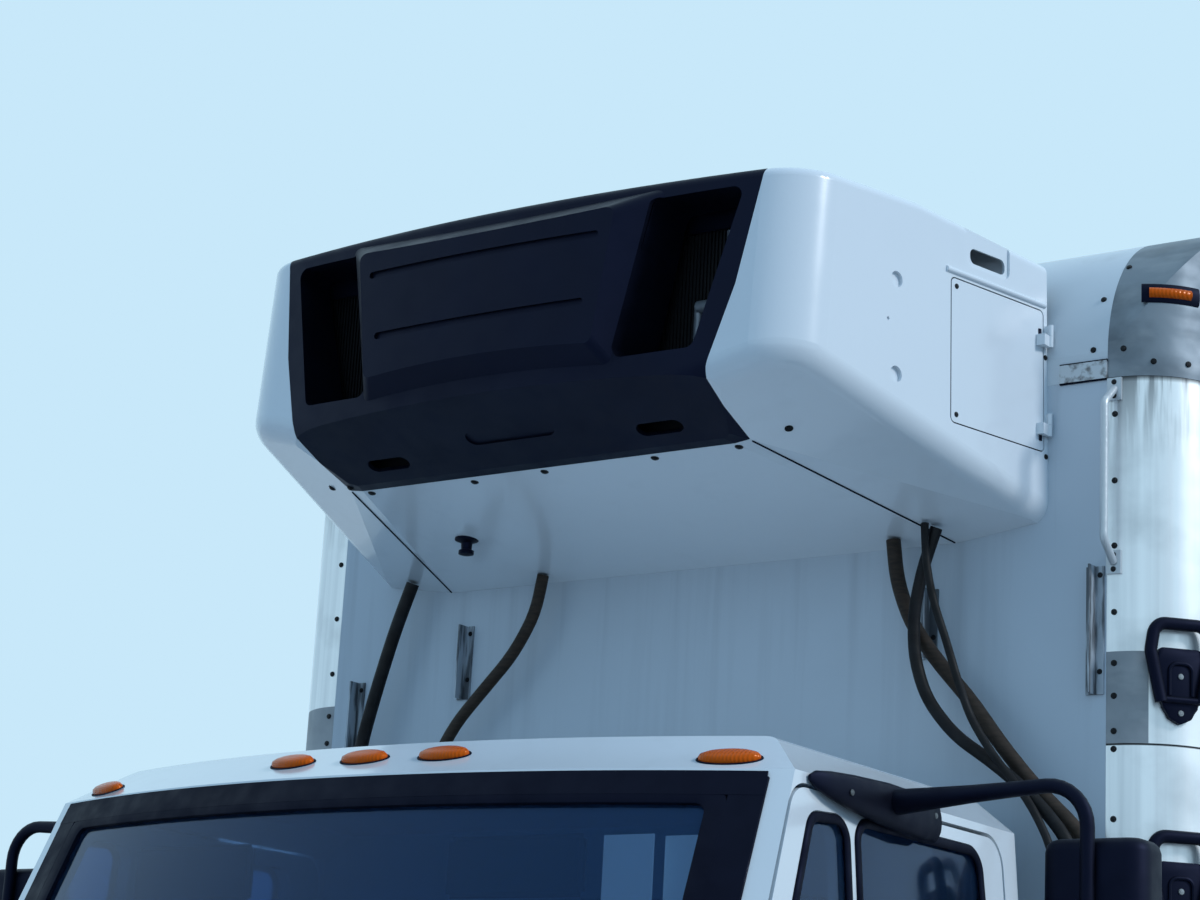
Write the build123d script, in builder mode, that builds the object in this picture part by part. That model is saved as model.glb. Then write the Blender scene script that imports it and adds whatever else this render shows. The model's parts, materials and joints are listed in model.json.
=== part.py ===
"""Refrigerated delivery truck: bonneted cab, ladder chassis, insulated box and nose-mounted cooling unit.

Millimetres, +Z up, the truck faces -Y and its left side is +X. The origin is on the ground, below the
middle of the truck's length. Heights are above the ground. Places along the truck that are written as
"from the wall" are measured from the outer face of the box's front wall, and are negative ahead of it.
"""
from build123d import *
import math
import os

os.makedirs("parts", exist_ok=True)

# Driving dimensions, whole truck
BUMPER_TO_WALL = 2870.0
BOX_LENGTH = 7000.0
ROD_RADIUS = 14.0
ROD_OUT = 34.0
REAR_REACH = ROD_OUT + ROD_RADIUS
BOX_WIDTH = 2590.0
BOX_TOP = 3810.0
BOX_BOTTOM = 1130.0
WALL_Y = BUMPER_TO_WALL - (BUMPER_TO_WALL + BOX_LENGTH + REAR_REACH) / 2
FRONT_Y = WALL_Y - BUMPER_TO_WALL
BOX_REAR_Y = WALL_Y + BOX_LENGTH
SEAT_GAP = 0.3
PANEL_GAP = 0.6

# Wheels and axles
AXLE_HEIGHT = 510.0
TYRE_RADIUS = AXLE_HEIGHT
TYRE_WIDTH = 275.0
RIM_RADIUS = 290.0
RIM_WIDTH = 220.0
RIM_WALL = 12.0
FRONT_AXLE_SETBACK = 930.0
WHEELBASE = 6250.0
FRONT_TRACK = 2010.0
REAR_TRACK = 1860.0
DUAL_SPACING = 340.0
KINGPIN_X = 880.0
HUB_RADIUS = 120.0
FRONT_AXLE_Y = FRONT_Y + FRONT_AXLE_SETBACK
REAR_AXLE_Y = FRONT_AXLE_Y + WHEELBASE

# Ladder frame
FRAME_TOP = 1000.0
RAIL_HEIGHT = 260.0
RAIL_FLANGE = 80.0
RAIL_WEB = 9.0
FRAME_WIDTH = 860.0
RAIL_FRONT_Y = FRONT_Y + 190.0
RAIL_REAR_Y = BOX_REAR_Y - 210.0
FRAME_BOTTOM = FRAME_TOP - RAIL_HEIGHT
RAIL_INSIDE_X = FRAME_WIDTH / 2 - RAIL_WEB


def block(low, high, mode=Mode.ADD):
    """Add a box between two corners to the part that is being built."""
    middle = tuple((a + b) / 2 for a, b in zip(low, high))
    with Locations(middle):
        Box(high[0] - low[0], high[1] - low[1], high[2] - low[2], mode=mode)


def save(part, node):
    """Label a finished piece and write it as one STEP file."""
    part.label = node
    export_step(part, f"parts/{node}.step")


def tube_along(points, radius_out, bend):
    """A round bar along straight runs joined by tangent arcs of one radius."""
    with BuildPart() as bar:
        with BuildLine() as path:
            FilletPolyline(*points, radius=bend)
        with BuildSketch(Plane(origin=path.line @ 0, z_dir=path.line % 0)):
            Circle(radius_out)
        sweep()
    return bar.part


def hose_along(points, radius_out):
    """A hose along hand-chosen points, its bends as large as the runs beside them allow."""
    route = [Vector(*p) for p in points]
    radii = []
    for before, here, after in zip(route, route[1:], route[2:]):
        turn = (here - before).get_angle(after - here)
        run = min((here - before).length, (after - here).length)
        radii.append(0.45 * run / math.tan(math.radians(turn) / 2))
    with BuildPart() as hose:
        with BuildLine() as path:
            FilletPolyline(*route, radius=radii)
        with BuildSketch(Plane(origin=path.line @ 0, z_dir=path.line % 0)):
            Circle(radius_out)
        sweep()
    return hose.part


# Frame rails: two channels that open inward
with BuildPart() as frame_rails:
    with BuildSketch(Plane.XZ.offset(-RAIL_FRONT_Y)):
        with Locations((FRAME_WIDTH / 2 - RAIL_FLANGE / 2, FRAME_TOP - RAIL_HEIGHT / 2)):
            Rectangle(RAIL_FLANGE, RAIL_HEIGHT)
        with Locations((FRAME_WIDTH / 2 - RAIL_FLANGE / 2 - RAIL_WEB, FRAME_TOP - RAIL_HEIGHT / 2)):
            Rectangle(RAIL_FLANGE, RAIL_HEIGHT - 2 * RAIL_WEB, mode=Mode.SUBTRACT)
    extrude(amount=RAIL_FRONT_Y - RAIL_REAR_Y)
    mirror(about=Plane.YZ)
save(frame_rails.part, "frame_rails")

# Cross members: channels between the rails, high enough for the propeller shaft to pass below
CROSS_DEPTH = 112.0
CROSS_WIDTH = 90.0
CROSS_SHEET = 8.0
CROSS_TOP = FRAME_TOP - RAIL_WEB - 3.0
CROSS_PLACES = [FRONT_AXLE_Y + WHEELBASE * share for share in (-0.10, 0.30, 0.46, 0.62, 0.78, 0.93, 1.08, 1.26)]
with BuildPart() as cross_members:
    for place in CROSS_PLACES:
        half_x = RAIL_INSIDE_X - SEAT_GAP
        block((-half_x, place - CROSS_WIDTH / 2, CROSS_TOP - CROSS_DEPTH), (half_x, place + CROSS_WIDTH / 2, CROSS_TOP))
        block((-half_x, place - CROSS_WIDTH / 2 + CROSS_SHEET, CROSS_TOP - CROSS_DEPTH + CROSS_SHEET),
              (half_x, place + CROSS_WIDTH / 2 + 1, CROSS_TOP - CROSS_SHEET), mode=Mode.SUBTRACT)
save(cross_members.part, "cross_members")

# Front bumper: a bent steel face with turned-in flanges, on two brackets that meet the rail ends
BUMPER_TOP = 730.0
BUMPER_HEIGHT = 300.0
BUMPER_HALF = 1190.0
BUMPER_SHEET = 6.0
BUMPER_FLANGE = 70.0
BUMPER_SWEEP = 160.0
BUMPER_CORNER = 230.0
HOOD_PIVOT_Y = FRONT_Y + 120.0
HOOD_PIVOT_Z = BUMPER_TOP + 60.0
HOOD_EYE_RADIUS = 16.0
HOOD_EYE_HALF = 30.0


def bumper_area(setback):
    """Plan area behind the bumper's face, its front edge set back by a distance."""
    corner_x = BUMPER_HALF - BUMPER_CORNER
    front = FRONT_Y + setback
    with BuildSketch() as area:
        with BuildLine():
            Polyline((-corner_x, front + 25), (-BUMPER_HALF, front + BUMPER_SWEEP), (-BUMPER_HALF, FRONT_Y + 240),
                     (BUMPER_HALF, FRONT_Y + 240), (BUMPER_HALF, front + BUMPER_SWEEP), (corner_x, front + 25))
            ThreePointArc((corner_x, front + 25), (0, front), (-corner_x, front + 25))
        make_face()
    return area.sketch


with BuildPart() as front_bumper:
    with BuildSketch(Plane.XY.offset(BUMPER_TOP - BUMPER_HEIGHT)):
        add(bumper_area(0))
    extrude(amount=BUMPER_HEIGHT)
    with BuildSketch(Plane.XY.offset(BUMPER_TOP - BUMPER_HEIGHT)):
        add(bumper_area(BUMPER_FLANGE))
    extrude(amount=BUMPER_HEIGHT, mode=Mode.SUBTRACT)
    with BuildSketch(Plane.XY.offset(BUMPER_TOP - BUMPER_HEIGHT + BUMPER_SHEET)):
        add(bumper_area(BUMPER_SHEET))
    extrude(amount=BUMPER_HEIGHT - 2 * BUMPER_SHEET, mode=Mode.SUBTRACT)
    for side in (-1, 1):
        rail_mid = side * (FRAME_WIDTH / 2 - RAIL_FLANGE / 2)
        bracket_low = BUMPER_TOP - BUMPER_HEIGHT + 60
        bracket_back = RAIL_FRONT_Y - SEAT_GAP
        block((rail_mid - 35, FRONT_Y + BUMPER_SHEET, bracket_low), (rail_mid + 35, bracket_back, BUMPER_TOP))
        block((rail_mid - 35, bracket_back - 20, BUMPER_TOP - 60), (rail_mid + 35, bracket_back, FRAME_TOP - 30))
        block((rail_mid - HOOD_EYE_HALF, HOOD_PIVOT_Y - HOOD_EYE_RADIUS, BUMPER_TOP - 10),
              (rail_mid + HOOD_EYE_HALF, HOOD_PIVOT_Y + HOOD_EYE_RADIUS, HOOD_PIVOT_Z))
        with Locations(Location((rail_mid, HOOD_PIVOT_Y, HOOD_PIVOT_Z), (0, 90, 0))):
            Cylinder(HOOD_EYE_RADIUS, 2 * HOOD_EYE_HALF)
save(front_bumper.part, "front_bumper")

# Leaf springs: four packs under the rails, with a hanger at each end
SPRING_WIDTH = 76.0
LEAF_THICKNESS = 14.0
SPRING_X = FRAME_WIDTH / 2 - RAIL_FLANGE / 2
# columns: axle place, half length of the main leaf, number of leaves, height of the pack's underside
SPRING_TABLE = [
    (FRONT_AXLE_Y, 660.0, 5, 610.0),
    (REAR_AXLE_Y, 720.0, 8, 606.0),
]
with BuildPart() as leaf_springs:
    for axle_y, half_length, leaves, underside in SPRING_TABLE:
        for leaf in range(leaves):
            reach = half_length * (0.30 + 0.70 * (leaf + 1) / leaves)
            z_low = underside + leaf * LEAF_THICKNESS
            block((SPRING_X - SPRING_WIDTH / 2, axle_y - reach, z_low),
                  (SPRING_X + SPRING_WIDTH / 2, axle_y + reach, z_low + LEAF_THICKNESS))
        pack_top = underside + leaves * LEAF_THICKNESS
        for end in (-1, 1):
            block((SPRING_X - SPRING_WIDTH / 2, axle_y + end * half_length - 45, pack_top - LEAF_THICKNESS),
                  (SPRING_X + SPRING_WIDTH / 2, axle_y + end * half_length + 45, FRAME_BOTTOM - SEAT_GAP))
        block((SPRING_X - SPRING_WIDTH / 2 - 12, axle_y - 80, underside),
              (SPRING_X + SPRING_WIDTH / 2 + 12, axle_y + 80, pack_top + 12))
    mirror(about=Plane.YZ)
save(leaf_springs.part, "leaf_springs")

# Front axle: a dropped I-beam with an eye for each kingpin
BEAM_HALF = 45.0
BEAM_DROP = 60.0
EYE_RADIUS = 46.0
EYE_HEIGHT = 100.0
KINGPIN_RADIUS = 20.0
with BuildPart() as front_axle:
    with BuildSketch(Plane.XZ.offset(-(FRONT_AXLE_Y - BEAM_HALF))):
        with BuildLine():
            spring_seat = SPRING_X + 90
            seat_z = SPRING_TABLE[0][3] - SEAT_GAP
            Polyline((-KINGPIN_X, AXLE_HEIGHT + 45), (-spring_seat - 60, AXLE_HEIGHT + 45), (-spring_seat, seat_z),
                     (-SPRING_X + 90, seat_z), (-SPRING_X + 160, seat_z - BEAM_DROP), (SPRING_X - 160, seat_z - BEAM_DROP),
                     (SPRING_X - 90, seat_z), (spring_seat, seat_z), (spring_seat + 60, AXLE_HEIGHT + 45),
                     (KINGPIN_X, AXLE_HEIGHT + 45), (KINGPIN_X, AXLE_HEIGHT - 45), (SPRING_X + 80, AXLE_HEIGHT - 40),
                     (SPRING_X - 100, AXLE_HEIGHT - 60), (-SPRING_X + 100, AXLE_HEIGHT - 60),
                     (-SPRING_X - 80, AXLE_HEIGHT - 40), (-KINGPIN_X, AXLE_HEIGHT - 45), (-KINGPIN_X, AXLE_HEIGHT + 45))
        make_face()
    extrude(amount=-2 * BEAM_HALF)
    for side in (-1, 1):
        with Locations((side * KINGPIN_X, FRONT_AXLE_Y, AXLE_HEIGHT)):
            Cylinder(EYE_RADIUS, EYE_HEIGHT)
            Cylinder(KINGPIN_RADIUS + 0.5, EYE_HEIGHT + 2, mode=Mode.SUBTRACT)
save(front_axle.part, "front_axle")

# Steering knuckles: a fork round the axle eye, its kingpin, the spindle, the brake plate and the steering arm
FORK_GAP = 4.0
FORK_PLATE = 26.0
SPINDLE_RADIUS = 34.0
SPINDLE_END = FRONT_TRACK / 2 + 118.0
BRAKE_PLATE_X = KINGPIN_X + 66.0
BRAKE_PLATE_RADIUS = 205.0
for side, node in ((1, "knuckle_left"), (-1, "knuckle_right")):
    with BuildPart() as knuckle:
        for up in (-1, 1):
            plate_mid = AXLE_HEIGHT + up * (EYE_HEIGHT / 2 + FORK_GAP + FORK_PLATE / 2)
            with Locations((side * KINGPIN_X, FRONT_AXLE_Y, plate_mid)):
                Cylinder(EYE_RADIUS, FORK_PLATE)
            x_pair = sorted((side * KINGPIN_X, side * (BRAKE_PLATE_X)))
            block((x_pair[0], FRONT_AXLE_Y - EYE_RADIUS, plate_mid - FORK_PLATE / 2),
                  (x_pair[1], FRONT_AXLE_Y + EYE_RADIUS, plate_mid + FORK_PLATE / 2))
        with Locations((side * KINGPIN_X, FRONT_AXLE_Y, AXLE_HEIGHT)):
            Cylinder(KINGPIN_RADIUS, EYE_HEIGHT + 2 * FORK_GAP + 2 * FORK_PLATE)
        with Locations(Location((side * BRAKE_PLATE_X, FRONT_AXLE_Y, AXLE_HEIGHT), (0, 90, 0))):
            Cylinder(BRAKE_PLATE_RADIUS, 12)
        spindle_mid = (BRAKE_PLATE_X + SPINDLE_END) / 2
        with Locations(Location((side * spindle_mid, FRONT_AXLE_Y, AXLE_HEIGHT), (0, 90, 0))):
            Cylinder(SPINDLE_RADIUS, SPINDLE_END - BRAKE_PLATE_X)
        arm_z = AXLE_HEIGHT - EYE_HEIGHT / 2 - FORK_GAP - FORK_PLATE / 2
        arm_x = sorted((side * (KINGPIN_X - 60), side * (KINGPIN_X - 10)))
        block((arm_x[0], FRONT_AXLE_Y, arm_z - 13), (arm_x[1], FRONT_AXLE_Y + 210, arm_z + 13))
    save(knuckle.part, node)

# Wheels: rim with disc and hub, and tyre, the rear ones in pairs
DISC_THICKNESS = 12.0
DRUM_RADIUS = 208.0
HAND_HOLES = 10
REAR_SPINDLE_RADIUS = 42.0
REAR_SPINDLE_REACH = 110.0
BORE_CLEAR = 0.5
TYRE_CLEAR = 0.3


def rim_profile(centre_x):
    """Half section of a wheel's barrel about the X axis, drawn in the plane of X and radius."""
    half = RIM_WIDTH / 2
    Polyline((centre_x - half, RIM_RADIUS - RIM_WALL), (centre_x - half, RIM_RADIUS + 22), (centre_x - half + 12, RIM_RADIUS + 22),
             (centre_x - half + 14, RIM_RADIUS), (centre_x + half - 14, RIM_RADIUS), (centre_x + half - 12, RIM_RADIUS + 22),
             (centre_x + half, RIM_RADIUS + 22), (centre_x + half, RIM_RADIUS - RIM_WALL),
             (centre_x - half, RIM_RADIUS - RIM_WALL))


TYRE_FLATS = 38
TYRE_LEAST_FLAT = RIM_RADIUS + TYRE_CLEAR
# columns: place across from the tyre's middle, radius; the outside from one side to the other
TYRE_OUTSIDE = [
    (-TYRE_WIDTH / 2, RIM_RADIUS + 108), (-TYRE_WIDTH / 2 + 10, TYRE_RADIUS - 45), (-TYRE_WIDTH / 2 + 32, TYRE_RADIUS - 8), (0, TYRE_RADIUS),
    (TYRE_WIDTH / 2 - 32, TYRE_RADIUS - 8), (TYRE_WIDTH / 2 - 10, TYRE_RADIUS - 45), (TYRE_WIDTH / 2, RIM_RADIUS + 108),
]
# columns: place across from the tyre's middle, radius; the dish between a sidewall and the rim's flange
TYRE_DISH = [(RIM_WIDTH / 2 - 15, RIM_RADIUS + 24), (TYRE_WIDTH / 2 - 8, RIM_RADIUS + 66), (TYRE_WIDTH / 2, RIM_RADIUS + 92)]


def flats(x, radius):
    """A ring of flats of one radius about the X axis, one of them lowest, as a sketch in the plane at x."""
    with BuildSketch(Plane.YZ.offset(x)) as ring:
        RegularPolygon(radius, TYRE_FLATS, major_radius=False, rotation=90 - 180 / TYRE_FLATS)
    return ring.sketch


def tyre_form():
    """One tyre about the X axis, centred on the origin: a faceted loft with a bore and two dished sidewalls."""
    with BuildPart() as tyre:
        for x, radius in TYRE_OUTSIDE:
            add(flats(x, radius))
        loft(ruled=True)
        extrude(flats(-TYRE_WIDTH, TYRE_LEAST_FLAT), amount=2 * TYRE_WIDTH, mode=Mode.SUBTRACT)
        for side in (-1, 1):
            for x, radius in TYRE_DISH:
                add(flats(side * x, radius))
            loft(ruled=True, mode=Mode.SUBTRACT)
    return tyre.part


TYRE = tyre_form()


for side, end in ((1, "left"), (-1, "right")):
    wheel_x = side * FRONT_TRACK / 2
    front_plane = Plane(origin=(0, FRONT_AXLE_Y, AXLE_HEIGHT), x_dir=(1, 0, 0), z_dir=(0, -1, 0))
    spin_axis = Axis((0, FRONT_AXLE_Y, AXLE_HEIGHT), (1, 0, 0))
    disc_x = FRONT_TRACK / 2 + 95.0
    with BuildPart() as front_rim:
        with BuildSketch(front_plane):
            with BuildLine():
                rim_profile(wheel_x)
            make_face()
            with BuildLine():
                Polyline((side * disc_x, 0), (side * disc_x, 175), (side * (FRONT_TRACK / 2 + 55), 255),
                         (side * (FRONT_TRACK / 2 + 55), RIM_RADIUS - RIM_WALL + 2),
                         (side * (FRONT_TRACK / 2 + 55 + DISC_THICKNESS), RIM_RADIUS - RIM_WALL + 2),
                         (side * (FRONT_TRACK / 2 + 55 + DISC_THICKNESS), 258), (side * (disc_x + DISC_THICKNESS), 182),
                         (side * (disc_x + DISC_THICKNESS), 0), (side * disc_x, 0))
            make_face()
        revolve(axis=spin_axis)
        with Locations(Location((side * (disc_x + 8), FRONT_AXLE_Y, AXLE_HEIGHT), (0, 90, 0))):
            Cylinder(HUB_RADIUS, 110)
        with Locations(Location((side * (disc_x + 78), FRONT_AXLE_Y, AXLE_HEIGHT), (0, 90, 0))):
            Cylinder(72, 60)
        bore_mid = (BRAKE_PLATE_X + SPINDLE_END + 2) / 2
        with Locations(Location((side * bore_mid, FRONT_AXLE_Y, AXLE_HEIGHT), (0, 90, 0))):
            Cylinder(SPINDLE_RADIUS + 0.5, SPINDLE_END + 2 - BRAKE_PLATE_X, mode=Mode.SUBTRACT)
        with Locations(Location((side * (disc_x - 10), FRONT_AXLE_Y, AXLE_HEIGHT), (0, 90, 0))):
            with PolarLocations(218, HAND_HOLES):
                Cylinder(27, 160, mode=Mode.SUBTRACT)
    save(front_rim.part, f"front_rim_{end}")

    with BuildPart() as front_tyre:
        add(Location((wheel_x, FRONT_AXLE_Y, AXLE_HEIGHT)) * TYRE)
    save(front_tyre.part, f"front_tyre_{end}")

    rear_plane = Plane(origin=(0, REAR_AXLE_Y, AXLE_HEIGHT), x_dir=(1, 0, 0), z_dir=(0, -1, 0))
    rear_axis = Axis((0, REAR_AXLE_Y, AXLE_HEIGHT), (1, 0, 0))
    pair_x = side * REAR_TRACK / 2
    with BuildPart() as rear_rims:
        with BuildSketch(rear_plane):
            for offset_x in (-DUAL_SPACING / 2, DUAL_SPACING / 2):
                with BuildLine():
                    rim_profile(pair_x + offset_x)
                make_face()
            with BuildLine():
                inner_join = DUAL_SPACING / 2 - 75
                Polyline((pair_x - DISC_THICKNESS, 0), (pair_x - DISC_THICKNESS, 180), (pair_x - inner_join, 262),
                         (pair_x - inner_join, RIM_RADIUS - RIM_WALL + 2), (pair_x - inner_join + DISC_THICKNESS, RIM_RADIUS - RIM_WALL + 2),
                         (pair_x - inner_join + DISC_THICKNESS, 264), (pair_x, 188), (pair_x + inner_join - DISC_THICKNESS, 264),
                         (pair_x + inner_join - DISC_THICKNESS, RIM_RADIUS - RIM_WALL + 2), (pair_x + inner_join, RIM_RADIUS - RIM_WALL + 2),
                         (pair_x + inner_join, 262), (pair_x + DISC_THICKNESS, 180), (pair_x + DISC_THICKNESS, 0),
                         (pair_x - DISC_THICKNESS, 0))
            make_face()
        revolve(axis=rear_axis)
        with Locations(Location((pair_x + side * 62, REAR_AXLE_Y, AXLE_HEIGHT), (0, 90, 0))):
            Cylinder(HUB_RADIUS, 130)
        with Locations(Location((pair_x + side * 142, REAR_AXLE_Y, AXLE_HEIGHT), (0, 90, 0))):
            Cylinder(88, 50)
        with Locations(Location((pair_x, REAR_AXLE_Y, AXLE_HEIGHT), (0, 90, 0))):
            with PolarLocations(222, HAND_HOLES):
                Cylinder(27, 300, mode=Mode.SUBTRACT)
        bore_end = REAR_SPINDLE_REACH + BORE_CLEAR
        with Locations(Location((pair_x + side * (bore_end - 200) / 2, REAR_AXLE_Y, AXLE_HEIGHT), (0, 90, 0))):
            Cylinder(REAR_SPINDLE_RADIUS + BORE_CLEAR, bore_end + 200, mode=Mode.SUBTRACT)
    save(rear_rims.part, f"rear_rims_{end}")

    with BuildPart() as rear_tyres:
        for offset_x in (-DUAL_SPACING / 2, DUAL_SPACING / 2):
            add(Location((pair_x + offset_x, REAR_AXLE_Y, AXLE_HEIGHT)) * TYRE)
    save(rear_tyres.part, f"rear_tyres_{end}")

# Rear axle: banjo housing with spring pads and brake drums that end just inside the wheels
REAR_HUB_FACE = REAR_TRACK / 2 - DISC_THICKNESS - 5.0
with BuildPart() as rear_axle:
    with Locations(Location((0, REAR_AXLE_Y, AXLE_HEIGHT), (0, 90, 0))):
        Cylinder(62, 2 * REAR_HUB_FACE)
        Cylinder(REAR_SPINDLE_RADIUS, REAR_TRACK + 2 * REAR_SPINDLE_REACH)
    with Locations((0, REAR_AXLE_Y, AXLE_HEIGHT)):
        Sphere(190)
    with Locations(Location((0, REAR_AXLE_Y - 190, AXLE_HEIGHT + 20), (90, 0, 0))):
        Cylinder(95, 200)
    for side in (-1, 1):
        seat_top = SPRING_TABLE[1][3] - SEAT_GAP
        block((side * SPRING_X - 48, REAR_AXLE_Y - 75, AXLE_HEIGHT), (side * SPRING_X + 48, REAR_AXLE_Y + 75, seat_top))
        with Locations(Location((side * (REAR_HUB_FACE - 118), REAR_AXLE_Y, AXLE_HEIGHT), (0, 90, 0))):
            Cylinder(DRUM_RADIUS, 150)
save(rear_axle.part, "rear_axle")

# Engine and gearbox, as one plain block at its real place, with a mount to each rail
ENGINE_FRONT_Y = FRONT_Y + 500.0
ENGINE_REAR_Y = WALL_Y - 1480.0
GEARBOX_REAR_Y = WALL_Y - 620.0
with BuildPart() as engine:
    block((-330, ENGINE_FRONT_Y, 780), (330, ENGINE_REAR_Y, 1420))
    block((-230, ENGINE_REAR_Y, 720), (230, GEARBOX_REAR_Y, 970))
    for side in (-1, 1):
        x_pair = sorted((side * 300, side * (RAIL_INSIDE_X - SEAT_GAP)))
        block((x_pair[0], ENGINE_FRONT_Y + 420, 860), (x_pair[1], ENGINE_FRONT_Y + 560, 940))
save(engine.part, "engine")

# Propeller shaft from the gearbox to the rear axle
SHAFT_RADIUS = 48.0
shaft_start = Vector(0, GEARBOX_REAR_Y + SEAT_GAP, 815)
shaft_end = Vector(0, REAR_AXLE_Y - 290 - SEAT_GAP, AXLE_HEIGHT + 20)
with BuildPart() as drive_shaft:
    with BuildSketch(Plane.XZ.offset(-shaft_start.Y)):
        with Locations((0, shaft_start.Z)):
            Circle(SHAFT_RADIUS)
    with BuildSketch(Plane.XZ.offset(-shaft_end.Y)):
        with Locations((0, shaft_end.Z)):
            Circle(SHAFT_RADIUS)
    loft()
save(drive_shaft.part, "drive_shaft")

# Radiator behind the grille, standing on the frame rails
RADIATOR_FRONT_Y = FRONT_Y + 330.0
with BuildPart() as radiator:
    block((-380, RADIATOR_FRONT_Y, FRAME_TOP + SEAT_GAP), (380, RADIATOR_FRONT_Y + 70, 1390))
save(radiator.part, "radiator")

# Fuel tank on the left rail, with two straps and a pair of step treads
TANK_RADIUS = 290.0
TANK_FRONT_Y = WALL_Y + 100.0
TANK_LENGTH = 1150.0
TANK_X = FRAME_WIDTH / 2 + 30.0 + TANK_RADIUS
TANK_Z = 700.0
with BuildPart() as fuel_tank:
    with BuildSketch(Plane.XZ.offset(-TANK_FRONT_Y)):
        with Locations((TANK_X, TANK_Z)):
            Circle(TANK_RADIUS)
    extrude(amount=-TANK_LENGTH)
    fillet(fuel_tank.edges().filter_by(GeomType.CIRCLE), 35)
    for strap_y in (TANK_FRONT_Y + 230, TANK_FRONT_Y + TANK_LENGTH - 230):
        block((FRAME_WIDTH / 2 + SEAT_GAP, strap_y - 35, FRAME_BOTTOM - 110), (TANK_X - 60, strap_y + 35, TANK_Z + 120))
    with Locations((TANK_X - 60, TANK_FRONT_Y + 300, TANK_Z + TANK_RADIUS)):
        Cylinder(48, 70)
save(fuel_tank.part, "fuel_tank")

# Battery box on the right rail
with BuildPart() as battery_box:
    block((-FRAME_WIDTH / 2 - 470, TANK_FRONT_Y, 560), (-FRAME_WIDTH / 2 - SEAT_GAP, TANK_FRONT_Y + 720, 930))
    fillet(battery_box.edges().filter_by(Axis.Y), 25)
save(battery_box.part, "battery_box")

# Cab access steps below the doors, hung from the rails
STEP_FRONT_Y = WALL_Y - 1180.0
STEP_LENGTH = 560.0
with BuildPart() as cab_steps:
    for step_z, step_x in ((480.0, 1080.0), (790.0, 1010.0)):
        block((step_x - 230, STEP_FRONT_Y, step_z), (step_x, STEP_FRONT_Y + STEP_LENGTH, step_z + 45))
    for hanger_y in (STEP_FRONT_Y + 60, STEP_FRONT_Y + STEP_LENGTH - 100):
        block((FRAME_WIDTH / 2 + SEAT_GAP, hanger_y, 800), (860, hanger_y + 40, 835))
        block((820, hanger_y, 480), (860, hanger_y + 40, 835))
    mirror(about=Plane.YZ)
save(cab_steps.part, "cab_steps")

# Exhaust: silencer along the right rail and a tail pipe
EXHAUST_X = -FRAME_WIDTH / 2 - 190.0
EXHAUST_FRONT_Y = TANK_FRONT_Y + 800.0
with BuildPart() as exhaust:
    with BuildSketch(Plane.XZ.offset(-EXHAUST_FRONT_Y)):
        with Locations((EXHAUST_X, 780)):
            Circle(130)
    extrude(amount=-1050)
    with BuildSketch(Plane.XZ.offset(-(EXHAUST_FRONT_Y + 1050))):
        with Locations((EXHAUST_X, 780)):
            Circle(52)
    extrude(amount=-330)
    for strap_y in (EXHAUST_FRONT_Y + 200, EXHAUST_FRONT_Y + 820):
        block((EXHAUST_X, strap_y, 850), (-FRAME_WIDTH / 2 - SEAT_GAP, strap_y + 40, 930))
save(exhaust.part, "exhaust")

# Cab: a front-view outline along the truck, cut by a bowed screen, a bowed forehead and the firewall
CAB_BACK_Y = WALL_Y - 150.0
CAB_FLOOR_Z = FRAME_TOP + SEAT_GAP
BELT_Z = 1740.0
ROOF_EDGE_Z = 2362.0
CAB_TOP = 2446.0
CAB_WALL = 50.0
CAB_HALF = 1010.0
CAB_ROOF_HALF = 850.0
CAB_TUMBLE = 50.0
SILL_TUMBLE = 10.0
SCREEN_BASE_Y = WALL_Y - 1505.0
SCREEN_TOP_Y = WALL_Y - 1228.0
FOREHEAD_TOP_Y = WALL_Y - 1085.0
FIREWALL_Y = WALL_Y - 1440.0
COWL_Z = 1715.0
SCREEN_BOW = 160.0
SCREEN_HALF = 918.0


def bowed_front(low_y, low_z, high_y, high_z, inset):
    """Everything behind a bowed sheet that leans back from one height to another."""
    rise = Vector(0, high_y - low_y, high_z - low_z).normalized()
    lean = Plane(origin=(0, low_y, low_z), x_dir=(1, 0, 0), z_dir=rise)
    bow = SCREEN_BOW * rise.Z
    arc_radius = (SCREEN_HALF ** 2 + bow ** 2) / (2 * bow)
    reach = 1200.0
    sag = arc_radius - math.sqrt(arc_radius ** 2 - reach ** 2)
    with BuildPart() as region:
        with BuildSketch(lean):
            with BuildLine():
                ThreePointArc((-reach, sag + inset), (0, inset), (reach, sag + inset))
                Polyline((reach, sag + inset), (reach, 3000), (-reach, 3000), (-reach, sag + inset))
            make_face()
        extrude(amount=1600, both=True)
    return region.part


def cab_side_x(z):
    """Half width of the cab at a height."""
    if z < BELT_Z:
        return CAB_HALF - SILL_TUMBLE * (BELT_Z - z) / (BELT_Z - CAB_FLOOR_Z)
    return CAB_HALF - CAB_TUMBLE * (z - BELT_Z) / (ROOF_EDGE_Z - BELT_Z)


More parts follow.
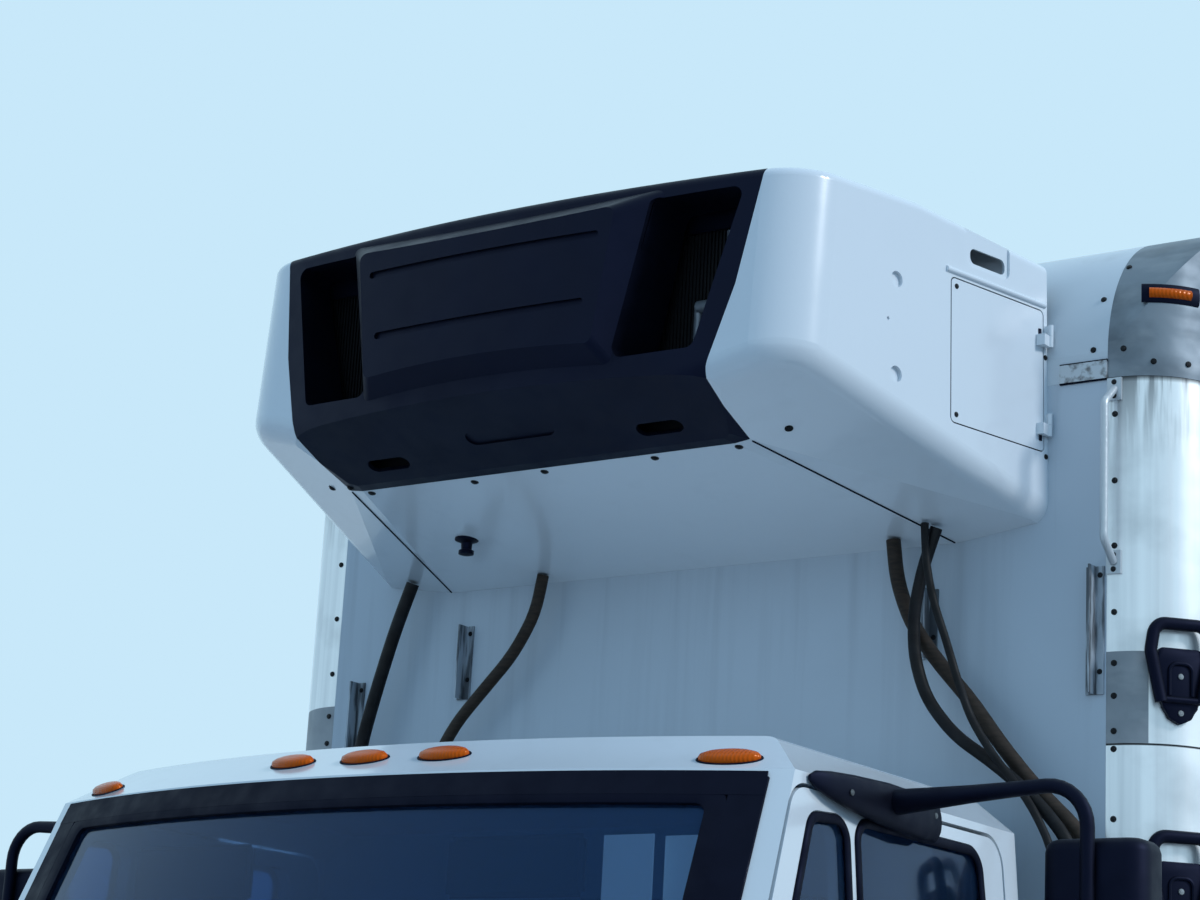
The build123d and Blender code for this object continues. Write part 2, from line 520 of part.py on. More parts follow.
def cab_form(inset):
    """The cab's outer form, moved inwards by an inset."""
    with BuildPart() as form:
        with BuildSketch(Plane.XZ.offset(-(SCREEN_BASE_Y - 100))):
            with BuildLine():
                half = CAB_HALF
                Polyline((half - SILL_TUMBLE, CAB_FLOOR_Z), (half, BELT_Z), (half - CAB_TUMBLE, ROOF_EDGE_Z),
                         (CAB_ROOF_HALF, CAB_TOP), (-CAB_ROOF_HALF, CAB_TOP), (-half + CAB_TUMBLE, ROOF_EDGE_Z),
                         (-half, BELT_Z), (-half + SILL_TUMBLE, CAB_FLOOR_Z), close=True)
            outline = make_face()
            fillet(outline.vertices().group_by(Axis.Y)[-1], 60)
            if inset:
                offset(amount=-inset, kind=Kind.INTERSECTION)
        extrude(amount=SCREEN_BASE_Y - 100 - CAB_BACK_Y + inset)
        add(bowed_front(SCREEN_BASE_Y, BELT_Z, SCREEN_TOP_Y, ROOF_EDGE_Z, inset), mode=Mode.INTERSECT)
        add(bowed_front(SCREEN_TOP_Y, ROOF_EDGE_Z, FOREHEAD_TOP_Y, CAB_TOP, inset), mode=Mode.INTERSECT)
        block((-CAB_HALF - 50, SCREEN_BASE_Y - 300, CAB_FLOOR_Z - 50),
              (CAB_HALF + 50, FIREWALL_Y + inset, COWL_Z + inset), mode=Mode.SUBTRACT)
    return form.part


def side_prism(points, radius, grow, near_x, far_x):
    """A prism across the truck over a side-view outline of (from the wall, height) points."""
    with BuildPart() as prism:
        with BuildSketch(Plane.YZ.offset(near_x)):
            with BuildLine():
                Polyline(*[(WALL_Y + y, z) for y, z in points], close=True)
            outline = make_face()
            fillet(outline.vertices(), radius)
            if grow:
                offset(amount=grow)
        extrude(amount=far_x - near_x)
    return prism.part


def front_prism(points, radius, grow, near_y, far_y):
    """A prism along the truck over a front-view outline of (across, height) points."""
    with BuildPart() as prism:
        with BuildSketch(Plane.XZ.offset(-near_y)):
            with BuildLine():
                Polyline(*points, close=True)
            outline = make_face()
            fillet(outline.vertices(), radius)
            if grow:
                offset(amount=grow)
        extrude(amount=near_y - far_y)
    return prism.part


CAB_OUTER = cab_form(0)
CAB_INNER = cab_form(CAB_WALL)
CAB_PAST = cab_form(-6)
GLASS_FRONT = cab_form(8)
GLASS_SEAT = cab_form(14)
GLASS_BACK = cab_form(14 - SEAT_GAP)
DOOR_GAP = 8.0
DOOR_NEAR_X = 905.0
DOOR_FAR_X = 1100.0
REBATE = 12.0
GLASS_EDGE = 3.0
DOOR_OUTLINE = [(-1300.0, 1060.0), (-1300.0, 1770.0), (-1062.0, 2340.0), (-212.0, 2346.0), (-200.0, 1700.0), (-200.0, 1060.0)]
VENT_OUTLINE = [(-1196.0, 1800.0), (-1000.0, 2282.0), (-868.0, 2290.0), (-868.0, 1800.0)]
WINDOW_OUTLINE = [(-828.0, 1800.0), (-828.0, 2296.0), (-322.0, 2300.0), (-288.0, 1800.0)]
SCREEN_OUTLINE = [(-878.0, 1800.0), (-850.0, 2322.0), (850.0, 2322.0), (878.0, 1800.0)]
REAR_LIGHT_OUTLINE = [(-560.0, 1850.0), (-560.0, 2230.0), (560.0, 2230.0), (560.0, 1850.0)]
SCREEN_NEAR_Y = WALL_Y - 1600.0
SCREEN_FAR_Y = WALL_Y - 900.0
REAR_LIGHT_NEAR_Y = CAB_BACK_Y - 200.0
REAR_LIGHT_FAR_Y = CAB_BACK_Y + 60.0
CAB_SKIN = CAB_PAST - GLASS_SEAT
DOOR_PIN_X = CAB_HALF + 14.0
DOOR_PIN_Y = WALL_Y + DOOR_OUTLINE[0][0] + DOOR_GAP / 2
DOOR_BARREL = 10.0
DOOR_BARREL_HEIGHT = 36.0
DOOR_HINGES = [1240.0, 1600.0]
HINGE_LEAF = 62.0
RUNNING_GAP = 0.5

with BuildPart() as cab_shell:
    add(CAB_OUTER - CAB_INNER)
    add(side_prism(DOOR_OUTLINE, 70, 0, DOOR_NEAR_X, DOOR_FAR_X), mode=Mode.SUBTRACT)
    add(side_prism(DOOR_OUTLINE, 70, 0, -DOOR_FAR_X, -DOOR_NEAR_X), mode=Mode.SUBTRACT)
    for outline, radius, near_y, far_y in (
        (SCREEN_OUTLINE, 60, SCREEN_NEAR_Y, SCREEN_FAR_Y),
        (REAR_LIGHT_OUTLINE, 50, REAR_LIGHT_NEAR_Y, REAR_LIGHT_FAR_Y),
    ):
        add(front_prism(outline, radius, 0, near_y, far_y), mode=Mode.SUBTRACT)
        add(CAB_SKIN & front_prism(outline, radius, REBATE, near_y, far_y), mode=Mode.SUBTRACT)
    for side in (-1, 1):
        leaf_x = sorted((side * (CAB_HALF - 16), side * DOOR_PIN_X))
        for hinge_z in DOOR_HINGES:
            barrel_low = hinge_z + RUNNING_GAP
            block((leaf_x[0], DOOR_PIN_Y - HINGE_LEAF, barrel_low), (leaf_x[1], DOOR_PIN_Y, barrel_low + DOOR_BARREL_HEIGHT))
            with Locations((side * DOOR_PIN_X, DOOR_PIN_Y, barrel_low + DOOR_BARREL_HEIGHT / 2)):
                Cylinder(DOOR_BARREL, DOOR_BARREL_HEIGHT)
save(cab_shell.part, "cab_shell")

# Windscreen and rear light, each seated in its rebate
with BuildPart() as cab_glass:
    pane = GLASS_FRONT - GLASS_BACK
    add(pane & front_prism(SCREEN_OUTLINE, 60, REBATE - GLASS_EDGE, SCREEN_NEAR_Y, SCREEN_FAR_Y))
    add(pane & front_prism(REAR_LIGHT_OUTLINE, 50, REBATE - GLASS_EDGE, REAR_LIGHT_NEAR_Y, REAR_LIGHT_FAR_Y))
save(cab_glass.part, "cab_glass")

# Doors as thick as the cab wall, with a vent light and a main window in each, and their glass
for side, end in ((1, "left"), (-1, "right")):
    near, far = sorted((side * DOOR_NEAR_X, side * DOOR_FAR_X))
    with BuildPart() as door:
        add((CAB_OUTER - CAB_INNER) & side_prism(DOOR_OUTLINE, 70, -DOOR_GAP, near, far))
        for outline, radius in ((VENT_OUTLINE, 40), (WINDOW_OUTLINE, 45)):
            add(side_prism(outline, radius, 0, near, far), mode=Mode.SUBTRACT)
            add(CAB_SKIN & side_prism(outline, radius, REBATE, near, far), mode=Mode.SUBTRACT)
        handle_x = sorted((side * (CAB_HALF - 8), side * (CAB_HALF + 32)))
        block((handle_x[0], WALL_Y - 440, 1600), (handle_x[1], WALL_Y - 270, 1640))
        leaf_x = sorted((side * (CAB_HALF - 16), side * DOOR_PIN_X))
        for hinge_z in DOOR_HINGES:
            barrel_low = hinge_z - DOOR_BARREL_HEIGHT
            block((leaf_x[0], DOOR_PIN_Y, barrel_low), (leaf_x[1], DOOR_PIN_Y + HINGE_LEAF, hinge_z))
            with Locations((side * DOOR_PIN_X, DOOR_PIN_Y, hinge_z - DOOR_BARREL_HEIGHT / 2)):
                Cylinder(DOOR_BARREL, DOOR_BARREL_HEIGHT)
    save(door.part, f"door_{end}")
    with BuildPart() as door_glass:
        pane = GLASS_FRONT - GLASS_BACK
        for outline, radius in ((VENT_OUTLINE, 40), (WINDOW_OUTLINE, 45)):
            add(pane & side_prism(outline, radius, REBATE - GLASS_EDGE, near, far))
    save(door_glass.part, f"door_glass_{end}")

# Mirrors: a shoe on the door's upper frame, a tubular C-loop and two heads on its upright
MIRROR_TUBE = 14.0
MIRROR_OUT_X = 1420.0
MIRROR_Y = -772.0
MIRROR_TOP_Z = 2362.0
MIRROR_LOW_Z = 1640.0
SHOE_DROP = 52.0
FOOT_HALF = 45.0
for side, end in ((1, "left"), (-1, "right")):
    shoe_x = cab_side_x(MIRROR_TOP_Z - SHOE_DROP) + SEAT_GAP
    foot_x = cab_side_x(MIRROR_LOW_Z + FOOT_HALF) + SEAT_GAP
    route = [(side * (shoe_x + 8), WALL_Y - 745, MIRROR_TOP_Z - 22), (side * MIRROR_OUT_X, WALL_Y + MIRROR_Y, MIRROR_TOP_Z),
             (side * MIRROR_OUT_X, WALL_Y + MIRROR_Y, MIRROR_LOW_Z), (side * (foot_x + 3), WALL_Y - 745, MIRROR_LOW_Z)]
    loop = tube_along(route, MIRROR_TUBE, 80)
    with BuildPart() as mirror_arm:
        add(loop)
        for low_z, high_z in ((1900.0, 2262.0), (1700.0, 1870.0)):
            with BuildSketch(Plane.XY.offset(low_z)):
                with Locations((side * MIRROR_OUT_X, WALL_Y + MIRROR_Y + 55)):
                    RectangleRounded(210, 95, 40)
            extrude(amount=high_z - low_z)
        x_pair = sorted((side * shoe_x, side * (shoe_x + 40)))
        block((x_pair[0], WALL_Y - 970, MIRROR_TOP_Z - SHOE_DROP), (x_pair[1], WALL_Y - 545, MIRROR_TOP_Z + 8))
        x_pair = sorted((side * foot_x, side * (foot_x + 26)))
        block((x_pair[0], WALL_Y - 800, MIRROR_LOW_Z - FOOT_HALF), (x_pair[1], WALL_Y - 690, MIRROR_LOW_Z + FOOT_HALF))
    save(mirror_arm.part, f"mirror_{end}")

# Seats: a bench of two chairs on pedestals on the cab floor
SEAT_FLOOR = CAB_FLOOR_Z + CAB_WALL
with BuildPart() as seats:
    for side in (-1, 1):
        mid = side * 470.0
        block((mid - 190, WALL_Y - 780, SEAT_FLOOR + SEAT_GAP), (mid + 190, WALL_Y - 400, SEAT_FLOOR + 260))
        with BuildSketch(Plane.YZ.offset(mid - 240)):
            with BuildLine():
                Polyline((WALL_Y - 860, 1320), (WALL_Y - 860, 1430), (WALL_Y - 450, 1430), (WALL_Y - 345, 2030),
                         (WALL_Y - 250, 2030), (WALL_Y - 330, 1320), close=True)
            outline = make_face()
            fillet(outline.vertices(), 40)
        extrude(amount=480)
save(seats.part, "seats")

# Dashboard, across the cab between the door posts
with BuildPart() as dashboard:
    with BuildSketch(Plane.YZ.offset(-880)):
        with BuildLine():
            Polyline((WALL_Y - 1290, 1290), (WALL_Y - 1290, 1700), (WALL_Y - 1120, 1690), (WALL_Y - 1010, 1610),
                     (WALL_Y - 1050, 1330), close=True)
        outline = make_face()
        fillet(outline.vertices(), 35)
    extrude(amount=1760)
    block((-450, FIREWALL_Y + CAB_WALL + SEAT_GAP, 1400), (450, WALL_Y - 1280, 1600))
save(dashboard.part, "dashboard")

# Steering wheel on its column
WHEEL_PLANE = Plane(origin=(470, WALL_Y - 930, 1690), x_dir=(1, 0, 0), z_dir=(0, 0.64, 0.77))
with BuildPart() as steering_wheel:
    with BuildSketch(Plane(origin=WHEEL_PLANE.origin + WHEEL_PLANE.x_dir * 215, x_dir=WHEEL_PLANE.x_dir, z_dir=WHEEL_PLANE.y_dir)):
        Circle(15)
    revolve(axis=Axis(WHEEL_PLANE.origin, WHEEL_PLANE.z_dir))
    with BuildSketch(WHEEL_PLANE.offset(-12)):
        Circle(60)
        for turn in (0, 120, 240):
            with Locations(Rot(0, 0, turn + 90) * Pos(110, 0)):
                Rectangle(215, 34)
    extrude(amount=14)
    with BuildSketch(WHEEL_PLANE.offset(-10)):
        Circle(32)
    extrude(amount=-170)
    add(dashboard.part, mode=Mode.SUBTRACT)
save(steering_wheel.part, "steering_wheel")

# Hood: one tilting moulding of nose and wings, open below and behind, with a grille opening and lamp pockets
HOOD_REAR_Y = WALL_Y - 1545.0
HOOD_FRONT_Y = FRONT_Y + 60.0
HOOD_WALL = 12.0
HOOD_LUG = 20.0
HOOD_HALF = 1150.0
HOOD_LOW_Z = 780.0
ARCH_RADIUS = 640.0
HOOD_TOP_REAR_Z = 1705.0
HOOD_TOP_FRONT_Z = 1440.0
NOSE_HALF = 760.0
GRILLE_HALF = 470.0
GRILLE_LOW_Z = 860.0
GRILLE_TOP_Z = 1330.0
LAMP_LOW_Z = 930.0
LAMP_TOP_Z = 1120.0
LAMP_NEAR_X = 600.0
LAMP_FAR_X = 900.0


def hood_form(inset):
    """The hood's outer form, moved inwards by an inset, its underside and rear pushed through."""
    drop = 200.0 if inset else 0.0
    front = HOOD_FRONT_Y + inset
    rear = HOOD_REAR_Y + drop
    with BuildPart() as nose:
        with BuildSketch(Plane.YZ.offset(-NOSE_HALF + inset)):
            with BuildLine():
                Polyline((front, HOOD_LOW_Z + 20 - drop), (front + 40, HOOD_TOP_FRONT_Z - 90 - inset),
                         (front + 170, HOOD_TOP_FRONT_Z - inset), (rear, HOOD_TOP_REAR_Z - inset),
                         (rear, HOOD_LOW_Z + 20 - drop), close=True)
            make_face()
        extrude(amount=2 * (NOSE_HALF - inset))
        side_edges = nose.edges().filter_by(lambda e: abs(e.center().X) > NOSE_HALF - inset - 1)
        fillet(side_edges.filter_by(lambda e: e.center().Z > HOOD_TOP_FRONT_Z - 100 and e.center().Y < rear - 10), 110 - inset)
    with BuildPart() as wings:
        with BuildSketch(Plane.YZ.offset(-HOOD_HALF + inset)):
            with BuildLine():
                Polyline((front + 130, HOOD_LOW_Z - drop), (front + 150, 1130 - inset),
                         (front + 330, 1240 - inset), (rear - 120, 1290 - inset),
                         (rear, 1180 - inset), (rear, HOOD_LOW_Z - drop), close=True)
            make_face()
        extrude(amount=2 * (HOOD_HALF - inset))
        side_edges = wings.edges().filter_by(lambda e: abs(e.center().X) > HOOD_HALF - inset - 1)
        fillet(side_edges.filter_by(lambda e: e.center().Z > HOOD_LOW_Z + 50 and e.center().Y < rear - 10), 70 - inset)
    return nose.part + wings.part


with BuildPart() as hood:
    add(hood_form(0) - hood_form(HOOD_WALL))
    with Locations(Location((0, FRONT_AXLE_Y, AXLE_HEIGHT), (0, 90, 0))):
        Cylinder(ARCH_RADIUS, 2 * HOOD_HALF + 20, mode=Mode.SUBTRACT)
    block((-GRILLE_HALF, HOOD_FRONT_Y - 50, GRILLE_LOW_Z), (GRILLE_HALF, HOOD_FRONT_Y + 150, GRILLE_TOP_Z), mode=Mode.SUBTRACT)
    for side in (-1, 1):
        lamp_x = sorted((side * LAMP_NEAR_X, side * LAMP_FAR_X))
        block((lamp_x[0], HOOD_FRONT_Y - 50, LAMP_LOW_Z), (lamp_x[1], HOOD_FRONT_Y + 260, LAMP_TOP_Z), mode=Mode.SUBTRACT)
        for lug_x in (-HOOD_EYE_HALF - RUNNING_GAP - HOOD_LUG / 2, HOOD_EYE_HALF + RUNNING_GAP + HOOD_LUG / 2):
            lug_mid = side * (FRAME_WIDTH / 2 - RAIL_FLANGE / 2) + lug_x
            block((lug_mid - HOOD_LUG / 2, HOOD_FRONT_Y + HOOD_WALL / 2, HOOD_PIVOT_Z - 5),
                  (lug_mid + HOOD_LUG / 2, HOOD_PIVOT_Y, GRILLE_LOW_Z - 20))
            with Locations(Location((lug_mid, HOOD_PIVOT_Y, HOOD_PIVOT_Z), (0, 90, 0))):
                Cylinder(HOOD_EYE_RADIUS, HOOD_LUG)
save(hood.part, "hood")

# Grille: a frame with slats in the hood's opening
SLATS = 7
with BuildPart() as grille:
    edge = GRILLE_HALF - SEAT_GAP
    low_z = GRILLE_LOW_Z + SEAT_GAP
    high_z = GRILLE_TOP_Z - SEAT_GAP
    front_y = HOOD_FRONT_Y + 8
    block((-edge, front_y, low_z), (edge, front_y + 75, high_z))
    block((-edge + 32, front_y - 5, low_z + 32), (edge - 32, front_y + 80, high_z - 32), mode=Mode.SUBTRACT)
    pitch = (high_z - low_z - 64) / (SLATS + 1)
    for slat in range(SLATS):
        slat_z = low_z + 32 + pitch * (slat + 1)
        block((-edge + 20, front_y + 14, slat_z - 9), (edge - 20, front_y + 60, slat_z + 9))
    for post_x in (-160, 160):
        block((post_x - 7, front_y + 30, low_z + 20), (post_x + 7, front_y + 58, high_z - 20))
save(grille.part, "grille")

# Headlamps in the pockets at the corners of the hood
with BuildPart() as headlamps:
    lens_y = HOOD_FRONT_Y + 150
    block((LAMP_NEAR_X + SEAT_GAP, HOOD_FRONT_Y + 50, LAMP_LOW_Z + SEAT_GAP), (LAMP_FAR_X - SEAT_GAP, lens_y + 60, LAMP_TOP_Z - SEAT_GAP))
    fillet(headlamps.edges().filter_by(Axis.Z).group_by(Axis.Y)[0], 45)
    mirror(about=Plane.YZ)
save(headlamps.part, "headlamps")

# Box: plan outline with rounded front corners, met by the side outline with its rounded nose
BOX_HALF = BOX_WIDTH / 2
BOX_CORNER = 192.0
BOX_NOSE = 350.0
NOSE_FLAT = 5.0
BOX_WALL = 75.0
FLOOR_TOP = BOX_BOTTOM + 130.0
WALL_FOOT_Z = BOX_BOTTOM + 60.0
RAIL_LINE = 3396.0
RAIL_DEPTH = 42.0
NOSE_BACK_Y = WALL_Y + 420.0
REAR_FRAME_DEPTH = 90.0


def box_form(inset):
    """The box's outer form, moved inwards by an inset at the walls and the roof and open below."""
    with BuildPart() as form:
        with BuildSketch(Plane.XY.offset(BOX_BOTTOM)):
            with BuildLine():
                half = BOX_HALF - inset
                Polyline((half, BOX_REAR_Y), (half, WALL_Y + inset), (-half, WALL_Y + inset), (-half, BOX_REAR_Y), close=True)
            outline = make_face()
            fillet(outline.vertices().group_by(Axis.Y)[0], BOX_CORNER - inset)
        extrude(amount=BOX_TOP - BOX_BOTTOM)
        with BuildSketch(Plane.YZ.offset(-BOX_HALF - 10)):
            with BuildLine():
                nose_mid = (BOX_NOSE - inset - NOSE_FLAT) * math.sqrt(0.5)
                Polyline((WALL_Y + BOX_NOSE, BOX_TOP - inset), (BOX_REAR_Y + 10, BOX_TOP - inset),
                         (BOX_REAR_Y + 10, BOX_BOTTOM - 10), (WALL_Y + inset, BOX_BOTTOM - 10),
                         (WALL_Y + inset, BOX_TOP - BOX_NOSE))
                ThreePointArc((WALL_Y + inset, BOX_TOP - BOX_NOSE),
                              (WALL_Y + BOX_NOSE - nose_mid, BOX_TOP - BOX_NOSE + nose_mid), (WALL_Y + BOX_NOSE, BOX_TOP - inset))
            make_face()
        extrude(amount=BOX_WIDTH + 20, mode=Mode.INTERSECT)
    return form.part


BOX_SHELL = box_form(0) - box_form(BOX_WALL)
SEAM_LAP = 3.0
SEAM_X = BOX_HALF - BOX_CORNER - SEAM_LAP
CORNER_BACK_Y = WALL_Y + BOX_CORNER + SEAM_LAP


def box_zone(low, high):
    """The stretch of the box's shell that lies between two corners."""
    with BuildPart() as zone:
        block(low, high)
    return BOX_SHELL & zone.part


FAR = 3000.0
WALL_TOP = RAIL_LINE
with BuildPart() as box_front_wall:
    add(box_zone((-SEAM_X, WALL_Y - 10, WALL_FOOT_Z + SEAT_GAP), (SEAM_X, CORNER_BACK_Y, WALL_TOP)))
save(box_front_wall.part, "box_front_wall")

with BuildPart() as box_corners:
    add(box_zone((SEAM_X + SEAT_GAP, WALL_Y - 10, WALL_FOOT_Z + SEAT_GAP), (FAR, CORNER_BACK_Y, WALL_TOP)))
    add(box_zone((-FAR, WALL_Y - 10, WALL_FOOT_Z + SEAT_GAP), (-SEAM_X - SEAT_GAP, CORNER_BACK_Y, WALL_TOP)))
    add(box_zone((SEAM_X + SEAT_GAP, WALL_Y - 10, WALL_TOP + SEAT_GAP), (FAR, NOSE_BACK_Y, FAR * 2)))
    add(box_zone((-FAR, WALL_Y - 10, WALL_TOP + SEAT_GAP), (-SEAM_X - SEAT_GAP, NOSE_BACK_Y, FAR * 2)))
save(box_corners.part, "box_corners")

SIDE_REAR_Y = BOX_REAR_Y - REAR_FRAME_DEPTH - SEAT_GAP
with BuildPart() as box_sides:
    add(box_zone((BOX_HALF - BOX_WALL, CORNER_BACK_Y + SEAT_GAP, WALL_FOOT_Z + SEAT_GAP), (FAR, SIDE_REAR_Y, WALL_TOP)))
    add(box_zone((BOX_HALF - BOX_WALL, NOSE_BACK_Y + SEAT_GAP, WALL_TOP - 1), (FAR, SIDE_REAR_Y, BOX_TOP - BOX_WALL - SEAT_GAP)))
    mirror(about=Plane.YZ)
save(box_sides.part, "box_sides")

with BuildPart() as box_roof:
    add(box_zone((-SEAM_X, WALL_Y - 10, WALL_TOP + SEAT_GAP), (SEAM_X, NOSE_BACK_Y, FAR * 2)))
    add(box_zone((-FAR, NOSE_BACK_Y + SEAT_GAP, BOX_TOP - BOX_WALL), (FAR, SIDE_REAR_Y, BOX_TOP)))
save(box_roof.part, "box_roof")

# Box floor: an insulated slab inside the walls on two long sills with cross sills between them
SILL_HEIGHT = BOX_BOTTOM - FRAME_TOP - 2 * SEAT_GAP
SILL_PITCH = 406.0
CROSS_SILLS = int((BOX_LENGTH - 500) // SILL_PITCH)
with BuildPart() as box_floor:
    floor_rear = BOX_REAR_Y - REAR_FRAME_DEPTH - SEAT_GAP
    for inset, low_z, high_z in ((0, BOX_BOTTOM, WALL_FOOT_Z), (BOX_WALL + SEAT_GAP, WALL_FOOT_Z, FLOOR_TOP)):
        with BuildSketch(Plane.XY.offset(low_z)):
            with BuildLine():
                half = BOX_HALF - inset
                front = WALL_Y + inset
                Polyline((half, floor_rear), (half, front), (-half, front), (-half, floor_rear), close=True)
            outline = make_face()
            fillet(outline.vertices().group_by(Axis.Y)[0], BOX_CORNER - inset)
        extrude(amount=high_z - low_z)
    for side in (-1, 1):
        sill_x = sorted((side * (FRAME_WIDTH / 2 - RAIL_FLANGE), side * (FRAME_WIDTH / 2)))
        block((sill_x[0], WALL_Y + 60, FRAME_TOP + SEAT_GAP), (sill_x[1], RAIL_REAR_Y, BOX_BOTTOM))
    for sill in range(CROSS_SILLS):
        sill_y = WALL_Y + 300 + sill * SILL_PITCH
        block((-BOX_HALF + 40, sill_y - 22, BOX_BOTTOM - 76), (BOX_HALF - 40, sill_y + 22, BOX_BOTTOM))
save(box_floor.part, "box_floor")

# Rear frame: posts, header and sill round the door opening, with the hinge butts of the doors
POST_WIDTH = 75.0
HEADER_HEIGHT = 130.0
LEAF_GAP = 8.0
LEAF_THICKNESS_REAR = 80.0
PIN_X = BOX_HALF - 12.0
PIN_Y = BOX_REAR_Y + 26.0
PIN_RADIUS = 11.0
BARREL_HALF = 28.0
BUTT_HEIGHT = 25.0
HINGE_HEIGHTS = [FLOOR_TOP + 180.0, FLOOR_TOP + 820.0, FLOOR_TOP + 1560.0, BOX_TOP - HEADER_HEIGHT - 180.0]
with BuildPart() as rear_frame:
    frame_front = BOX_REAR_Y - REAR_FRAME_DEPTH
    block((-BOX_HALF, frame_front, BOX_BOTTOM - 60), (BOX_HALF, BOX_REAR_Y, BOX_TOP))
    block((-BOX_HALF + POST_WIDTH, frame_front - 10, FLOOR_TOP), (BOX_HALF - POST_WIDTH, BOX_REAR_Y + 10, BOX_TOP - HEADER_HEIGHT),
          mode=Mode.SUBTRACT)
    for side in (-1, 1):
        butt_x = sorted((side * (PIN_X - 45), side * PIN_X))
        for hinge_z in HINGE_HEIGHTS:
            for low_z in (hinge_z - BARREL_HALF - RUNNING_GAP - BUTT_HEIGHT, hinge_z + BARREL_HALF + RUNNING_GAP):
                block((butt_x[0], BOX_REAR_Y - 1, low_z), (butt_x[1], PIN_Y, low_z + BUTT_HEIGHT))
                with Locations((side * PIN_X, PIN_Y, low_z + BUTT_HEIGHT / 2)):
                    Cylinder(PIN_RADIUS, BUTT_HEIGHT)
save(rear_frame.part, "rear_frame")

# Rear doors: two insulated leaves, each with hinge straps and a lock rod
for side, end in ((1, "left"), (-1, "right")):
    with BuildPart() as leaf:
        x_pair = sorted((side * LEAF_GAP, side * (BOX_HALF - POST_WIDTH - LEAF_GAP)))
        block((x_pair[0], BOX_REAR_Y - LEAF_THICKNESS_REAR, FLOOR_TOP + LEAF_GAP),
              (x_pair[1], BOX_REAR_Y, BOX_TOP - HEADER_HEIGHT - LEAF_GAP))
        for hinge_z in HINGE_HEIGHTS:
            lug_x = sorted((side * (BOX_HALF - 330), side * (BOX_HALF - POST_WIDTH - LEAF_GAP)))
            block((lug_x[0], BOX_REAR_Y, hinge_z - BARREL_HALF), (lug_x[1], BOX_REAR_Y + 12, hinge_z + BARREL_HALF))
            arm_x = sorted((side * (BOX_HALF - POST_WIDTH - LEAF_GAP - 20), side * PIN_X))
            block((arm_x[0], PIN_Y - 8, hinge_z - BARREL_HALF), (arm_x[1], PIN_Y + 8, hinge_z + BARREL_HALF))
            web_x = sorted((side * (BOX_HALF - POST_WIDTH - LEAF_GAP - 20), side * (BOX_HALF - POST_WIDTH - LEAF_GAP)))
            block((web_x[0], BOX_REAR_Y, hinge_z - BARREL_HALF), (web_x[1], PIN_Y + 8, hinge_z + BARREL_HALF))
            with Locations((side * PIN_X, PIN_Y, hinge_z)):
                Cylinder(PIN_RADIUS, 2 * BARREL_HALF)
        rod_x = side * 420.0
        with Locations((rod_x, BOX_REAR_Y + ROD_OUT, (FLOOR_TOP + BOX_TOP - HEADER_HEIGHT) / 2)):
            Cylinder(ROD_RADIUS, BOX_TOP - HEADER_HEIGHT - FLOOR_TOP - 40)
        for guide_z in (FLOOR_TOP + 60, FLOOR_TOP + 640, FLOOR_TOP + 1240, FLOOR_TOP + 1800, BOX_TOP - HEADER_HEIGHT - 60):
            block((rod_x - 32, BOX_REAR_Y, guide_z - 26), (rod_x + 32, BOX_REAR_Y + ROD_OUT, guide_z + 26))
        handle_x = sorted((rod_x, side * 120.0))
        block((handle_x[0], BOX_REAR_Y + ROD_OUT - 8, FLOOR_TOP + 700), (handle_x[1], BOX_REAR_Y + ROD_OUT + 8, FLOOR_TOP + 732))
    save(leaf.part, f"rear_door_{end}")

# Rear bumper below the box, tail lamps and mud flaps
BUMPER_BAR_Z = 560.0
with BuildPart() as rear_bumper:
    block((-1150, BOX_REAR_Y - 120, BUMPER_BAR_Z - 50), (1150, BOX_REAR_Y - 20, BUMPER_BAR_Z + 50))
    for side in (-1, 1):
        x_pair = sorted((side * (FRAME_WIDTH / 2 - 70), side * (FRAME_WIDTH / 2 - 8)))
        block((x_pair[0], BOX_REAR_Y - 120, BUMPER_BAR_Z), (x_pair[1], BOX_REAR_Y - 60, BOX_BOTTOM - 60 - SEAT_GAP))
        foot_x = sorted((side * (FRAME_WIDTH / 2 - 70), side * (FRAME_WIDTH / 2 - 8)))
        block((foot_x[0], RAIL_REAR_Y + SEAT_GAP, FRAME_BOTTOM + 20), (foot_x[1], BOX_REAR_Y - 110, FRAME_BOTTOM + 120))
save(rear_bumper.part, "rear_bumper")

with BuildPart() as tail_lamps:
    for side in (-1, 1):
        x_pair = sorted((side * 700, side * 1180))
        block((x_pair[0], BOX_REAR_Y - 90, BOX_BOTTOM - 60 - SEAT_GAP - 130), (x_pair[1], BOX_REAR_Y - 60, BOX_BOTTOM - 60 - SEAT_GAP))
        for lamp_x in (side * 780, side * 940, side * 1100):
            with Locations(Location((lamp_x, BOX_REAR_Y - 55, BOX_BOTTOM - 125), (90, 0, 0))):
                Cylinder(52, 20)
save(tail_lamps.part, "tail_lamps")

FLAP_Y = REAR_AXLE_Y + 720.0
with BuildPart() as mud_flaps:
    for side in (-1, 1):
        x_pair = sorted((side * 620, side * 1240))
        block((x_pair[0], FLAP_Y, 330), (x_pair[1], FLAP_Y + 8, BOX_BOTTOM - SEAT_GAP))
save(mud_flaps.part, "mud_flaps")

# Cooling unit: a moulded body on the box's front wall, split into grille, sides, top and bottom panels
UNIT_HALF = 955.0
UNIT_DEPTH = 868.0
UNIT_SIDE_FRONT = 764.0
UNIT_SIDE_DEPTH = 800.0
UNIT_ROUND = 150.0
UNIT_WALL = 12.0
UNIT_TOP = 3712.0
CREASE_Z = 3260.0
FACE_LEAN = 0.075
SIDE_FLARE = 12.0
SIDE_RUN_PAST = 50.0
CREASE_ROUND = 60.0
CREASE_REACH = 25.0
RIM_ROUND = 24.0
RIM_BAND = 60.0
RIM_SIDE_X = 500.0
SLOPE_BACK = 655.0
SLOPE_Z = 3155.0
UNIT_LOW_Z = 3050.0
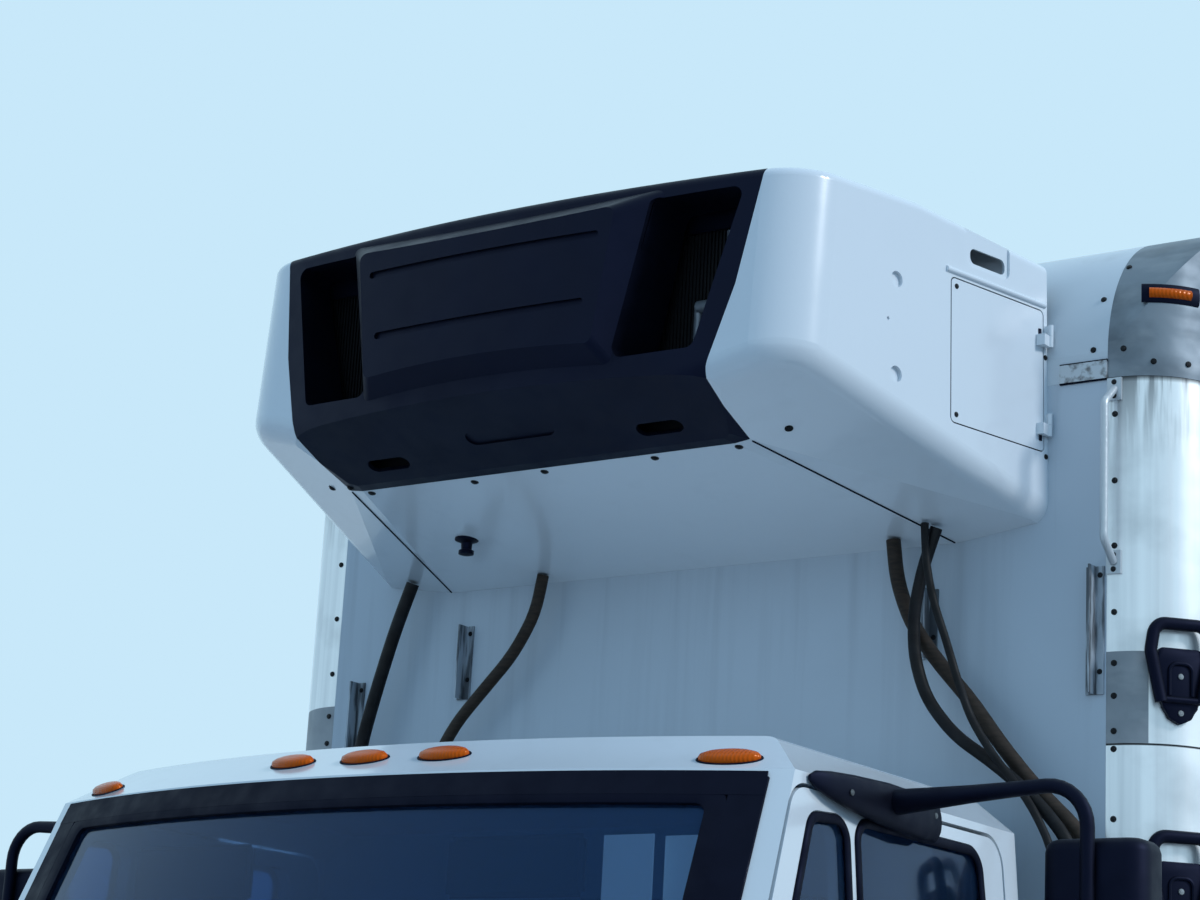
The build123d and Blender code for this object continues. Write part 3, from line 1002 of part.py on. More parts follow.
# corners of the lower skirt: crease front, crease back, seam front and seam back, as (across, from the wall, height)
CREASE_FRONT = Vector(745, WALL_Y - 735, 3260)
CREASE_BACK = Vector(943, WALL_Y, 3080)
SEAM_FRONT = Vector(558, WALL_Y - 623, 3155)
SEAM_BACK = Vector(730, WALL_Y, 3050)


def facet_plane(first, second, third, inset):
    """The plane through three corners, facing up and inwards, moved inwards by an inset."""
    normal = (second - first).cross(third - first).normalized()
    if normal.Z < 0:
        normal = normal * -1
    return Plane(origin=first + normal * inset, z_dir=normal)


def unit_form(inset):
    """The unit's outer form, moved inwards by an inset and open to the wall when it is."""
    through = 20.0 if inset else 0.0
    rise = Vector(0, FACE_LEAN, 1).normalized()
    lean = Plane(origin=(0, WALL_Y, CREASE_Z), x_dir=(1, 0, 0), z_dir=rise)
    with BuildPart() as form:
        with BuildSketch(lean):
            with BuildLine():
                back_half = UNIT_HALF + SIDE_FLARE
                Polyline((UNIT_SIDE_FRONT, -UNIT_SIDE_DEPTH), (back_half, SIDE_RUN_PAST), (-back_half, SIDE_RUN_PAST),
                         (-UNIT_SIDE_FRONT, -UNIT_SIDE_DEPTH))
                ThreePointArc((-UNIT_SIDE_FRONT, -UNIT_SIDE_DEPTH), (0, -UNIT_DEPTH), (UNIT_SIDE_FRONT, -UNIT_SIDE_DEPTH))
            outline = make_face()
            fillet(outline.vertices().group_by(Axis.Y)[0], UNIT_ROUND)
            if inset:
                offset(amount=-inset)
        extrude(amount=600, both=True)
        with BuildSketch(Plane.YZ.offset(-UNIT_HALF - 50)):
            with BuildLine():
                Polyline((WALL_Y + through, UNIT_TOP - 22 - inset), (WALL_Y - 420, UNIT_TOP + 8 - inset),
                         (WALL_Y - UNIT_DEPTH - 20, UNIT_TOP - 10 - inset),
                         (WALL_Y - UNIT_DEPTH - 20, CREASE_Z + 10 + inset), (WALL_Y - UNIT_DEPTH, CREASE_Z + inset),
                         (WALL_Y - SLOPE_BACK, SLOPE_Z + inset), (WALL_Y + through, UNIT_LOW_Z + inset), close=True)
            make_face()
        extrude(amount=2 * UNIT_HALF + 100, mode=Mode.INTERSECT)
        for first, second, third in ((CREASE_FRONT, CREASE_BACK, SEAM_FRONT), (CREASE_BACK, SEAM_BACK, SEAM_FRONT)):
            split(bisect_by=facet_plane(first, second, third, inset), keep=Keep.TOP)
            across = [Vector(-p.X, p.Y, p.Z) for p in (first, second, third)]
            split(bisect_by=facet_plane(*across, inset), keep=Keep.TOP)
    return form.part


def rounded_unit():
    """The unit's outer form with the creases above its skirt and its top rim rounded."""
    with BuildPart() as form:
        add(unit_form(0))
        creases = [e for e in form.edges() if on_crease(e.center(), CREASE_FRONT, CREASE_BACK)]
        fillet(creases, CREASE_ROUND)
        rim = [e for e in form.edges() if e.center().Z > UNIT_TOP - RIM_BAND and e.center().Y < WALL_Y - RIM_BAND]
        fillet([e for e in rim if abs(e.center().X) > RIM_SIDE_X or e.center().Y < WALL_Y - SLOPE_BACK], RIM_ROUND)
    return form.part


def on_crease(middle, front, back):
    """Whether a point lies close to the line between two corners on either side."""
    point = Vector(abs(middle.X), middle.Y, middle.Z)
    along = (back - front).normalized()
    offset_from = point - front
    return (offset_from - along * offset_from.dot(along)).length < CREASE_REACH and middle.Y < WALL_Y - RIM_BAND


def unit_side_x(y, z):
    """Half width of the unit's side wall at a place from the wall and a height."""
    slant = (UNIT_HALF + SIDE_FLARE - UNIT_SIDE_FRONT) / (UNIT_SIDE_DEPTH + SIDE_RUN_PAST)
    return UNIT_SIDE_FRONT + (UNIT_SIDE_DEPTH + y - FACE_LEAN * (z - CREASE_Z)) * slant


def side_plane(side, y, z):
    """A plane on the unit's side wall that faces outwards, its X along the wall towards the box."""
    slant = (UNIT_HALF + SIDE_FLARE - UNIT_SIDE_FRONT) / (UNIT_SIDE_DEPTH + SIDE_RUN_PAST)
    outward = Vector(side, -slant, FACE_LEAN * slant).normalized()
    return Plane(origin=(side * unit_side_x(y, z), WALL_Y + y, z), x_dir=(side * slant, 1, 0), z_dir=outward)


def unit_zones(grow):
    """The stretches of the unit that the grille, the top and the bottom panel take, grown by a gap."""
    with BuildPart() as front_zone:
        with BuildSketch(Plane.XZ.offset(-(WALL_Y - 950))):
            with BuildLine():
                Polyline((558, 3000), (558, 3155), (571, CREASE_Z), (624, 3440), (672, 3712), (672, 3800), (-672, 3800), (-672, 3712), (-624, 3440),
                         (-571, CREASE_Z), (-558, 3155), (-558, 3000), close=True)
            make_face()
            if grow:
                offset(amount=grow, kind=Kind.INTERSECTION)
        extrude(amount=-400)
        with BuildSketch(Plane.YZ.offset(-700)):
            with BuildLine():
                Polyline((WALL_Y - 960, 2990), (WALL_Y - 960, 3810), (WALL_Y - 742 + grow, 3810), (WALL_Y - 742 + grow, 3300),
                         (WALL_Y - 625 + grow, 3180), (WALL_Y - 625 + grow, 2990), close=True)
            make_face()
        extrude(amount=1400, mode=Mode.INTERSECT)
    with BuildPart() as top_zone:
        block((-672 - grow, WALL_Y - 742 + PANEL_GAP - grow, 3600), (672 + grow, WALL_Y + 50, 3800))
    with BuildPart() as bottom_zone:
        with BuildSketch(Plane.XY.offset(2990)):
            with BuildLine():
                Polyline((558, WALL_Y - 625 + PANEL_GAP), (730, WALL_Y), (744, WALL_Y + 50), (-744, WALL_Y + 50), (-730, WALL_Y),
                         (-558, WALL_Y - 625 + PANEL_GAP), close=True)
            make_face()
            if grow:
                offset(amount=grow, kind=Kind.INTERSECTION)
        extrude(amount=250)
    return front_zone.part, top_zone.part, bottom_zone.part


ACCESS_OUTLINE = [(-322.0, 3236.0), (-322.0, 3573.0), (-12.0, 3573.0), (-12.0, 3236.0)]
ACCESS_GAP = 3.0
# columns: place from the wall, height, radius, depth
SIDE_HOLES = [(-492.0, 3518.0, 18.0, 9.0), (-492.0, 3303.0, 18.0, 9.0), (-518.0, 3422.0, 4.0, 6.0)]
SCOOP_MIDDLE = (-200.0, 3668.0)
SCOOP_LENGTH = 150.0
SCOOP_HEIGHT = 112.0
SCOOP_CORNER = 22.0
SCOOP_DEPTH = 6.0
SLOT_MIDDLE = (-195.0, 3642.0)
SLOT_LENGTH = 118.0
SLOT_HEIGHT = 36.0
SLOT_CORNER = 15.0
SLOT_DEPTH = 40.0
BEAD_Z = 3586.0
BEAD_SPAN = (-336.0, -8.0)
BEAD_RADIUS = 7.0
ACCESS_PIN_X = UNIT_HALF + 9.0
ACCESS_PIN_Y = WALL_Y - 9.0
ACCESS_BARREL = 6.0
ACCESS_BARREL_HEIGHT = 26.0
ACCESS_HINGES = [3300.0, 3510.0]
UNIT_OUTER = rounded_unit()
UNIT_SHELL = UNIT_OUTER - unit_form(UNIT_WALL)
with BuildPart() as unit_room:
    block((-FAR, WALL_Y - 2000, 2900), (FAR, WALL_Y - SEAT_GAP, 3900))
UNIT_SHELL = UNIT_SHELL & unit_room.part
FRONT_ZONE, TOP_ZONE, BOTTOM_ZONE = unit_zones(0)
FRONT_GROWN, TOP_GROWN, BOTTOM_GROWN = unit_zones(PANEL_GAP)

with BuildPart() as unit_sides:
    add(UNIT_SHELL)
    for zone in (FRONT_GROWN, TOP_GROWN, BOTTOM_GROWN):
        add(zone, mode=Mode.SUBTRACT)
    add(side_prism(ACCESS_OUTLINE, 14, 0, 800, 1000), mode=Mode.SUBTRACT)
    add(side_prism(ACCESS_OUTLINE, 14, 0, -1000, -800), mode=Mode.SUBTRACT)
    for side in (-1, 1):
        for y, z, radius, depth in SIDE_HOLES:
            with BuildSketch(side_plane(side, y, z)):
                Circle(radius)
            extrude(amount=depth, both=True, mode=Mode.SUBTRACT)
        with BuildSketch(side_plane(side, *SCOOP_MIDDLE)):
            RectangleRounded(SCOOP_LENGTH, SCOOP_HEIGHT, SCOOP_CORNER)
        extrude(amount=SCOOP_DEPTH, both=True, mode=Mode.SUBTRACT)
        with BuildSketch(side_plane(side, *SLOT_MIDDLE)):
            RectangleRounded(SLOT_LENGTH, SLOT_HEIGHT, SLOT_CORNER)
        extrude(amount=SLOT_DEPTH, both=True, mode=Mode.SUBTRACT)
        bead_ends = [Vector(side * unit_side_x(y, BEAD_Z), WALL_Y + y, BEAD_Z) for y in BEAD_SPAN]
        with BuildLine() as bead_line:
            Line(*bead_ends)
        with BuildSketch(Plane(origin=bead_ends[0], z_dir=bead_ends[1] - bead_ends[0])):
            Circle(BEAD_RADIUS)
        sweep(path=bead_line.line)
    for side in (-1, 1):
        leaf_x = sorted((side * (UNIT_HALF - UNIT_WALL), side * ACCESS_PIN_X))
        for hinge_z in ACCESS_HINGES:
            barrel_low = hinge_z + RUNNING_GAP
            block((leaf_x[0], ACCESS_PIN_Y, barrel_low), (leaf_x[1], WALL_Y - SEAT_GAP, barrel_low + ACCESS_BARREL_HEIGHT))
            with Locations((side * ACCESS_PIN_X, ACCESS_PIN_Y, barrel_low + ACCESS_BARREL_HEIGHT / 2)):
                Cylinder(ACCESS_BARREL, ACCESS_BARREL_HEIGHT)
save(unit_sides.part, "unit_sides")

for side, end in ((1, "left"), (-1, "right")):
    near, far = sorted((side * 800, side * 1000))
    with BuildPart() as access_door:
        add(UNIT_SHELL & side_prism(ACCESS_OUTLINE, 14, -ACCESS_GAP, near, far))
        root_x = sorted((side * (UNIT_HALF - UNIT_WALL), side * ACCESS_PIN_X))
        leaf_x = sorted((side * UNIT_HALF, side * ACCESS_PIN_X))
        for hinge_z in ACCESS_HINGES:
            leaf_low = hinge_z - ACCESS_BARREL_HEIGHT
            block((root_x[0], ACCESS_PIN_Y - 30, leaf_low), (root_x[1], ACCESS_PIN_Y - 10, hinge_z))
            block((leaf_x[0], ACCESS_PIN_Y - 30, leaf_low), (leaf_x[1], ACCESS_PIN_Y, hinge_z))
            with Locations((side * ACCESS_PIN_X, ACCESS_PIN_Y, hinge_z - ACCESS_BARREL_HEIGHT / 2)):
                Cylinder(ACCESS_BARREL, ACCESS_BARREL_HEIGHT)
    save(access_door.part, f"unit_door_{end}")

FAN_X = 330.0
FAN_Y = WALL_Y - 340.0

# Grille of the unit: a moulding with two raked intake ducts, a proud panel between them and slots in its chin
INTAKE_OUTLINE = [(416.0, 3662.0), (628.0, 3668.0), (536.0, 3306.0), (340.0, 3300.0)]
INTAKE_CORNER = 22.0
DUCT_WALL = 5.0
DUCT_LAP = 3.0
DUCT_BACK = 690.0
PANEL_FACE = 905.0
PANEL_WALL = 11.0
PANEL_CORNER = 26.0
PANEL_BOW = UNIT_DEPTH - UNIT_SIDE_DEPTH
PANEL_FLOOR_Z = 3100.0
# columns: depth from the wall, half width and height of the top edge, half width and height of the bottom edge
PANEL_SECTIONS = [(919.0, 325.0, 3615.0, 297.0, 3355.0), (800.0, 460.0, 3695.0, 377.0, 3227.0)]
PANEL_HOLLOW = [(398.0, 3655.0), (322.0, 3265.0), (-322.0, 3265.0), (-398.0, 3655.0)]
# columns: half length, height of the middle
GROOVES = [(320.0, 3575.0), (290.0, 3425.0)]
GROOVE_HEIGHT = 16.0
GROOVE_DEPTH = 8.0
# columns: across, height, length, width, depth
CHIN_SLOTS = [(-378.0, 3180.0, 118.0, 40.0, 30.0), (378.0, 3180.0, 118.0, 40.0, 30.0), (0.0, 3200.0, 240.0, 44.0, 5.0)]


def bowed_room(depth):
    """The room behind a bowed upright sheet that lies a depth ahead of the wall at its middle."""
    with BuildPart() as room:
        with BuildSketch(Plane.XY.offset(PANEL_FLOOR_Z)):
            with BuildLine():
                end_y = WALL_Y - depth + PANEL_BOW
                back_y = WALL_Y - DUCT_BACK
                Polyline((UNIT_SIDE_FRONT, end_y), (UNIT_SIDE_FRONT, back_y), (-UNIT_SIDE_FRONT, back_y), (-UNIT_SIDE_FRONT, end_y))
                ThreePointArc((-UNIT_SIDE_FRONT, end_y), (0, WALL_Y - depth), (UNIT_SIDE_FRONT, end_y))
            make_face()
        extrude(amount=UNIT_TOP - PANEL_FLOOR_Z)
    return room.part


def raised_panel(inset):
    """The grille's proud panel as one solid, moved inwards by an inset."""
    with BuildPart() as panel:
        for depth, top_half, top_z, low_half, low_z in PANEL_SECTIONS:
            with BuildSketch(Plane.XZ.offset(depth - WALL_Y)):
                with BuildLine():
                    Polyline((top_half, top_z), (low_half, low_z), (-low_half, low_z), (-top_half, top_z), close=True)
                make_face()
                if inset:
                    offset(amount=-inset, kind=Kind.INTERSECTION)
        loft(ruled=True)
        across = [e for e in panel.edges() if abs((e @ 0).Y - (e @ 1).Y) > PANEL_BOW / 2]
        fillet(across, PANEL_CORNER - inset)
        add(bowed_room(PANEL_FACE - inset), mode=Mode.INTERSECT)
    return panel.part


def duct_walls(side):
    """A thin duct round an intake, from the grille's back to the coil."""
    outline = [(side * x, z) for x, z in INTAKE_OUTLINE]
    near_y, far_y = WALL_Y - UNIT_DEPTH, WALL_Y - DUCT_BACK
    ring = front_prism(outline, INTAKE_CORNER, DUCT_WALL, near_y, far_y) - front_prism(outline, INTAKE_CORNER, 0, near_y, far_y)
    return ring & unit_form(UNIT_WALL - DUCT_LAP)


UNIT_HOLLOW = unit_form(UNIT_WALL)
with BuildPart() as unit_grille:
    add(UNIT_SHELL & FRONT_ZONE)
    panel_hollow = front_prism(PANEL_HOLLOW, INTAKE_CORNER, 0, WALL_Y - PANEL_FACE, WALL_Y - DUCT_BACK)
    add(raised_panel(PANEL_WALL) & panel_hollow, mode=Mode.SUBTRACT)
    add(raised_panel(0) - raised_panel(PANEL_WALL) - UNIT_HOLLOW)
    for side in (-1, 1):
        outline = [(side * x, z) for x, z in INTAKE_OUTLINE]
        add(front_prism(outline, INTAKE_CORNER, 0, WALL_Y - 950, WALL_Y - 760), mode=Mode.SUBTRACT)
        add(duct_walls(side))
    for half, z in GROOVES:
        with BuildPart(mode=Mode.PRIVATE) as groove:
            with BuildSketch(Plane.XZ.offset(PANEL_SECTIONS[0][0] - WALL_Y)):
                with Locations((0, z)):
                    SlotOverall(2 * half, GROOVE_HEIGHT)
            extrude(amount=-DUCT_BACK / 4)
            add(bowed_room(PANEL_FACE - GROOVE_DEPTH), mode=Mode.SUBTRACT)
        add(groove.part, mode=Mode.SUBTRACT)
    chin_rise = Vector(0, UNIT_DEPTH - SLOPE_BACK, SLOPE_Z - CREASE_Z).normalized()
    for across, z, length, width, depth in CHIN_SLOTS:
        chin_y = WALL_Y - SLOPE_BACK - (z - SLOPE_Z) * (UNIT_DEPTH - SLOPE_BACK) / (CREASE_Z - SLOPE_Z)
        with BuildSketch(Plane(origin=(across, chin_y, z), x_dir=(1, 0, 0), z_dir=(0, chin_rise.Z, -chin_rise.Y))):
            SlotOverall(length, width)
        extrude(amount=depth, both=True, mode=Mode.SUBTRACT)
save(unit_grille.part, "unit_grille")

with BuildPart() as unit_top:
    add(UNIT_SHELL & TOP_ZONE)
    for side in (-1, 1):
        with Locations((side * FAN_X, FAN_Y, UNIT_TOP)):
            Cylinder(230, 200, mode=Mode.SUBTRACT)
save(unit_top.part, "unit_top")

with BuildPart() as unit_bottom:
    add(UNIT_SHELL & BOTTOM_ZONE)
save(unit_bottom.part, "unit_bottom")

# Inside the unit: back plate on the wall, tray, condenser coil behind the intakes with its pipes, and two fan rings
# columns: one end and the other as (across, from the wall, height), radius
CORE_PIPES = [
    ((520.0, -668.0, 3420.0), (520.0, -668.0, 3620.0), 13.0), ((440.0, -670.0, 3455.0), (600.0, -670.0, 3455.0), 15.0),
    ((520.0, -670.0, 3448.0), (520.0, -670.0, 3470.0), 24.0), ((440.0, -668.0, 3330.0), (440.0, -668.0, 3460.0), 10.0),
]
with BuildPart() as unit_core:
    block((-920, WALL_Y - 40, 3150), (920, WALL_Y - SEAT_GAP, 3640))
    block((-700, WALL_Y - 620, 3190), (700, WALL_Y - 40, 3205))
    block((-660, WALL_Y - 660, 3190), (660, WALL_Y - 590, 3640))
    for side in (-1, 1):
        with Locations((side * FAN_X, FAN_Y, 3610)):
            Cylinder(215, 60)
            Cylinder(200, 70, mode=Mode.SUBTRACT)
            Cylinder(60, 60)
        for turn in range(5):
            with Locations(Location((side * FAN_X, FAN_Y, 3610), (0, 0, turn * 72)) * Pos(130, 0)):
                Box(150, 60, 6)
        block((side * FAN_X - 20, WALL_Y - 60, 3585), (side * FAN_X + 20, WALL_Y - 38, 3635))
        block((side * FAN_X - 20, WALL_Y - 140, 3590), (side * FAN_X + 20, WALL_Y - 38, 3605))
    for low, high, radius in CORE_PIPES:
        with BuildLine() as pipe_line:
            Line(Vector(low[0], WALL_Y + low[1], low[2]), Vector(high[0], WALL_Y + high[1], high[2]))
        with BuildSketch(Plane(origin=pipe_line.line @ 0, z_dir=pipe_line.line % 0)):
            Circle(radius)
        sweep(path=pipe_line.line)
    add(unit_form(UNIT_WALL + SEAT_GAP), mode=Mode.INTERSECT)
save(unit_core.part, "unit_core")

# Hoses from the unit down the front wall and behind the cab to the frame, held by wall brackets
HOSE_END_Z = FRAME_TOP + SEAT_GAP
# columns: radius, points as (across, from the wall, height)
HOSES = [
    (17.0, [(-815, -60, 3069), (-860, -62, 2950), (-905, -64, 2800), (-948, -64, 2640), (-960, -62, 2480),
            (-950, -60, 2310), (-930, -60, 2140), (-905, -60, 1970), (-860, -62, 1800), (-790, -64, 1640),
            (-710, -66, 1490), (-610, -68, 1350), (-520, -70, 1220), (-440, -72, 1120), (-414, -72, 1050), (-414, -72, HOSE_END_Z)]),
    (15.0, [(-396, -60, 3056), (-412, -62, 2960), (-470, -64, 2860), (-560, -66, 2770), (-640, -66, 2690),
            (-700, -64, 2590), (-725, -62, 2460), (-720, -62, 2310), (-690, -62, 2160), (-640, -64, 2020),
            (-580, -66, 1880), (-510, -68, 1740), (-450, -70, 1590), (-408, -72, 1440), (-386, -72, 1280),
            (-372, -72, 1130), (-370, -72, 1060), (-370, -72, HOSE_END_Z)]),
    (17.0, [(600, -62, 3055), (612, -62, 2960), (650, -62, 2860), (720, -62, 2765), (806, -62, 2672),
            (884, -62, 2566), (975, -62, 2462), (1072, -62, 2372), (1126, -62, 2270), (1138, -62, 2140),
            (1110, -62, 2000), (1050, -62, 1860), (970, -62, 1720), (870, -62, 1590), (744, -64, 1474),
            (626, -66, 1350), (522, -68, 1236), (436, -70, 1130), (408, -70, 1060), (408, -70, HOSE_END_Z)]),
    (14.0, [(733, -104, 3062), (700, -104, 2970), (680, -104, 2870), (684, -104, 2770), (716, -104, 2676),
            (786, -104, 2590), (890, -104, 2520), (990, -104, 2438), (1072, -104, 2340), (1100, -104, 2210),
            (1080, -104, 2070), (1030, -104, 1920), (950, -104, 1780), (850, -104, 1650), (730, -104, 1520),
            (610, -104, 1400), (500, -104, 1280), (416, -104, 1150), (394, -104, 1070), (394, -104, HOSE_END_Z)]),
    (9.0, [(717, -130, 3068.5), (722, -130, 2980), (742, -130, 2890), (776, -130, 2800), (806, -130, 2710),
           (840, -130, 2620), (900, -130, 2530), (980, -130, 2440), (1040, -130, 2330), (1060, -130, 2200),
           (1040, -130, 2060), (990, -130, 1920), (910, -130, 1780), (810, -130, 1650), (690, -130, 1520),
           (574, -130, 1404), (470, -130, 1280), (386, -130, 1150), (370, -130, 1070), (370, -130, HOSE_END_Z)]),
]
lines = []
for radius, points in HOSES:
    lines.append(hose_along([(x, WALL_Y + y, z) for x, y, z in points], radius))
save(Compound(children=lines), "hoses")

# Fittings on the front wall: perforated strips that hold the hoses, and a grab handle beside the unit
STRIP_DEPTH = 38.0
HANDLE_X = 1118.0
HANDLE_OUT = 55.0
HANDLE_LOW_Z = 2972.0
HANDLE_HIGH_Z = 3368.0
HANDLE_SLANT = 42.0
PLATE_HALF_WIDTH = 17.0
PLATE_HALF_HEIGHT = 26.0
PLATE_DEPTH = 5.0
FRONT_RAIL_INNER_X = 985.0
FRONT_RAIL_DEPTH = 6.0
FRONT_RAIL_HEIGHT = 42.0
# columns: across, lower end, upper end
STRIPS = [(1075.0, 2680.0, 2965.0), (666.0, 2784.0, 2946.0), (-670.0, 2767.0, 2956.0), (-1020.0, 2560.0, 2830.0)]
handle_route = [
    (HANDLE_X, WALL_Y - PLATE_DEPTH + 1, HANDLE_LOW_Z), (HANDLE_X, WALL_Y - HANDLE_OUT, HANDLE_LOW_Z + HANDLE_SLANT),
    (HANDLE_X, WALL_Y - HANDLE_OUT, HANDLE_HIGH_Z - HANDLE_SLANT), (HANDLE_X, WALL_Y - PLATE_DEPTH + 1, HANDLE_HIGH_Z),
]
HANDLE = tube_along(handle_route, 9, 22)
BOX_OUTER_GROWN = box_form(-SEAT_GAP)
with BuildPart() as wall_fittings:
    for across, low_z, high_z in STRIPS:
        block((across - 21, WALL_Y - 5, low_z), (across + 21, WALL_Y - SEAT_GAP, high_z))
        block((across - 2, WALL_Y - STRIP_DEPTH, low_z), (across + 2, WALL_Y - SEAT_GAP, high_z))
    add(HANDLE)
    for plate_z in (HANDLE_LOW_Z, HANDLE_HIGH_Z):
        block((HANDLE_X - PLATE_HALF_WIDTH, WALL_Y - PLATE_DEPTH, plate_z - PLATE_HALF_HEIGHT),
              (HANDLE_X + PLATE_HALF_WIDTH, WALL_Y + 10, plate_z + PLATE_HALF_HEIGHT))
    add(BOX_OUTER_GROWN, mode=Mode.SUBTRACT)
    for side in (-1, 1):
        rail_x = sorted((side * FRONT_RAIL_INNER_X, side * SEAM_X))
        block((rail_x[0], WALL_Y - FRONT_RAIL_DEPTH, RAIL_LINE), (rail_x[1], WALL_Y - SEAT_GAP, RAIL_LINE + FRONT_RAIL_HEIGHT))
save(wall_fittings.part, "wall_fittings")

# Folding steps on the left front corner: a D-shaped tread folded up against a curved base plate
STEP_HEIGHTS = [2160.0, 2620.0]
STEP_TURN = 46.0
STEP_BASE = [(-40.0, 96.0), (40.0, 96.0), (40.0, 30.0), (24.0, 8.0), (0.0, -4.0), (-24.0, 8.0), (-40.0, 30.0)]
STEP_BASE_DEPTH = 12.0
STEP_LOOP = [(-46.0, 48.0), (-70.0, 150.0), (-60.0, 212.0), (60.0, 212.0), (70.0, 150.0), (46.0, 48.0)]
STEP_LOOP_OUT = 18.0
STEP_BAR = 11.0
CORNER_MIDDLE = Vector(BOX_HALF - BOX_CORNER, WALL_Y + BOX_CORNER, 0)
turn = math.radians(STEP_TURN)
STEP_OUTWARD = Vector(math.sin(turn), -math.cos(turn), 0)
STEP_ACROSS = Vector(math.cos(turn), math.sin(turn), 0)
with BuildPart() as corner_steps:
    for step_z in STEP_HEIGHTS:
        foot = CORNER_MIDDLE + STEP_OUTWARD * BOX_CORNER + Vector(0, 0, step_z)
        with BuildSketch(Plane(origin=foot, x_dir=STEP_ACROSS, z_dir=STEP_OUTWARD)):
            with BuildLine():
                Polyline(*STEP_BASE, close=True)
            make_face()
        extrude(amount=STEP_BASE_DEPTH)
        loop_points = [foot + STEP_ACROSS * u + STEP_OUTWARD * STEP_LOOP_OUT + Vector(0, 0, v) for u, v in STEP_LOOP]
        add(tube_along(loop_points, STEP_BAR, 30))
    add(BOX_OUTER_GROWN, mode=Mode.SUBTRACT)
save(corner_steps.part, "corner_steps")

# Marker lamps on the cab's forehead
LAMP_PLACES = [(-200.0, -1160.0, 2405.0), (0.0, -1166.0, 2405.0), (200.0, -1160.0, 2405.0), (820.0, -1105.0, 2385.0), (-820.0, -1105.0, 2385.0)]
with BuildPart() as marker_lamps:
    for x, y, z in LAMP_PLACES:
        with Locations((x, WALL_Y + y, z)):
            Sphere(30)
    add(cab_form(-16) - cab_form(-SEAT_GAP), mode=Mode.INTERSECT)
save(marker_lamps.part, "marker_lamps")
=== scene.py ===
"""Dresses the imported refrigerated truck: finishes, trim, fasteners, tyre tread, studio and camera.

Metres, in the frame of the CAD model: +Z up, the truck faces -Y and its left side is +X.
"""

import bpy
import bmesh
import json
import logging
import math
from collections.abc import Sequence
from dataclasses import dataclass
from enum import Enum
from mathutils import Matrix, Vector
from mathutils.bvhtree import BVHTree

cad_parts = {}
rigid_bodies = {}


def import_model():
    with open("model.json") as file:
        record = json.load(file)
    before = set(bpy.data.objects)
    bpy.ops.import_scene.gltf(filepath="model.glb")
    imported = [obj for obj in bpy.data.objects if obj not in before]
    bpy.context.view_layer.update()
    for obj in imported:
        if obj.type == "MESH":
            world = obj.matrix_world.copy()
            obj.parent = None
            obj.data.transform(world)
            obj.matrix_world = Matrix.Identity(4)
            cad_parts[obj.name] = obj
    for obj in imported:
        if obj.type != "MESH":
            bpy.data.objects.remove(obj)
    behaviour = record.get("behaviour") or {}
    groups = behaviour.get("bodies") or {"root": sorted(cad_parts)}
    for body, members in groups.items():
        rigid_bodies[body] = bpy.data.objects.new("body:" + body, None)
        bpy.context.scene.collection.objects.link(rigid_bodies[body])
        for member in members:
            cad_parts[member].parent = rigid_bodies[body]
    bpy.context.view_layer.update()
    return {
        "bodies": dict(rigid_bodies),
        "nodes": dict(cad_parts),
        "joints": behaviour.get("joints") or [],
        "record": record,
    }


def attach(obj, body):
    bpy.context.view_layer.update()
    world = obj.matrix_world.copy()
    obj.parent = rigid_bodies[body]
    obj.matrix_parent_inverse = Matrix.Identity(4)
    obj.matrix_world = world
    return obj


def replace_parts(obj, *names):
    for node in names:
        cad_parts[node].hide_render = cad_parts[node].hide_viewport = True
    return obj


LOG = logging.getLogger("truck")
# the outer face of the box's front wall, from which the CAD source counts
WALL_Y = -2.089
SIDES = ((1, "left"), (-1, "right"))
AHEAD = Vector((0, -1, 0))
Mask = bpy.types.NodeSocket
# a place and the direction that its face looks in
Spot = tuple[Vector, Vector]
# a closed outline, an open line or a section, as pairs
Outline = Sequence[tuple[float, float]]
# how many points round an outline's corner
ARC_POINTS = 9
# smooth pieces keep edges that turn by more than this sharp
SHARP_DEG = 40.0


def linear(colour: str) -> tuple[float, float, float, float]:
    """Turns an sRGB hex colour into linear RGBA.

    Args:
        colour: six hex digits after a hash.

    Returns:
        The four linear channels.
    """
    parts = [int(colour[i : i + 2], 16) / 255 for i in (1, 3, 5)]
    return tuple(c / 12.92 if c <= 0.04045 else ((c + 0.055) / 1.055) ** 2.4 for c in parts) + (1.0,)


class Graph:
    """A node tree that takes one call per node."""

    def __init__(self, tree: bpy.types.NodeTree) -> None:
        """Takes the tree.

        Args:
            tree: the node tree to fill.
        """
        self.tree = tree

    def add(self, kind: str, settings: dict | None = None, inputs: dict | None = None) -> bpy.types.Node:
        """Adds a node.

        Args:
            kind: the node's type.
            settings: its properties.
            inputs: by socket name or number, a value or the output that feeds it.

        Returns:
            The node.
        """
        node = self.tree.nodes.new(kind)
        for name, value in (settings or {}).items():
            setattr(node, name, value)
        for key, value in (inputs or {}).items():
            if isinstance(value, bpy.types.NodeSocket):
                self.tree.links.new(value, node.inputs[key])
            else:
                node.inputs[key].default_value = value
        return node


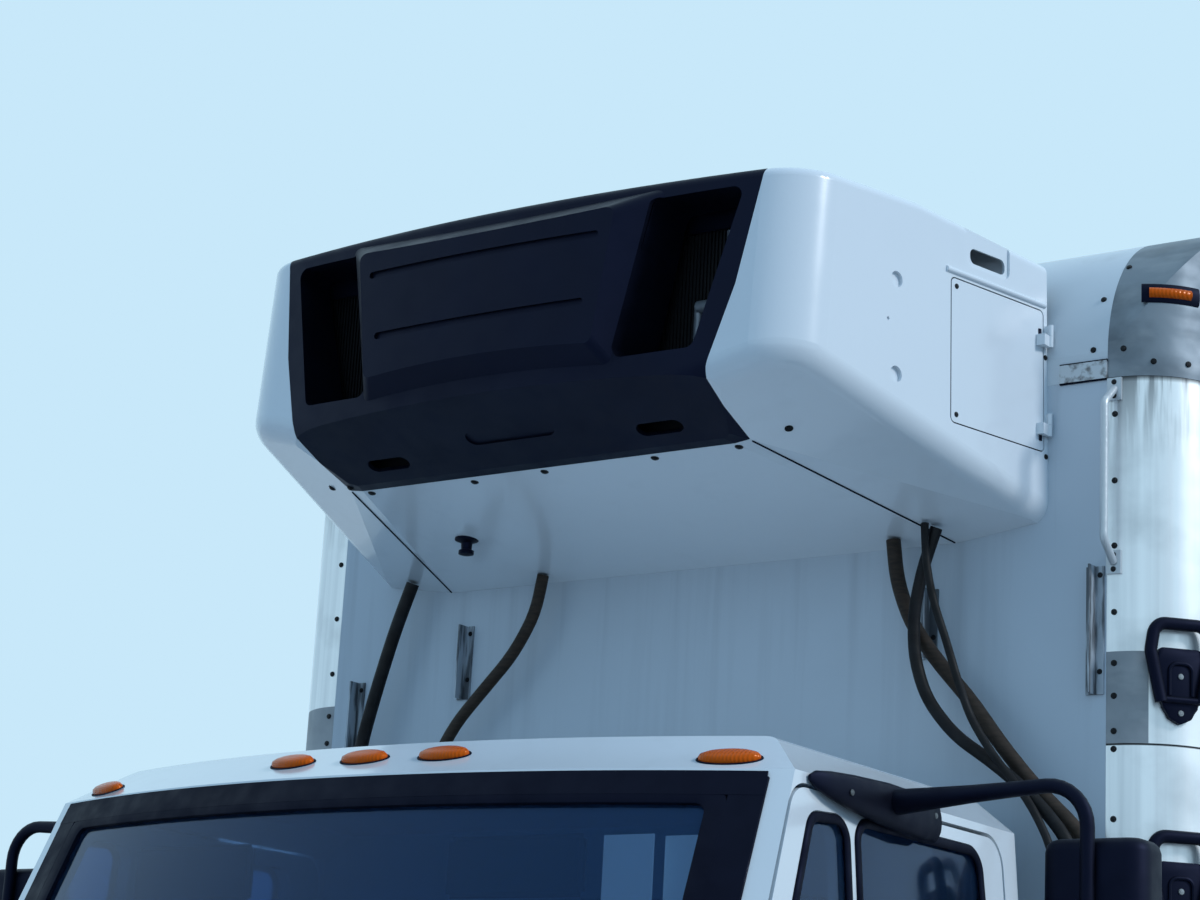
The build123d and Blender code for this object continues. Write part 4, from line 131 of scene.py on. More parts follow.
class Shade(Graph):
    """A material's tree, with the patterns that the finishes share and the shader that ends it."""

    def __init__(self, name: str) -> None:
        """Starts an empty material whose patterns read object coordinates.

        Args:
            name: the material's name.
        """
        self.material = bpy.data.materials.new(name)
        self.material.use_nodes = True
        super().__init__(self.material.node_tree)
        self.tree.nodes.clear()
        self.place = self.add("ShaderNodeTexCoord").outputs["Object"]

    def cloud(
        self, size_mm: float, low: float, high: float, detail: float = 4.0, squeeze: tuple = (1.0, 1.0, 1.0)
    ) -> Mask:
        """Blotches of a real size, as a mask.

        Args:
            size_mm: how wide a blotch is.
            low: the noise level below which the mask is 0.
            high: the noise level above which it is 1.
            detail: how ragged the blotches are.
            squeeze: the pattern's rate along each axis; under 1 it draws the blotches out into runs.

        Returns:
            The mask.
        """
        rates = {0: self.place, 1: squeeze}
        place = self.add("ShaderNodeVectorMath", {"operation": "MULTIPLY"}, rates).outputs[0]
        inputs = {"Vector": place, "Scale": 1000.0 / size_mm, "Detail": detail}
        noise = self.add("ShaderNodeTexNoise", None, inputs).outputs["Fac"]
        levels = {"Value": noise, "From Min": low, "From Max": high}
        return self.add("ShaderNodeMapRange", {"clamp": True}, levels).outputs[0]

    def beyond(self, axis: str, start: float, end: float) -> Mask:
        """A mask that rises from 0 to 1 along an axis.

        Args:
            axis: X, Y or Z.
            start: the coordinate where it is 0.
            end: the coordinate where it reaches 1, on either side of start.

        Returns:
            The mask.
        """
        along = self.add("ShaderNodeSeparateXYZ", None, {0: self.place}).outputs[axis]
        levels = {"Value": along, "From Min": start, "From Max": end}
        return self.add("ShaderNodeMapRange", {"clamp": True}, levels).outputs[0]

    def strongest(self, *terms: tuple) -> Mask:
        """The largest of several masks at each point.

        Args:
            terms: each a tuple whose masks and weights are multiplied first.

        Returns:
            The mask.
        """
        best = None
        for value, *others in terms:
            for other in others:
                value = self.add("ShaderNodeMath", {"operation": "MULTIPLY"}, {0: value, 1: other}).outputs[0]
            if best is not None:
                value = self.add("ShaderNodeMath", {"operation": "MAXIMUM"}, {0: best, 1: value}).outputs[0]
            best = value
        return best

    def layers(self, base: str, *coats: tuple[str, Mask]) -> Mask:
        """A colour with others laid over it.

        Args:
            base: the hex colour at the bottom.
            coats: a hex colour and its mask for each one above.

        Returns:
            The colour.
        """
        colour = linear(base)
        for over, mask in coats:
            inputs = {0: mask, 6: colour, 7: linear(over)}
            colour = self.add("ShaderNodeMix", {"data_type": "RGBA"}, inputs).outputs[2]
        return colour

    def finish(
        self, colour: Mask, worn: Mask, rough: tuple[float, float], height: Mask, depth_mm: float, **constants
    ) -> bpy.types.Material:
        """Ends the tree in a Principled shader.

        Args:
            colour: the base colour.
            worn: the mask that leads the roughness.
            rough: the roughness where that mask is 0 and where it is 1.
            height: the relief's pattern.
            depth_mm: the relief's real depth.
            constants: values for the shader's own sockets, by name with underscores.

        Returns:
            The material.
        """
        levels = {"Value": worn, "To Min": rough[0], "To Max": rough[1]}
        roughness = self.add("ShaderNodeMapRange", None, levels).outputs[0]
        relief = self.add("ShaderNodeBump", None, {"Distance": depth_mm / 1000, "Height": height}).outputs[0]
        inputs = {"Base Color": colour, "Roughness": roughness, "Normal": relief}
        inputs.update({name.replace("_", " "): value for name, value in constants.items()})
        shader = self.add("ShaderNodeBsdfPrincipled", None, inputs)
        self.add("ShaderNodeOutputMaterial", None, {"Surface": shader.outputs[0]})
        return self.material


@dataclass(frozen=True)
class Coated:
    """A painted or gel-coated surface: soft soiling, thin runs of rain dirt and flecks under a clear coat."""

    name: str
    colour: str
    soil: str
    rough: tuple[float, float] = (0.2, 0.55)
    soiling: float = 0.3
    coat: float = 0.4
    hang: tuple[float, float] = (1.0, 0.0)
    hanging: float = 0.0

    def build(self) -> bpy.types.Material:
        """Makes the material.

        Returns:
            The material.
        """
        s = Shade(self.name)
        smears = s.cloud(420, 0.42, 0.72)
        # rain draws dirt into runs about 15 times as long as they are wide
        runs = s.cloud(90, 0.56, 0.85, squeeze=(1, 1, 0.07))
        flecks = s.cloud(9, 0.66, 0.74, 2)
        terms = [(smears, 0.4 * self.soiling), (runs, self.soiling), (flecks, 0.25 * self.soiling)]
        if self.hanging:
            drips = s.cloud(55, 0.5, 0.8, squeeze=(1, 1, 0.035))
            terms.append((drips, s.beyond("Z", *self.hang), self.hanging))
        dirt = s.strongest(*terms)
        worn = s.strongest((dirt, 1.0), (s.cloud(90, 0.2, 0.9, 3), 0.35))
        colour = s.layers(self.colour, (self.soil, dirt))
        # orange peel of a sprayed coat, 7 mm across
        peel = s.cloud(7, 0, 1, 2)
        return s.finish(colour, worn, self.rough, peel, 0.05, Coat_Weight=self.coat, Coat_Roughness=0.12)


@dataclass(frozen=True)
class Sheet:
    """Bare metal: rain-streaked along Z, blotched where it has weathered, with fine rolled grain."""

    name: str
    colour: str
    dull: str
    rough: tuple[float, float] = (0.25, 0.6)
    dents_mm: float = 3.0
    stain: str = "#5B564F"
    staining: float = 0.15

    def build(self) -> bpy.types.Material:
        """Makes the material.

        Returns:
            The material.
        """
        s = Shade(self.name)
        runs = s.cloud(38, 0.36, 0.68, squeeze=(1, 1, 0.03))
        # rolled grain is finer than a millimetre; 3 mm is the finest that still shows
        grain = s.cloud(3, 0.2, 0.8, 2, (1, 1, 0.06))
        worn = s.strongest((runs, 0.75), (s.cloud(160, 0.45, 0.7, 5), 0.8), (grain, 0.4))
        stains = s.strongest((s.cloud(45, 0.58, 0.75, 5), self.staining))
        colour = s.layers(self.colour, (self.dull, worn), (self.stain, stains))
        return s.finish(colour, worn, self.rough, s.cloud(170, 0, 1, 2), self.dents_mm, Metallic=0.85)


@dataclass(frozen=True)
class Moulding:
    """Moulded plastic, rubber or cloth: fine grain, with dust caught in soft blotches."""

    name: str
    colour: str
    dust: str
    rough: tuple[float, float] = (0.42, 0.6)
    grain_mm: float = 1.6
    depth_mm: float = 0.12
    dusting: float = 0.4
    level: float = 0.35
    sheen: str = "#FFFFFF"
    painted_glow: float = 0.0

    def build(self) -> bpy.types.Material:
        """Makes the material.

        Returns:
            The material.
        """
        s = Shade(self.name)
        specks = s.cloud(30, 0.6, 0.8)
        dust = s.strongest((s.cloud(120, 0.42, 0.75), self.dusting), (specks, 0.4 * self.dusting))
        colour = s.layers(self.colour, (self.dust, dust))
        constants = {"Specular_IOR_Level": self.level, "Specular_Tint": linear(self.sheen)}
        # painted light: an emission in the part's own colour
        if self.painted_glow:
            constants.update(Emission_Color=linear(self.colour), Emission_Strength=self.painted_glow)
        worn, grain = s.cloud(60, 0.3, 0.7, 3), s.cloud(self.grain_mm, 0, 1, 2)
        return s.finish(colour, worn, self.rough, grain, self.depth_mm, **constants)


@dataclass(frozen=True)
class Clear:
    """Glass or a lamp lens: a tint, a film of dust and, on a lens, fine ribs."""

    name: str
    colour: str
    film: str
    rough: tuple[float, float] = (0.02, 0.1)
    through: float = 0.9
    rib_mm: float = 0.0
    filming: float = 0.2
    sheen: str = "#FFFFFF"

    def build(self) -> bpy.types.Material:
        """Makes the material.

        Returns:
            The material.
        """
        s = Shade(self.name)
        runs = s.cloud(60, 0.55, 0.9, squeeze=(1, 1, 0.1))
        film = s.strongest((s.cloud(300, 0.5, 0.85), self.filming), (runs, 0.5 * self.filming))
        height = s.cloud(400, 0, 1, 1)
        if self.rib_mm:
            settings = {"wave_type": "BANDS", "bands_direction": "X", "wave_profile": "SIN"}
            # at a scale of 1 the wave's crests are 0.314 m apart
            inputs = {"Vector": s.place, "Scale": 314.0 / self.rib_mm}
            height = s.add("ShaderNodeTexWave", settings, inputs).outputs["Fac"]
        colour = s.layers(self.colour, (self.film, film))
        depth = 0.6 if self.rib_mm else 0.3
        constants = {"Transmission_Weight": self.through, "IOR": 1.5, "Specular_Tint": linear(self.sheen)}
        return s.finish(colour, s.cloud(140, 0.3, 0.75, 3), self.rough, height, depth, **constants)


@dataclass(frozen=True)
class CornerSheets:
    """Mill-finish aluminium rolled round the box's front corners, with its caps and patches."""

    name: str = "weathered_corner_aluminium"
    cap_z: float = 3.396
    patch: tuple[float, float] = (2.573, 2.773)
    patch_x: float = 1.189

    def build(self) -> bpy.types.Material:
        """Makes the material: bright streaked sheet, a duller dented cap above and a grey patch at the step.

        Returns:
            The material.
        """
        s = Shade(self.name)
        cap = s.beyond("Z", self.cap_z, self.cap_z + 0.001)
        low, high = self.patch
        above, below = s.beyond("Z", low - 0.001, low), s.beyond("Z", high + 0.001, high)
        patch = s.strongest((above, below, s.beyond("X", self.patch_x + 0.001, self.patch_x)))
        runs = s.cloud(26, 0.35, 0.7, 5, (1, 1, 0.025))
        # dark water runs start under the cap's edge and fade over 200 mm
        drips = s.cloud(16, 0.45, 0.62, 3, (1, 1, 0.06))
        fade = s.beyond("Z", self.cap_z - 0.196, self.cap_z + 0.004)
        under_cap = s.strongest((drips, fade, s.beyond("Z", self.cap_z + 0.002, self.cap_z)))
        # painted shadow: a dark band along the cap's lower edge that fades over 12 mm down the sheet below it
        shadow = s.beyond("Z", self.cap_z - 0.012, self.cap_z - 0.002)
        edge = s.strongest((shadow, s.beyond("Z", self.cap_z + 0.0015, self.cap_z + 0.0005)))
        joint = s.strongest((s.beyond("Z", low - 0.006, low - 0.004), s.beyond("Z", low, low - 0.001)))
        blotch = s.cloud(130, 0.42, 0.7, 5)
        scuffs = s.cloud(70, 0.5, 0.8, 6, (0.6, 0.6, 1.6))
        colour = s.layers(
            "#F7F9FA",
            ("#BCC1C5", s.strongest((runs, 0.38))),
            ("#9A9FA3", s.strongest((s.cloud(210, 0.5, 0.72, 5), 0.4))),
            ("#8E959D", patch),
            ("#7D8791", cap),
            ("#5F6871", s.strongest((cap, blotch), (patch, blotch, 0.5))),
            ("#A9AFB4", s.strongest((cap, scuffs, 0.35), (patch, scuffs, 0.45))),
            ("#4C5157", s.strongest((under_cap, 0.75))),
            # painted shadow under the cap's edge, and the dark joint at the patch's foot
            ("#24272B", s.strongest((edge, 0.8), (joint, 1.0))),
        )
        worn = s.strongest((cap, 0.8), (patch, 0.9), (runs, 0.7))
        dents = s.strongest(
            (s.cloud(190, 0, 1, 2), 0.25),
            (s.cloud(150, 0, 1, 1.5, (1, 1, 1.5)), cap),
            (s.cloud(60, 0, 1, 1), patch, 0.4),
        )
        return s.finish(colour, worn, (0.28, 0.5), dents, 11.0, Metallic=0.65)


@dataclass(frozen=True)
class Hoses:
    """Extruded rubber hose, and the two older hoses whose cover has weathered brown."""

    name: str = "hose_rubber"
    inboard_x: float = -0.768
    near_wall: float = 0.088

    def build(self) -> bpy.types.Material:
        """Makes the material: near black, with the hoses close to the wall brown and ribbed.

        Returns:
            The material.
        """
        s = Shade(self.name)
        close = s.beyond("Y", WALL_Y - self.near_wall, WALL_Y - self.near_wall + 0.003)
        old = s.strongest((close, s.beyond("X", self.inboard_x, self.inboard_x + 0.003)))
        ribs = s.cloud(7, 0.35, 0.65, 2, (0.2, 0.2, 1))
        colour = s.layers(
            "#07080D",
            ("#171A20", s.cloud(60, 0.45, 0.8, 3)),
            ("#3A2F27", old),
            ("#241E1A", s.strongest((old, ribs, 0.7))),
        )
        return s.finish(colour, s.cloud(40, 0.3, 0.7, 3), (0.5, 0.75), ribs, 0.3, Specular_IOR_Level=0.25)


@dataclass(frozen=True)
class Fittings:
    """Bare aluminium rails and handle, and painted strips that bleed rust down the wall."""

    name: str = "wall_fitting_metal"
    strip_x: float = 1.100
    strip_z: float = 2.967
    rail_x: float = 1.104
    rail_z: float = 3.395

    def build(self) -> bpy.types.Material:
        """Makes the material: pale metal, dark vertical stains on the strips and rust on the rail.

        Returns:
            The material.
        """
        s = Shade(self.name)
        below = s.beyond("Z", self.strip_z + 0.001, self.strip_z)
        strips = s.strongest((below, s.beyond("X", self.strip_x + 0.001, self.strip_x)))
        stains = s.cloud(20, 0.44, 0.56, 4, (1, 1, 0.12))
        rust = s.cloud(24, 0.5, 0.66, 5)
        above = s.beyond("Z", self.rail_z - 0.001, self.rail_z)
        rail = s.strongest((above, s.beyond("X", self.rail_x + 0.001, self.rail_x)))
        colour = s.layers(
            "#C9CED2",
            ("#AFB8C1", strips),
            ("#23272E", s.strongest((strips, stains, 0.8))),
            ("#4A3F38", s.strongest((rail, rust, 0.85))),
        )
        worn = s.strongest((strips, 0.7), (rail, 0.8), (s.cloud(50, 0.3, 0.7), 0.5))
        return s.finish(colour, worn, (0.28, 0.6), s.cloud(14, 0, 1, 3), 0.8, Metallic=0.35)


@dataclass(frozen=True)
class Coil:
    """Aluminium coil behind the intakes, painted near black as shade for the inside of the intakes, with
    sooty blotches and brighter pipes in front of it.
    """

    name: str = "coil_aluminium"
    pipes_y: float = 0.6685

    def build(self) -> bpy.types.Material:
        """Makes the material: near black as painted shade, with a dull gleam, and bare grey metal on the
        pipes.

        Returns:
            The material.
        """
        s = Shade(self.name)
        pipes = s.beyond("Y", WALL_Y - self.pipes_y, WALL_Y - self.pipes_y - 0.001)
        soot = s.cloud(50, 0.35, 0.7)
        # painted shade: the near-black base stands in for the dark inside of the intakes
        colour = s.layers(
            "#1B1E24",
            ("#0D0F13", s.strongest((soot, 0.8))),
            ("#9BA3AE", pipes),
            ("#5A6069", s.strongest((pipes, soot, 0.6))),
        )
        return s.finish(colour, soot, (0.4, 0.65), s.cloud(12, 0, 1, 2), 0.5, Metallic=0.6)


@dataclass(frozen=True)
class RearDoors:
    """White door leaves with galvanised hinges, rods and handles on their outer face."""

    name: str = "rear_door_sheet"
    face_y: float = 4.911

    def build(self) -> bpy.types.Material:
        """Makes the material: painted sheet with faint dirt, and grey crystalline zinc on what stands proud.

        Returns:
            The material.
        """
        s = Shade(self.name)
        zinc = s.beyond("Y", self.face_y + 0.002, self.face_y + 0.003)
        runs = s.cloud(90, 0.56, 0.85, squeeze=(1, 1, 0.07))
        dirt = s.strongest((runs, 0.35), (s.cloud(420, 0.42, 0.72), 0.12))
        crystals = s.cloud(26, 0.35, 0.65, 5)
        colour = s.layers(
            "#DDE2E6",
            ("#8F9599", dirt),
            ("#9DA2A6", zinc),
            ("#6F7478", s.strongest((zinc, crystals, 0.7))),
        )
        worn = s.strongest((dirt, 1.0), (zinc, 0.6), (zinc, crystals, 0.9))
        metal = s.strongest((zinc, 0.85))
        return s.finish(colour, worn, (0.3, 0.6), s.cloud(7, 0, 1, 2), 0.05, Metallic=metal)


class Finish(Enum):
    """Every finish on the truck, named for the real material and how it was made."""

    # glossy moulded shell, nearly clean: broad soft highlights along its rounded creases
    UNIT_SHELL = Coated("white_gel_coat", "#E6ECF1", "#9AA3AC", (0.16, 0.4), 0.1, 0.7)
    # glass-fibre sheet, less glossy than the shell, with grey rain runs below the unit; its base is greyer
    # than the side sheet's, as painted shade
    BOX_SHEET = Coated("white_fibre_sheet", "#CFD7DF", "#79818A", (0.35, 0.65), 0.2, 0.1, (2.2, 3.06), 0.34)
    # pre-painted side sheet: flat sheen and faint vertical dirt
    BOX_SIDE = Coated("white_side_sheet", "#DDE2E6", "#8F9599", (0.3, 0.6), 0.3, 0.2)
    # sprayed enamel under clear coat: sharp reflections of the sky
    CAB_PAINT = Coated("white_cab_enamel", "#E4EAEE", "#959A9F", (0.14, 0.4), 0.12, 0.9)
    # brushed-on chassis black, mostly hidden by road dust
    CHASSIS = Coated("black_chassis_paint", "#17181A", "#575047", (0.4, 0.8), 0.7, 0.0)
    # grey enamel, stone-chipped and half matt
    BUMPER = Coated("grey_bumper_enamel", "#62676C", "#403D3A", (0.3, 0.6), 0.5, 0.3)
    # white wheel enamel with brake dust
    WHEEL = Coated("white_wheel_enamel", "#CDD0D0", "#6B6459", (0.3, 0.7), 0.6, 0.2)
    # grained graphite plastic: reads almost black, with soft light on its edges only; its reflections are
    # tinted blue, a painted sky reflection
    GRILLE = Moulding("graphite_moulding", "#050812", "#10162A", (0.4, 0.55), 1.2, 0.1, 0.25, 0.24, "#98A6F0")
    # injection-moulded black plastic of the mirrors and lamp holders; its reflections are tinted blue, a
    # painted sky reflection
    BLACK = Moulding("black_moulding", "#05060C", "#121620", (0.42, 0.62), 1.4, 0.12, 0.3, 0.26, "#8C9CEB")
    # extruded seal rubber: dull, greyed by weather; its reflections are tinted blue, a painted sky reflection
    RUBBER = Moulding("black_rubber", "#05060C", "#151922", (0.5, 0.75), 2.2, 0.15, 0.3, 0.24, "#8C9CEB")
    # vulcanised tyre rubber under brown road dust
    TYRE = Moulding("tyre_rubber", "#131313", "#46423C", (0.7, 0.9), 2.6, 0.25, 0.6, 0.3)
    # grained cabin plastic
    CABIN = Moulding("grey_cabin_plastic", "#2A3038", "#414952", (0.5, 0.7), 1.8, 0.15, 0.3)
    # woven seat cloth, its yarn drawn 2.4 mm coarse so that it shows
    FABRIC = Moulding("woven_seat_fabric", "#2F3641", "#565C66", (0.8, 0.95), 2.4, 0.5, 0.5)
    # prismatic white tape: pale, with a slight sheen
    PAPER = Moulding("white_reflective_film", "#E3EBEA", "#C3CDCC", (0.3, 0.5), 3.0, 0.04, 0.5)
    # plain card: pale and matt, with a faint painted glow that stands in for the daylight reaching it through
    # the glass
    CARD = Moulding("blank_card", "#DCE8E6", "#B9CBCB", (0.7, 0.85), 3.0, 0.04, 0.5, painted_glow=0.5)
    # laminated safety glass: blue-grey tint, a clear view of the cabin, a film of dust; its reflections are
    # tinted blue, a painted sky reflection
    GLASS = Clear("tinted_safety_glass", "#52749C", "#40628F", (0.02, 0.08), 0.94, 0.0, 0.03, "#68A4F0")
    # pressed lens, clear with ribs
    LENS_CLEAR = Clear("clear_ribbed_lens", "#E6ECEE", "#B9C0C2", (0.04, 0.12), 0.8, 9.0)
    # moulded amber lens: deep orange, brighter where its ribs catch the light
    LENS_AMBER = Clear("amber_ribbed_lens", "#E2600A", "#B04C0C", (0.14, 0.25), 0.12, 7.0, 0.1, "#F2A878")
    # moulded red lens
    LENS_RED = Clear("red_ribbed_lens", "#B5130E", "#7E241C", (0.14, 0.25), 0.12, 7.0)
    # silvered glass at the back of the mirror heads: a sharp image with a trace of dust
    MIRROR = Sheet("silvered_mirror_glass", "#E4E8EB", "#C9CED2", (0.03, 0.12), 0.02, staining=0.05)
    # polished then scratched aluminium of the tank and steps
    TREADPLATE = Sheet("worn_aluminium", "#B8BCBE", "#7B7F82", (0.25, 0.5), 1.5)
    # hot-dip galvanised steel: grey with pale crystals and rust stains
    GALVANISED = Sheet("galvanised_steel", "#A3A8AB", "#77736C", (0.35, 0.65), 2.0, "#6B4B33", 0.35)
    # sand-cast iron: dark, matt and rust-flecked
    CAST = Sheet("cast_iron", "#4A4C50", "#2F2D2B", (0.5, 0.75), 4.0, "#4E392B", 0.3)
    # zinc-plated heads gone dark with dirt
    FASTENER = Sheet("dark_fasteners", "#26282C", "#141517", (0.4, 0.6), 0.4)
    # aluminium rivet heads
    RIVET = Sheet("aluminium_rivets", "#9DA2A6", "#55585B", (0.35, 0.55), 0.4)
    # the parts whose look changes from place to place
    CORNER = CornerSheets()
    HOSE = Hoses()
    FITTING = Fittings()
    COIL = Coil()
    REAR_DOOR = RearDoors()


MATERIALS: dict[Finish, bpy.types.Material] = {}


def material_of(finish: Finish) -> bpy.types.Material:
    """Gives a finish's material, made on its first use.

    Args:
        finish: the finish.

    Returns:
        The material.
    """
    if finish not in MATERIALS:
        MATERIALS[finish] = finish.value.build()
    return MATERIALS[finish]


NODE_FINISH: dict[Finish, tuple[str, ...]] = {
    Finish.CHASSIS: (
        "frame_rails", "cross_members", "leaf_springs", "front_axle", "rear_axle", "drive_shaft",
        "rear_bumper", "battery_box", "knuckle_left", "knuckle_right", "box_floor",
    ),
    Finish.BUMPER: ("front_bumper",),
    Finish.WHEEL: ("front_rim_left", "front_rim_right", "rear_rims_left", "rear_rims_right"),
    Finish.CAB_PAINT: ("cab_shell", "door_left", "door_right", "hood"),
    Finish.BOX_SHEET: ("box_front_wall",),
    Finish.BOX_SIDE: ("box_sides", "box_roof"),
    Finish.REAR_DOOR: ("rear_door_left", "rear_door_right"),
    Finish.CORNER: ("box_corners",),
    Finish.UNIT_SHELL: ("unit_sides", "unit_top", "unit_bottom", "unit_door_left", "unit_door_right"),
    Finish.GRILLE: ("unit_grille",),
    Finish.BLACK: ("mirror_left", "mirror_right", "grille", "headlamps", "corner_steps", "mud_flaps"),
    Finish.CABIN: ("dashboard", "steering_wheel"),
    Finish.FABRIC: ("seats",),
    Finish.GLASS: ("cab_glass", "door_glass_left", "door_glass_right"),
    Finish.LENS_AMBER: ("marker_lamps",),
    Finish.LENS_RED: ("tail_lamps",),
    Finish.TREADPLATE: ("fuel_tank", "cab_steps"),
    Finish.GALVANISED: ("rear_frame", "exhaust"),
    Finish.FITTING: ("wall_fittings",),
    Finish.HOSE: ("hoses",),
    Finish.CAST: ("engine", "radiator"),
    Finish.COIL: ("unit_core",),
}


# meshes


def circle(steps: int) -> list[tuple[float, float]]:
    """Gives the cosine and sine of equal turns.

    Args:
        steps: how many there are.

    Returns:
        A pair for each.
    """
    return [(math.cos(2 * math.pi * i / steps), math.sin(2 * math.pi * i / steps)) for i in range(steps)]


def from_wall(x: float, y: float, z: float, side: int = 1) -> Vector:
    """Gives a place whose Y counts from the box's front wall.

    Args:
        x: across.
        y: from the wall.
        z: the height.
        side: -1 to put it on the other side of the truck.

    Returns:
        The place.
    """
    return Vector((side * x, WALL_Y + y, z))


def facing(points: list[Vector], out: Vector) -> list[Spot]:
    """Pairs points with one direction.

    Args:
        points: the points.
        out: the direction.

    Returns:
        A spot for each point.
    """
    return [(point, out) for point in points]


def piece(
    name: str, mesh: bpy.types.Mesh, finish: Finish, body: str, smooth: bool = False
) -> bpy.types.Object:
    """Links a finished mesh as a piece that rides a body.

    Args:
        name: the piece's name.
        mesh: its mesh, in the row frame.
        finish: its finish.
        body: the CAD body that it rides.
        smooth: whether its faces are shaded smooth by angle.

    Returns:
        The object.
    """
    check = bmesh.new()
    check.from_mesh(mesh)
    bmesh.ops.recalc_face_normals(check, faces=check.faces)
    check.to_mesh(mesh)
    check.free()
    mesh.materials.clear()
    mesh.materials.append(material_of(finish))
    made = bpy.data.objects.new(name, mesh)
    bpy.context.scene.collection.objects.link(made)
    if smooth:
        for face in mesh.polygons:
            face.use_smooth = True
        mesh.set_sharp_from_angle(angle=math.radians(SHARP_DEG))
    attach(made, body)
    LOG.info("%s on %s: %d faces", name, body, len(mesh.polygons))
    return made


def lofted(rings: list[list[Vector]], loop: bool = False) -> bpy.types.Mesh:
    """Joins rings of points by faces.

    Args:
        rings: the rings, each with the same number of points.
        loop: whether the last ring meets the first; otherwise a face closes each end.

    Returns:
        The mesh.
    """
    bm = bmesh.new()
    rows = [[bm.verts.new(point) for point in ring] for ring in rings]
    for i, first in enumerate(rows if loop else rows[:-1]):
        second = rows[(i + 1) % len(rows)]
        for j in range(len(first)):
            k = (j + 1) % len(first)
            bm.faces.new((first[j], first[k], second[k], second[j]))
    if not loop:
        bm.faces.new(rows[0])
        bm.faces.new(reversed(rows[-1]))
    mesh = bpy.data.meshes.new("loft")
    bm.to_mesh(mesh)
    bm.free()
    return mesh


def swept(
    spots: list[Spot], profile: Outline, closed: bool = False, shares: list[float] | None = None
) -> bpy.types.Mesh:
    """Carries a closed section along a path.

    Args:
        spots: the points that the section follows, each with the direction that its second column faces.
        profile: the section as (across, out) pairs.
        closed: whether the path is a loop.
        shares: the section's scale at each point, if it changes.

    Returns:
        The mesh.
    """
    rings = []
    last = len(spots) - 1
    for i, (point, out) in enumerate(spots):
        before = spots[i - 1][0] if closed or i else point
        after = spots[0 if i == last else i + 1][0] if closed or i < last else point
        across = (after - before).normalized().cross(out).normalized()
        share = shares[i] if shares else 1.0
        rings.append([point + across * u * share + out * v * share for u, v in profile])
    return lofted(rings, closed)


def oval(width: float, height: float, steps: int = 12) -> list[tuple[float, float]]:
    """Makes a section with rounded sides.

    Args:
        width: its size across.
        height: its size outwards.
        steps: how many points it has.

    Returns:
        The section as (across, out) pairs round its middle.
    """
    return [(width / 2 * c, height / 2 * s) for c, s in circle(steps)]


def rounded_box(first: Vector, second: Vector, bevel: float) -> bpy.types.Mesh:
    """Makes a plate or block with bevelled edges.

    Args:
        first: one corner.
        second: the opposite corner.
        bevel: the width of the bevel.

    Returns:
        The mesh.
    """
    low, high = Vector(map(min, first, second)), Vector(map(max, first, second))
    bm = bmesh.new()
    bmesh.ops.create_cube(bm, size=1.0)
    bmesh.ops.scale(bm, vec=high - low, verts=bm.verts)
    bmesh.ops.translate(bm, vec=(low + high) / 2, verts=bm.verts)
    bmesh.ops.bevel(bm, geom=bm.edges[:], offset=bevel, segments=3, affect="EDGES")
    mesh = bpy.data.meshes.new("block")
    bm.to_mesh(mesh)
    bm.free()
    return mesh


def joined(meshes: list[bpy.types.Mesh]) -> bpy.types.Mesh:
    """Puts several meshes in one.

    Args:
        meshes: the meshes, which are used up.

    Returns:
        The mesh.
    """
    bm = bmesh.new()
    for mesh in meshes:
        bm.from_mesh(mesh)
        bpy.data.meshes.remove(mesh)
    whole = bpy.data.meshes.new("joined")
    bm.to_mesh(whole)
    bm.free()
    return whole


def rounded_outline(points: Outline, *radii: float) -> list[tuple[float, float]]:
    """Rounds the corners of a closed outline.

    Args:
        points: the corners.
        radii: one radius for all corners, or one for each.

    Returns:
        The outline, with ARC_POINTS points on each corner's arc.
    """
    result = []
    for i, here in enumerate(points):
        radius = radii[i % len(radii)]
        corner = Vector(here)
        back = (Vector(points[i - 1]) - corner).normalized()
        ahead = (Vector(points[(i + 1) % len(points)]) - corner).normalized()
        half = back.angle(ahead) / 2
        middle = corner + (back + ahead).normalized() * (radius / math.sin(half))
        start = corner + back * (radius / math.tan(half)) - middle
        end = corner + ahead * (radius / math.tan(half)) - middle
        turn = start.angle_signed(end)
        for step in range(ARC_POINTS):
            angle = -turn * step / (ARC_POINTS - 1)
            c, s = math.cos(angle), math.sin(angle)
            result.append((middle.x + start.x * c - start.y * s, middle.y + start.x * s + start.y * c))
    return result


def bends(points: Outline, radius: float) -> list[tuple[float, float]]:
    """Rounds an open line's bends, and keeps its two ends.

    Args:
        points: the ends and the bends between them.
        radius: the bends' radius.

    Returns:
        The line.
    """
    arcs = rounded_outline(points, radius)[ARC_POINTS:-ARC_POINTS]
    return [points[0], *arcs, points[-1]]


def refined(outline: Outline, longest: float) -> list[tuple[float, float]]:
    """Adds points to a closed outline, so that it can follow a bowed face.

    Args:
        outline: the outline.
        longest: the longest edge that is left.

    Returns:
        The outline with the added points.
    """
    result = []
    for i, (x, z) in enumerate(outline):
        far_x, far_z = outline[(i + 1) % len(outline)]
        parts = max(1, math.ceil(math.hypot(far_x - x, far_z - z) / longest))
        result += [(x + (far_x - x) * k / parts, z + (far_z - z) * k / parts) for k in range(parts)]
    return result


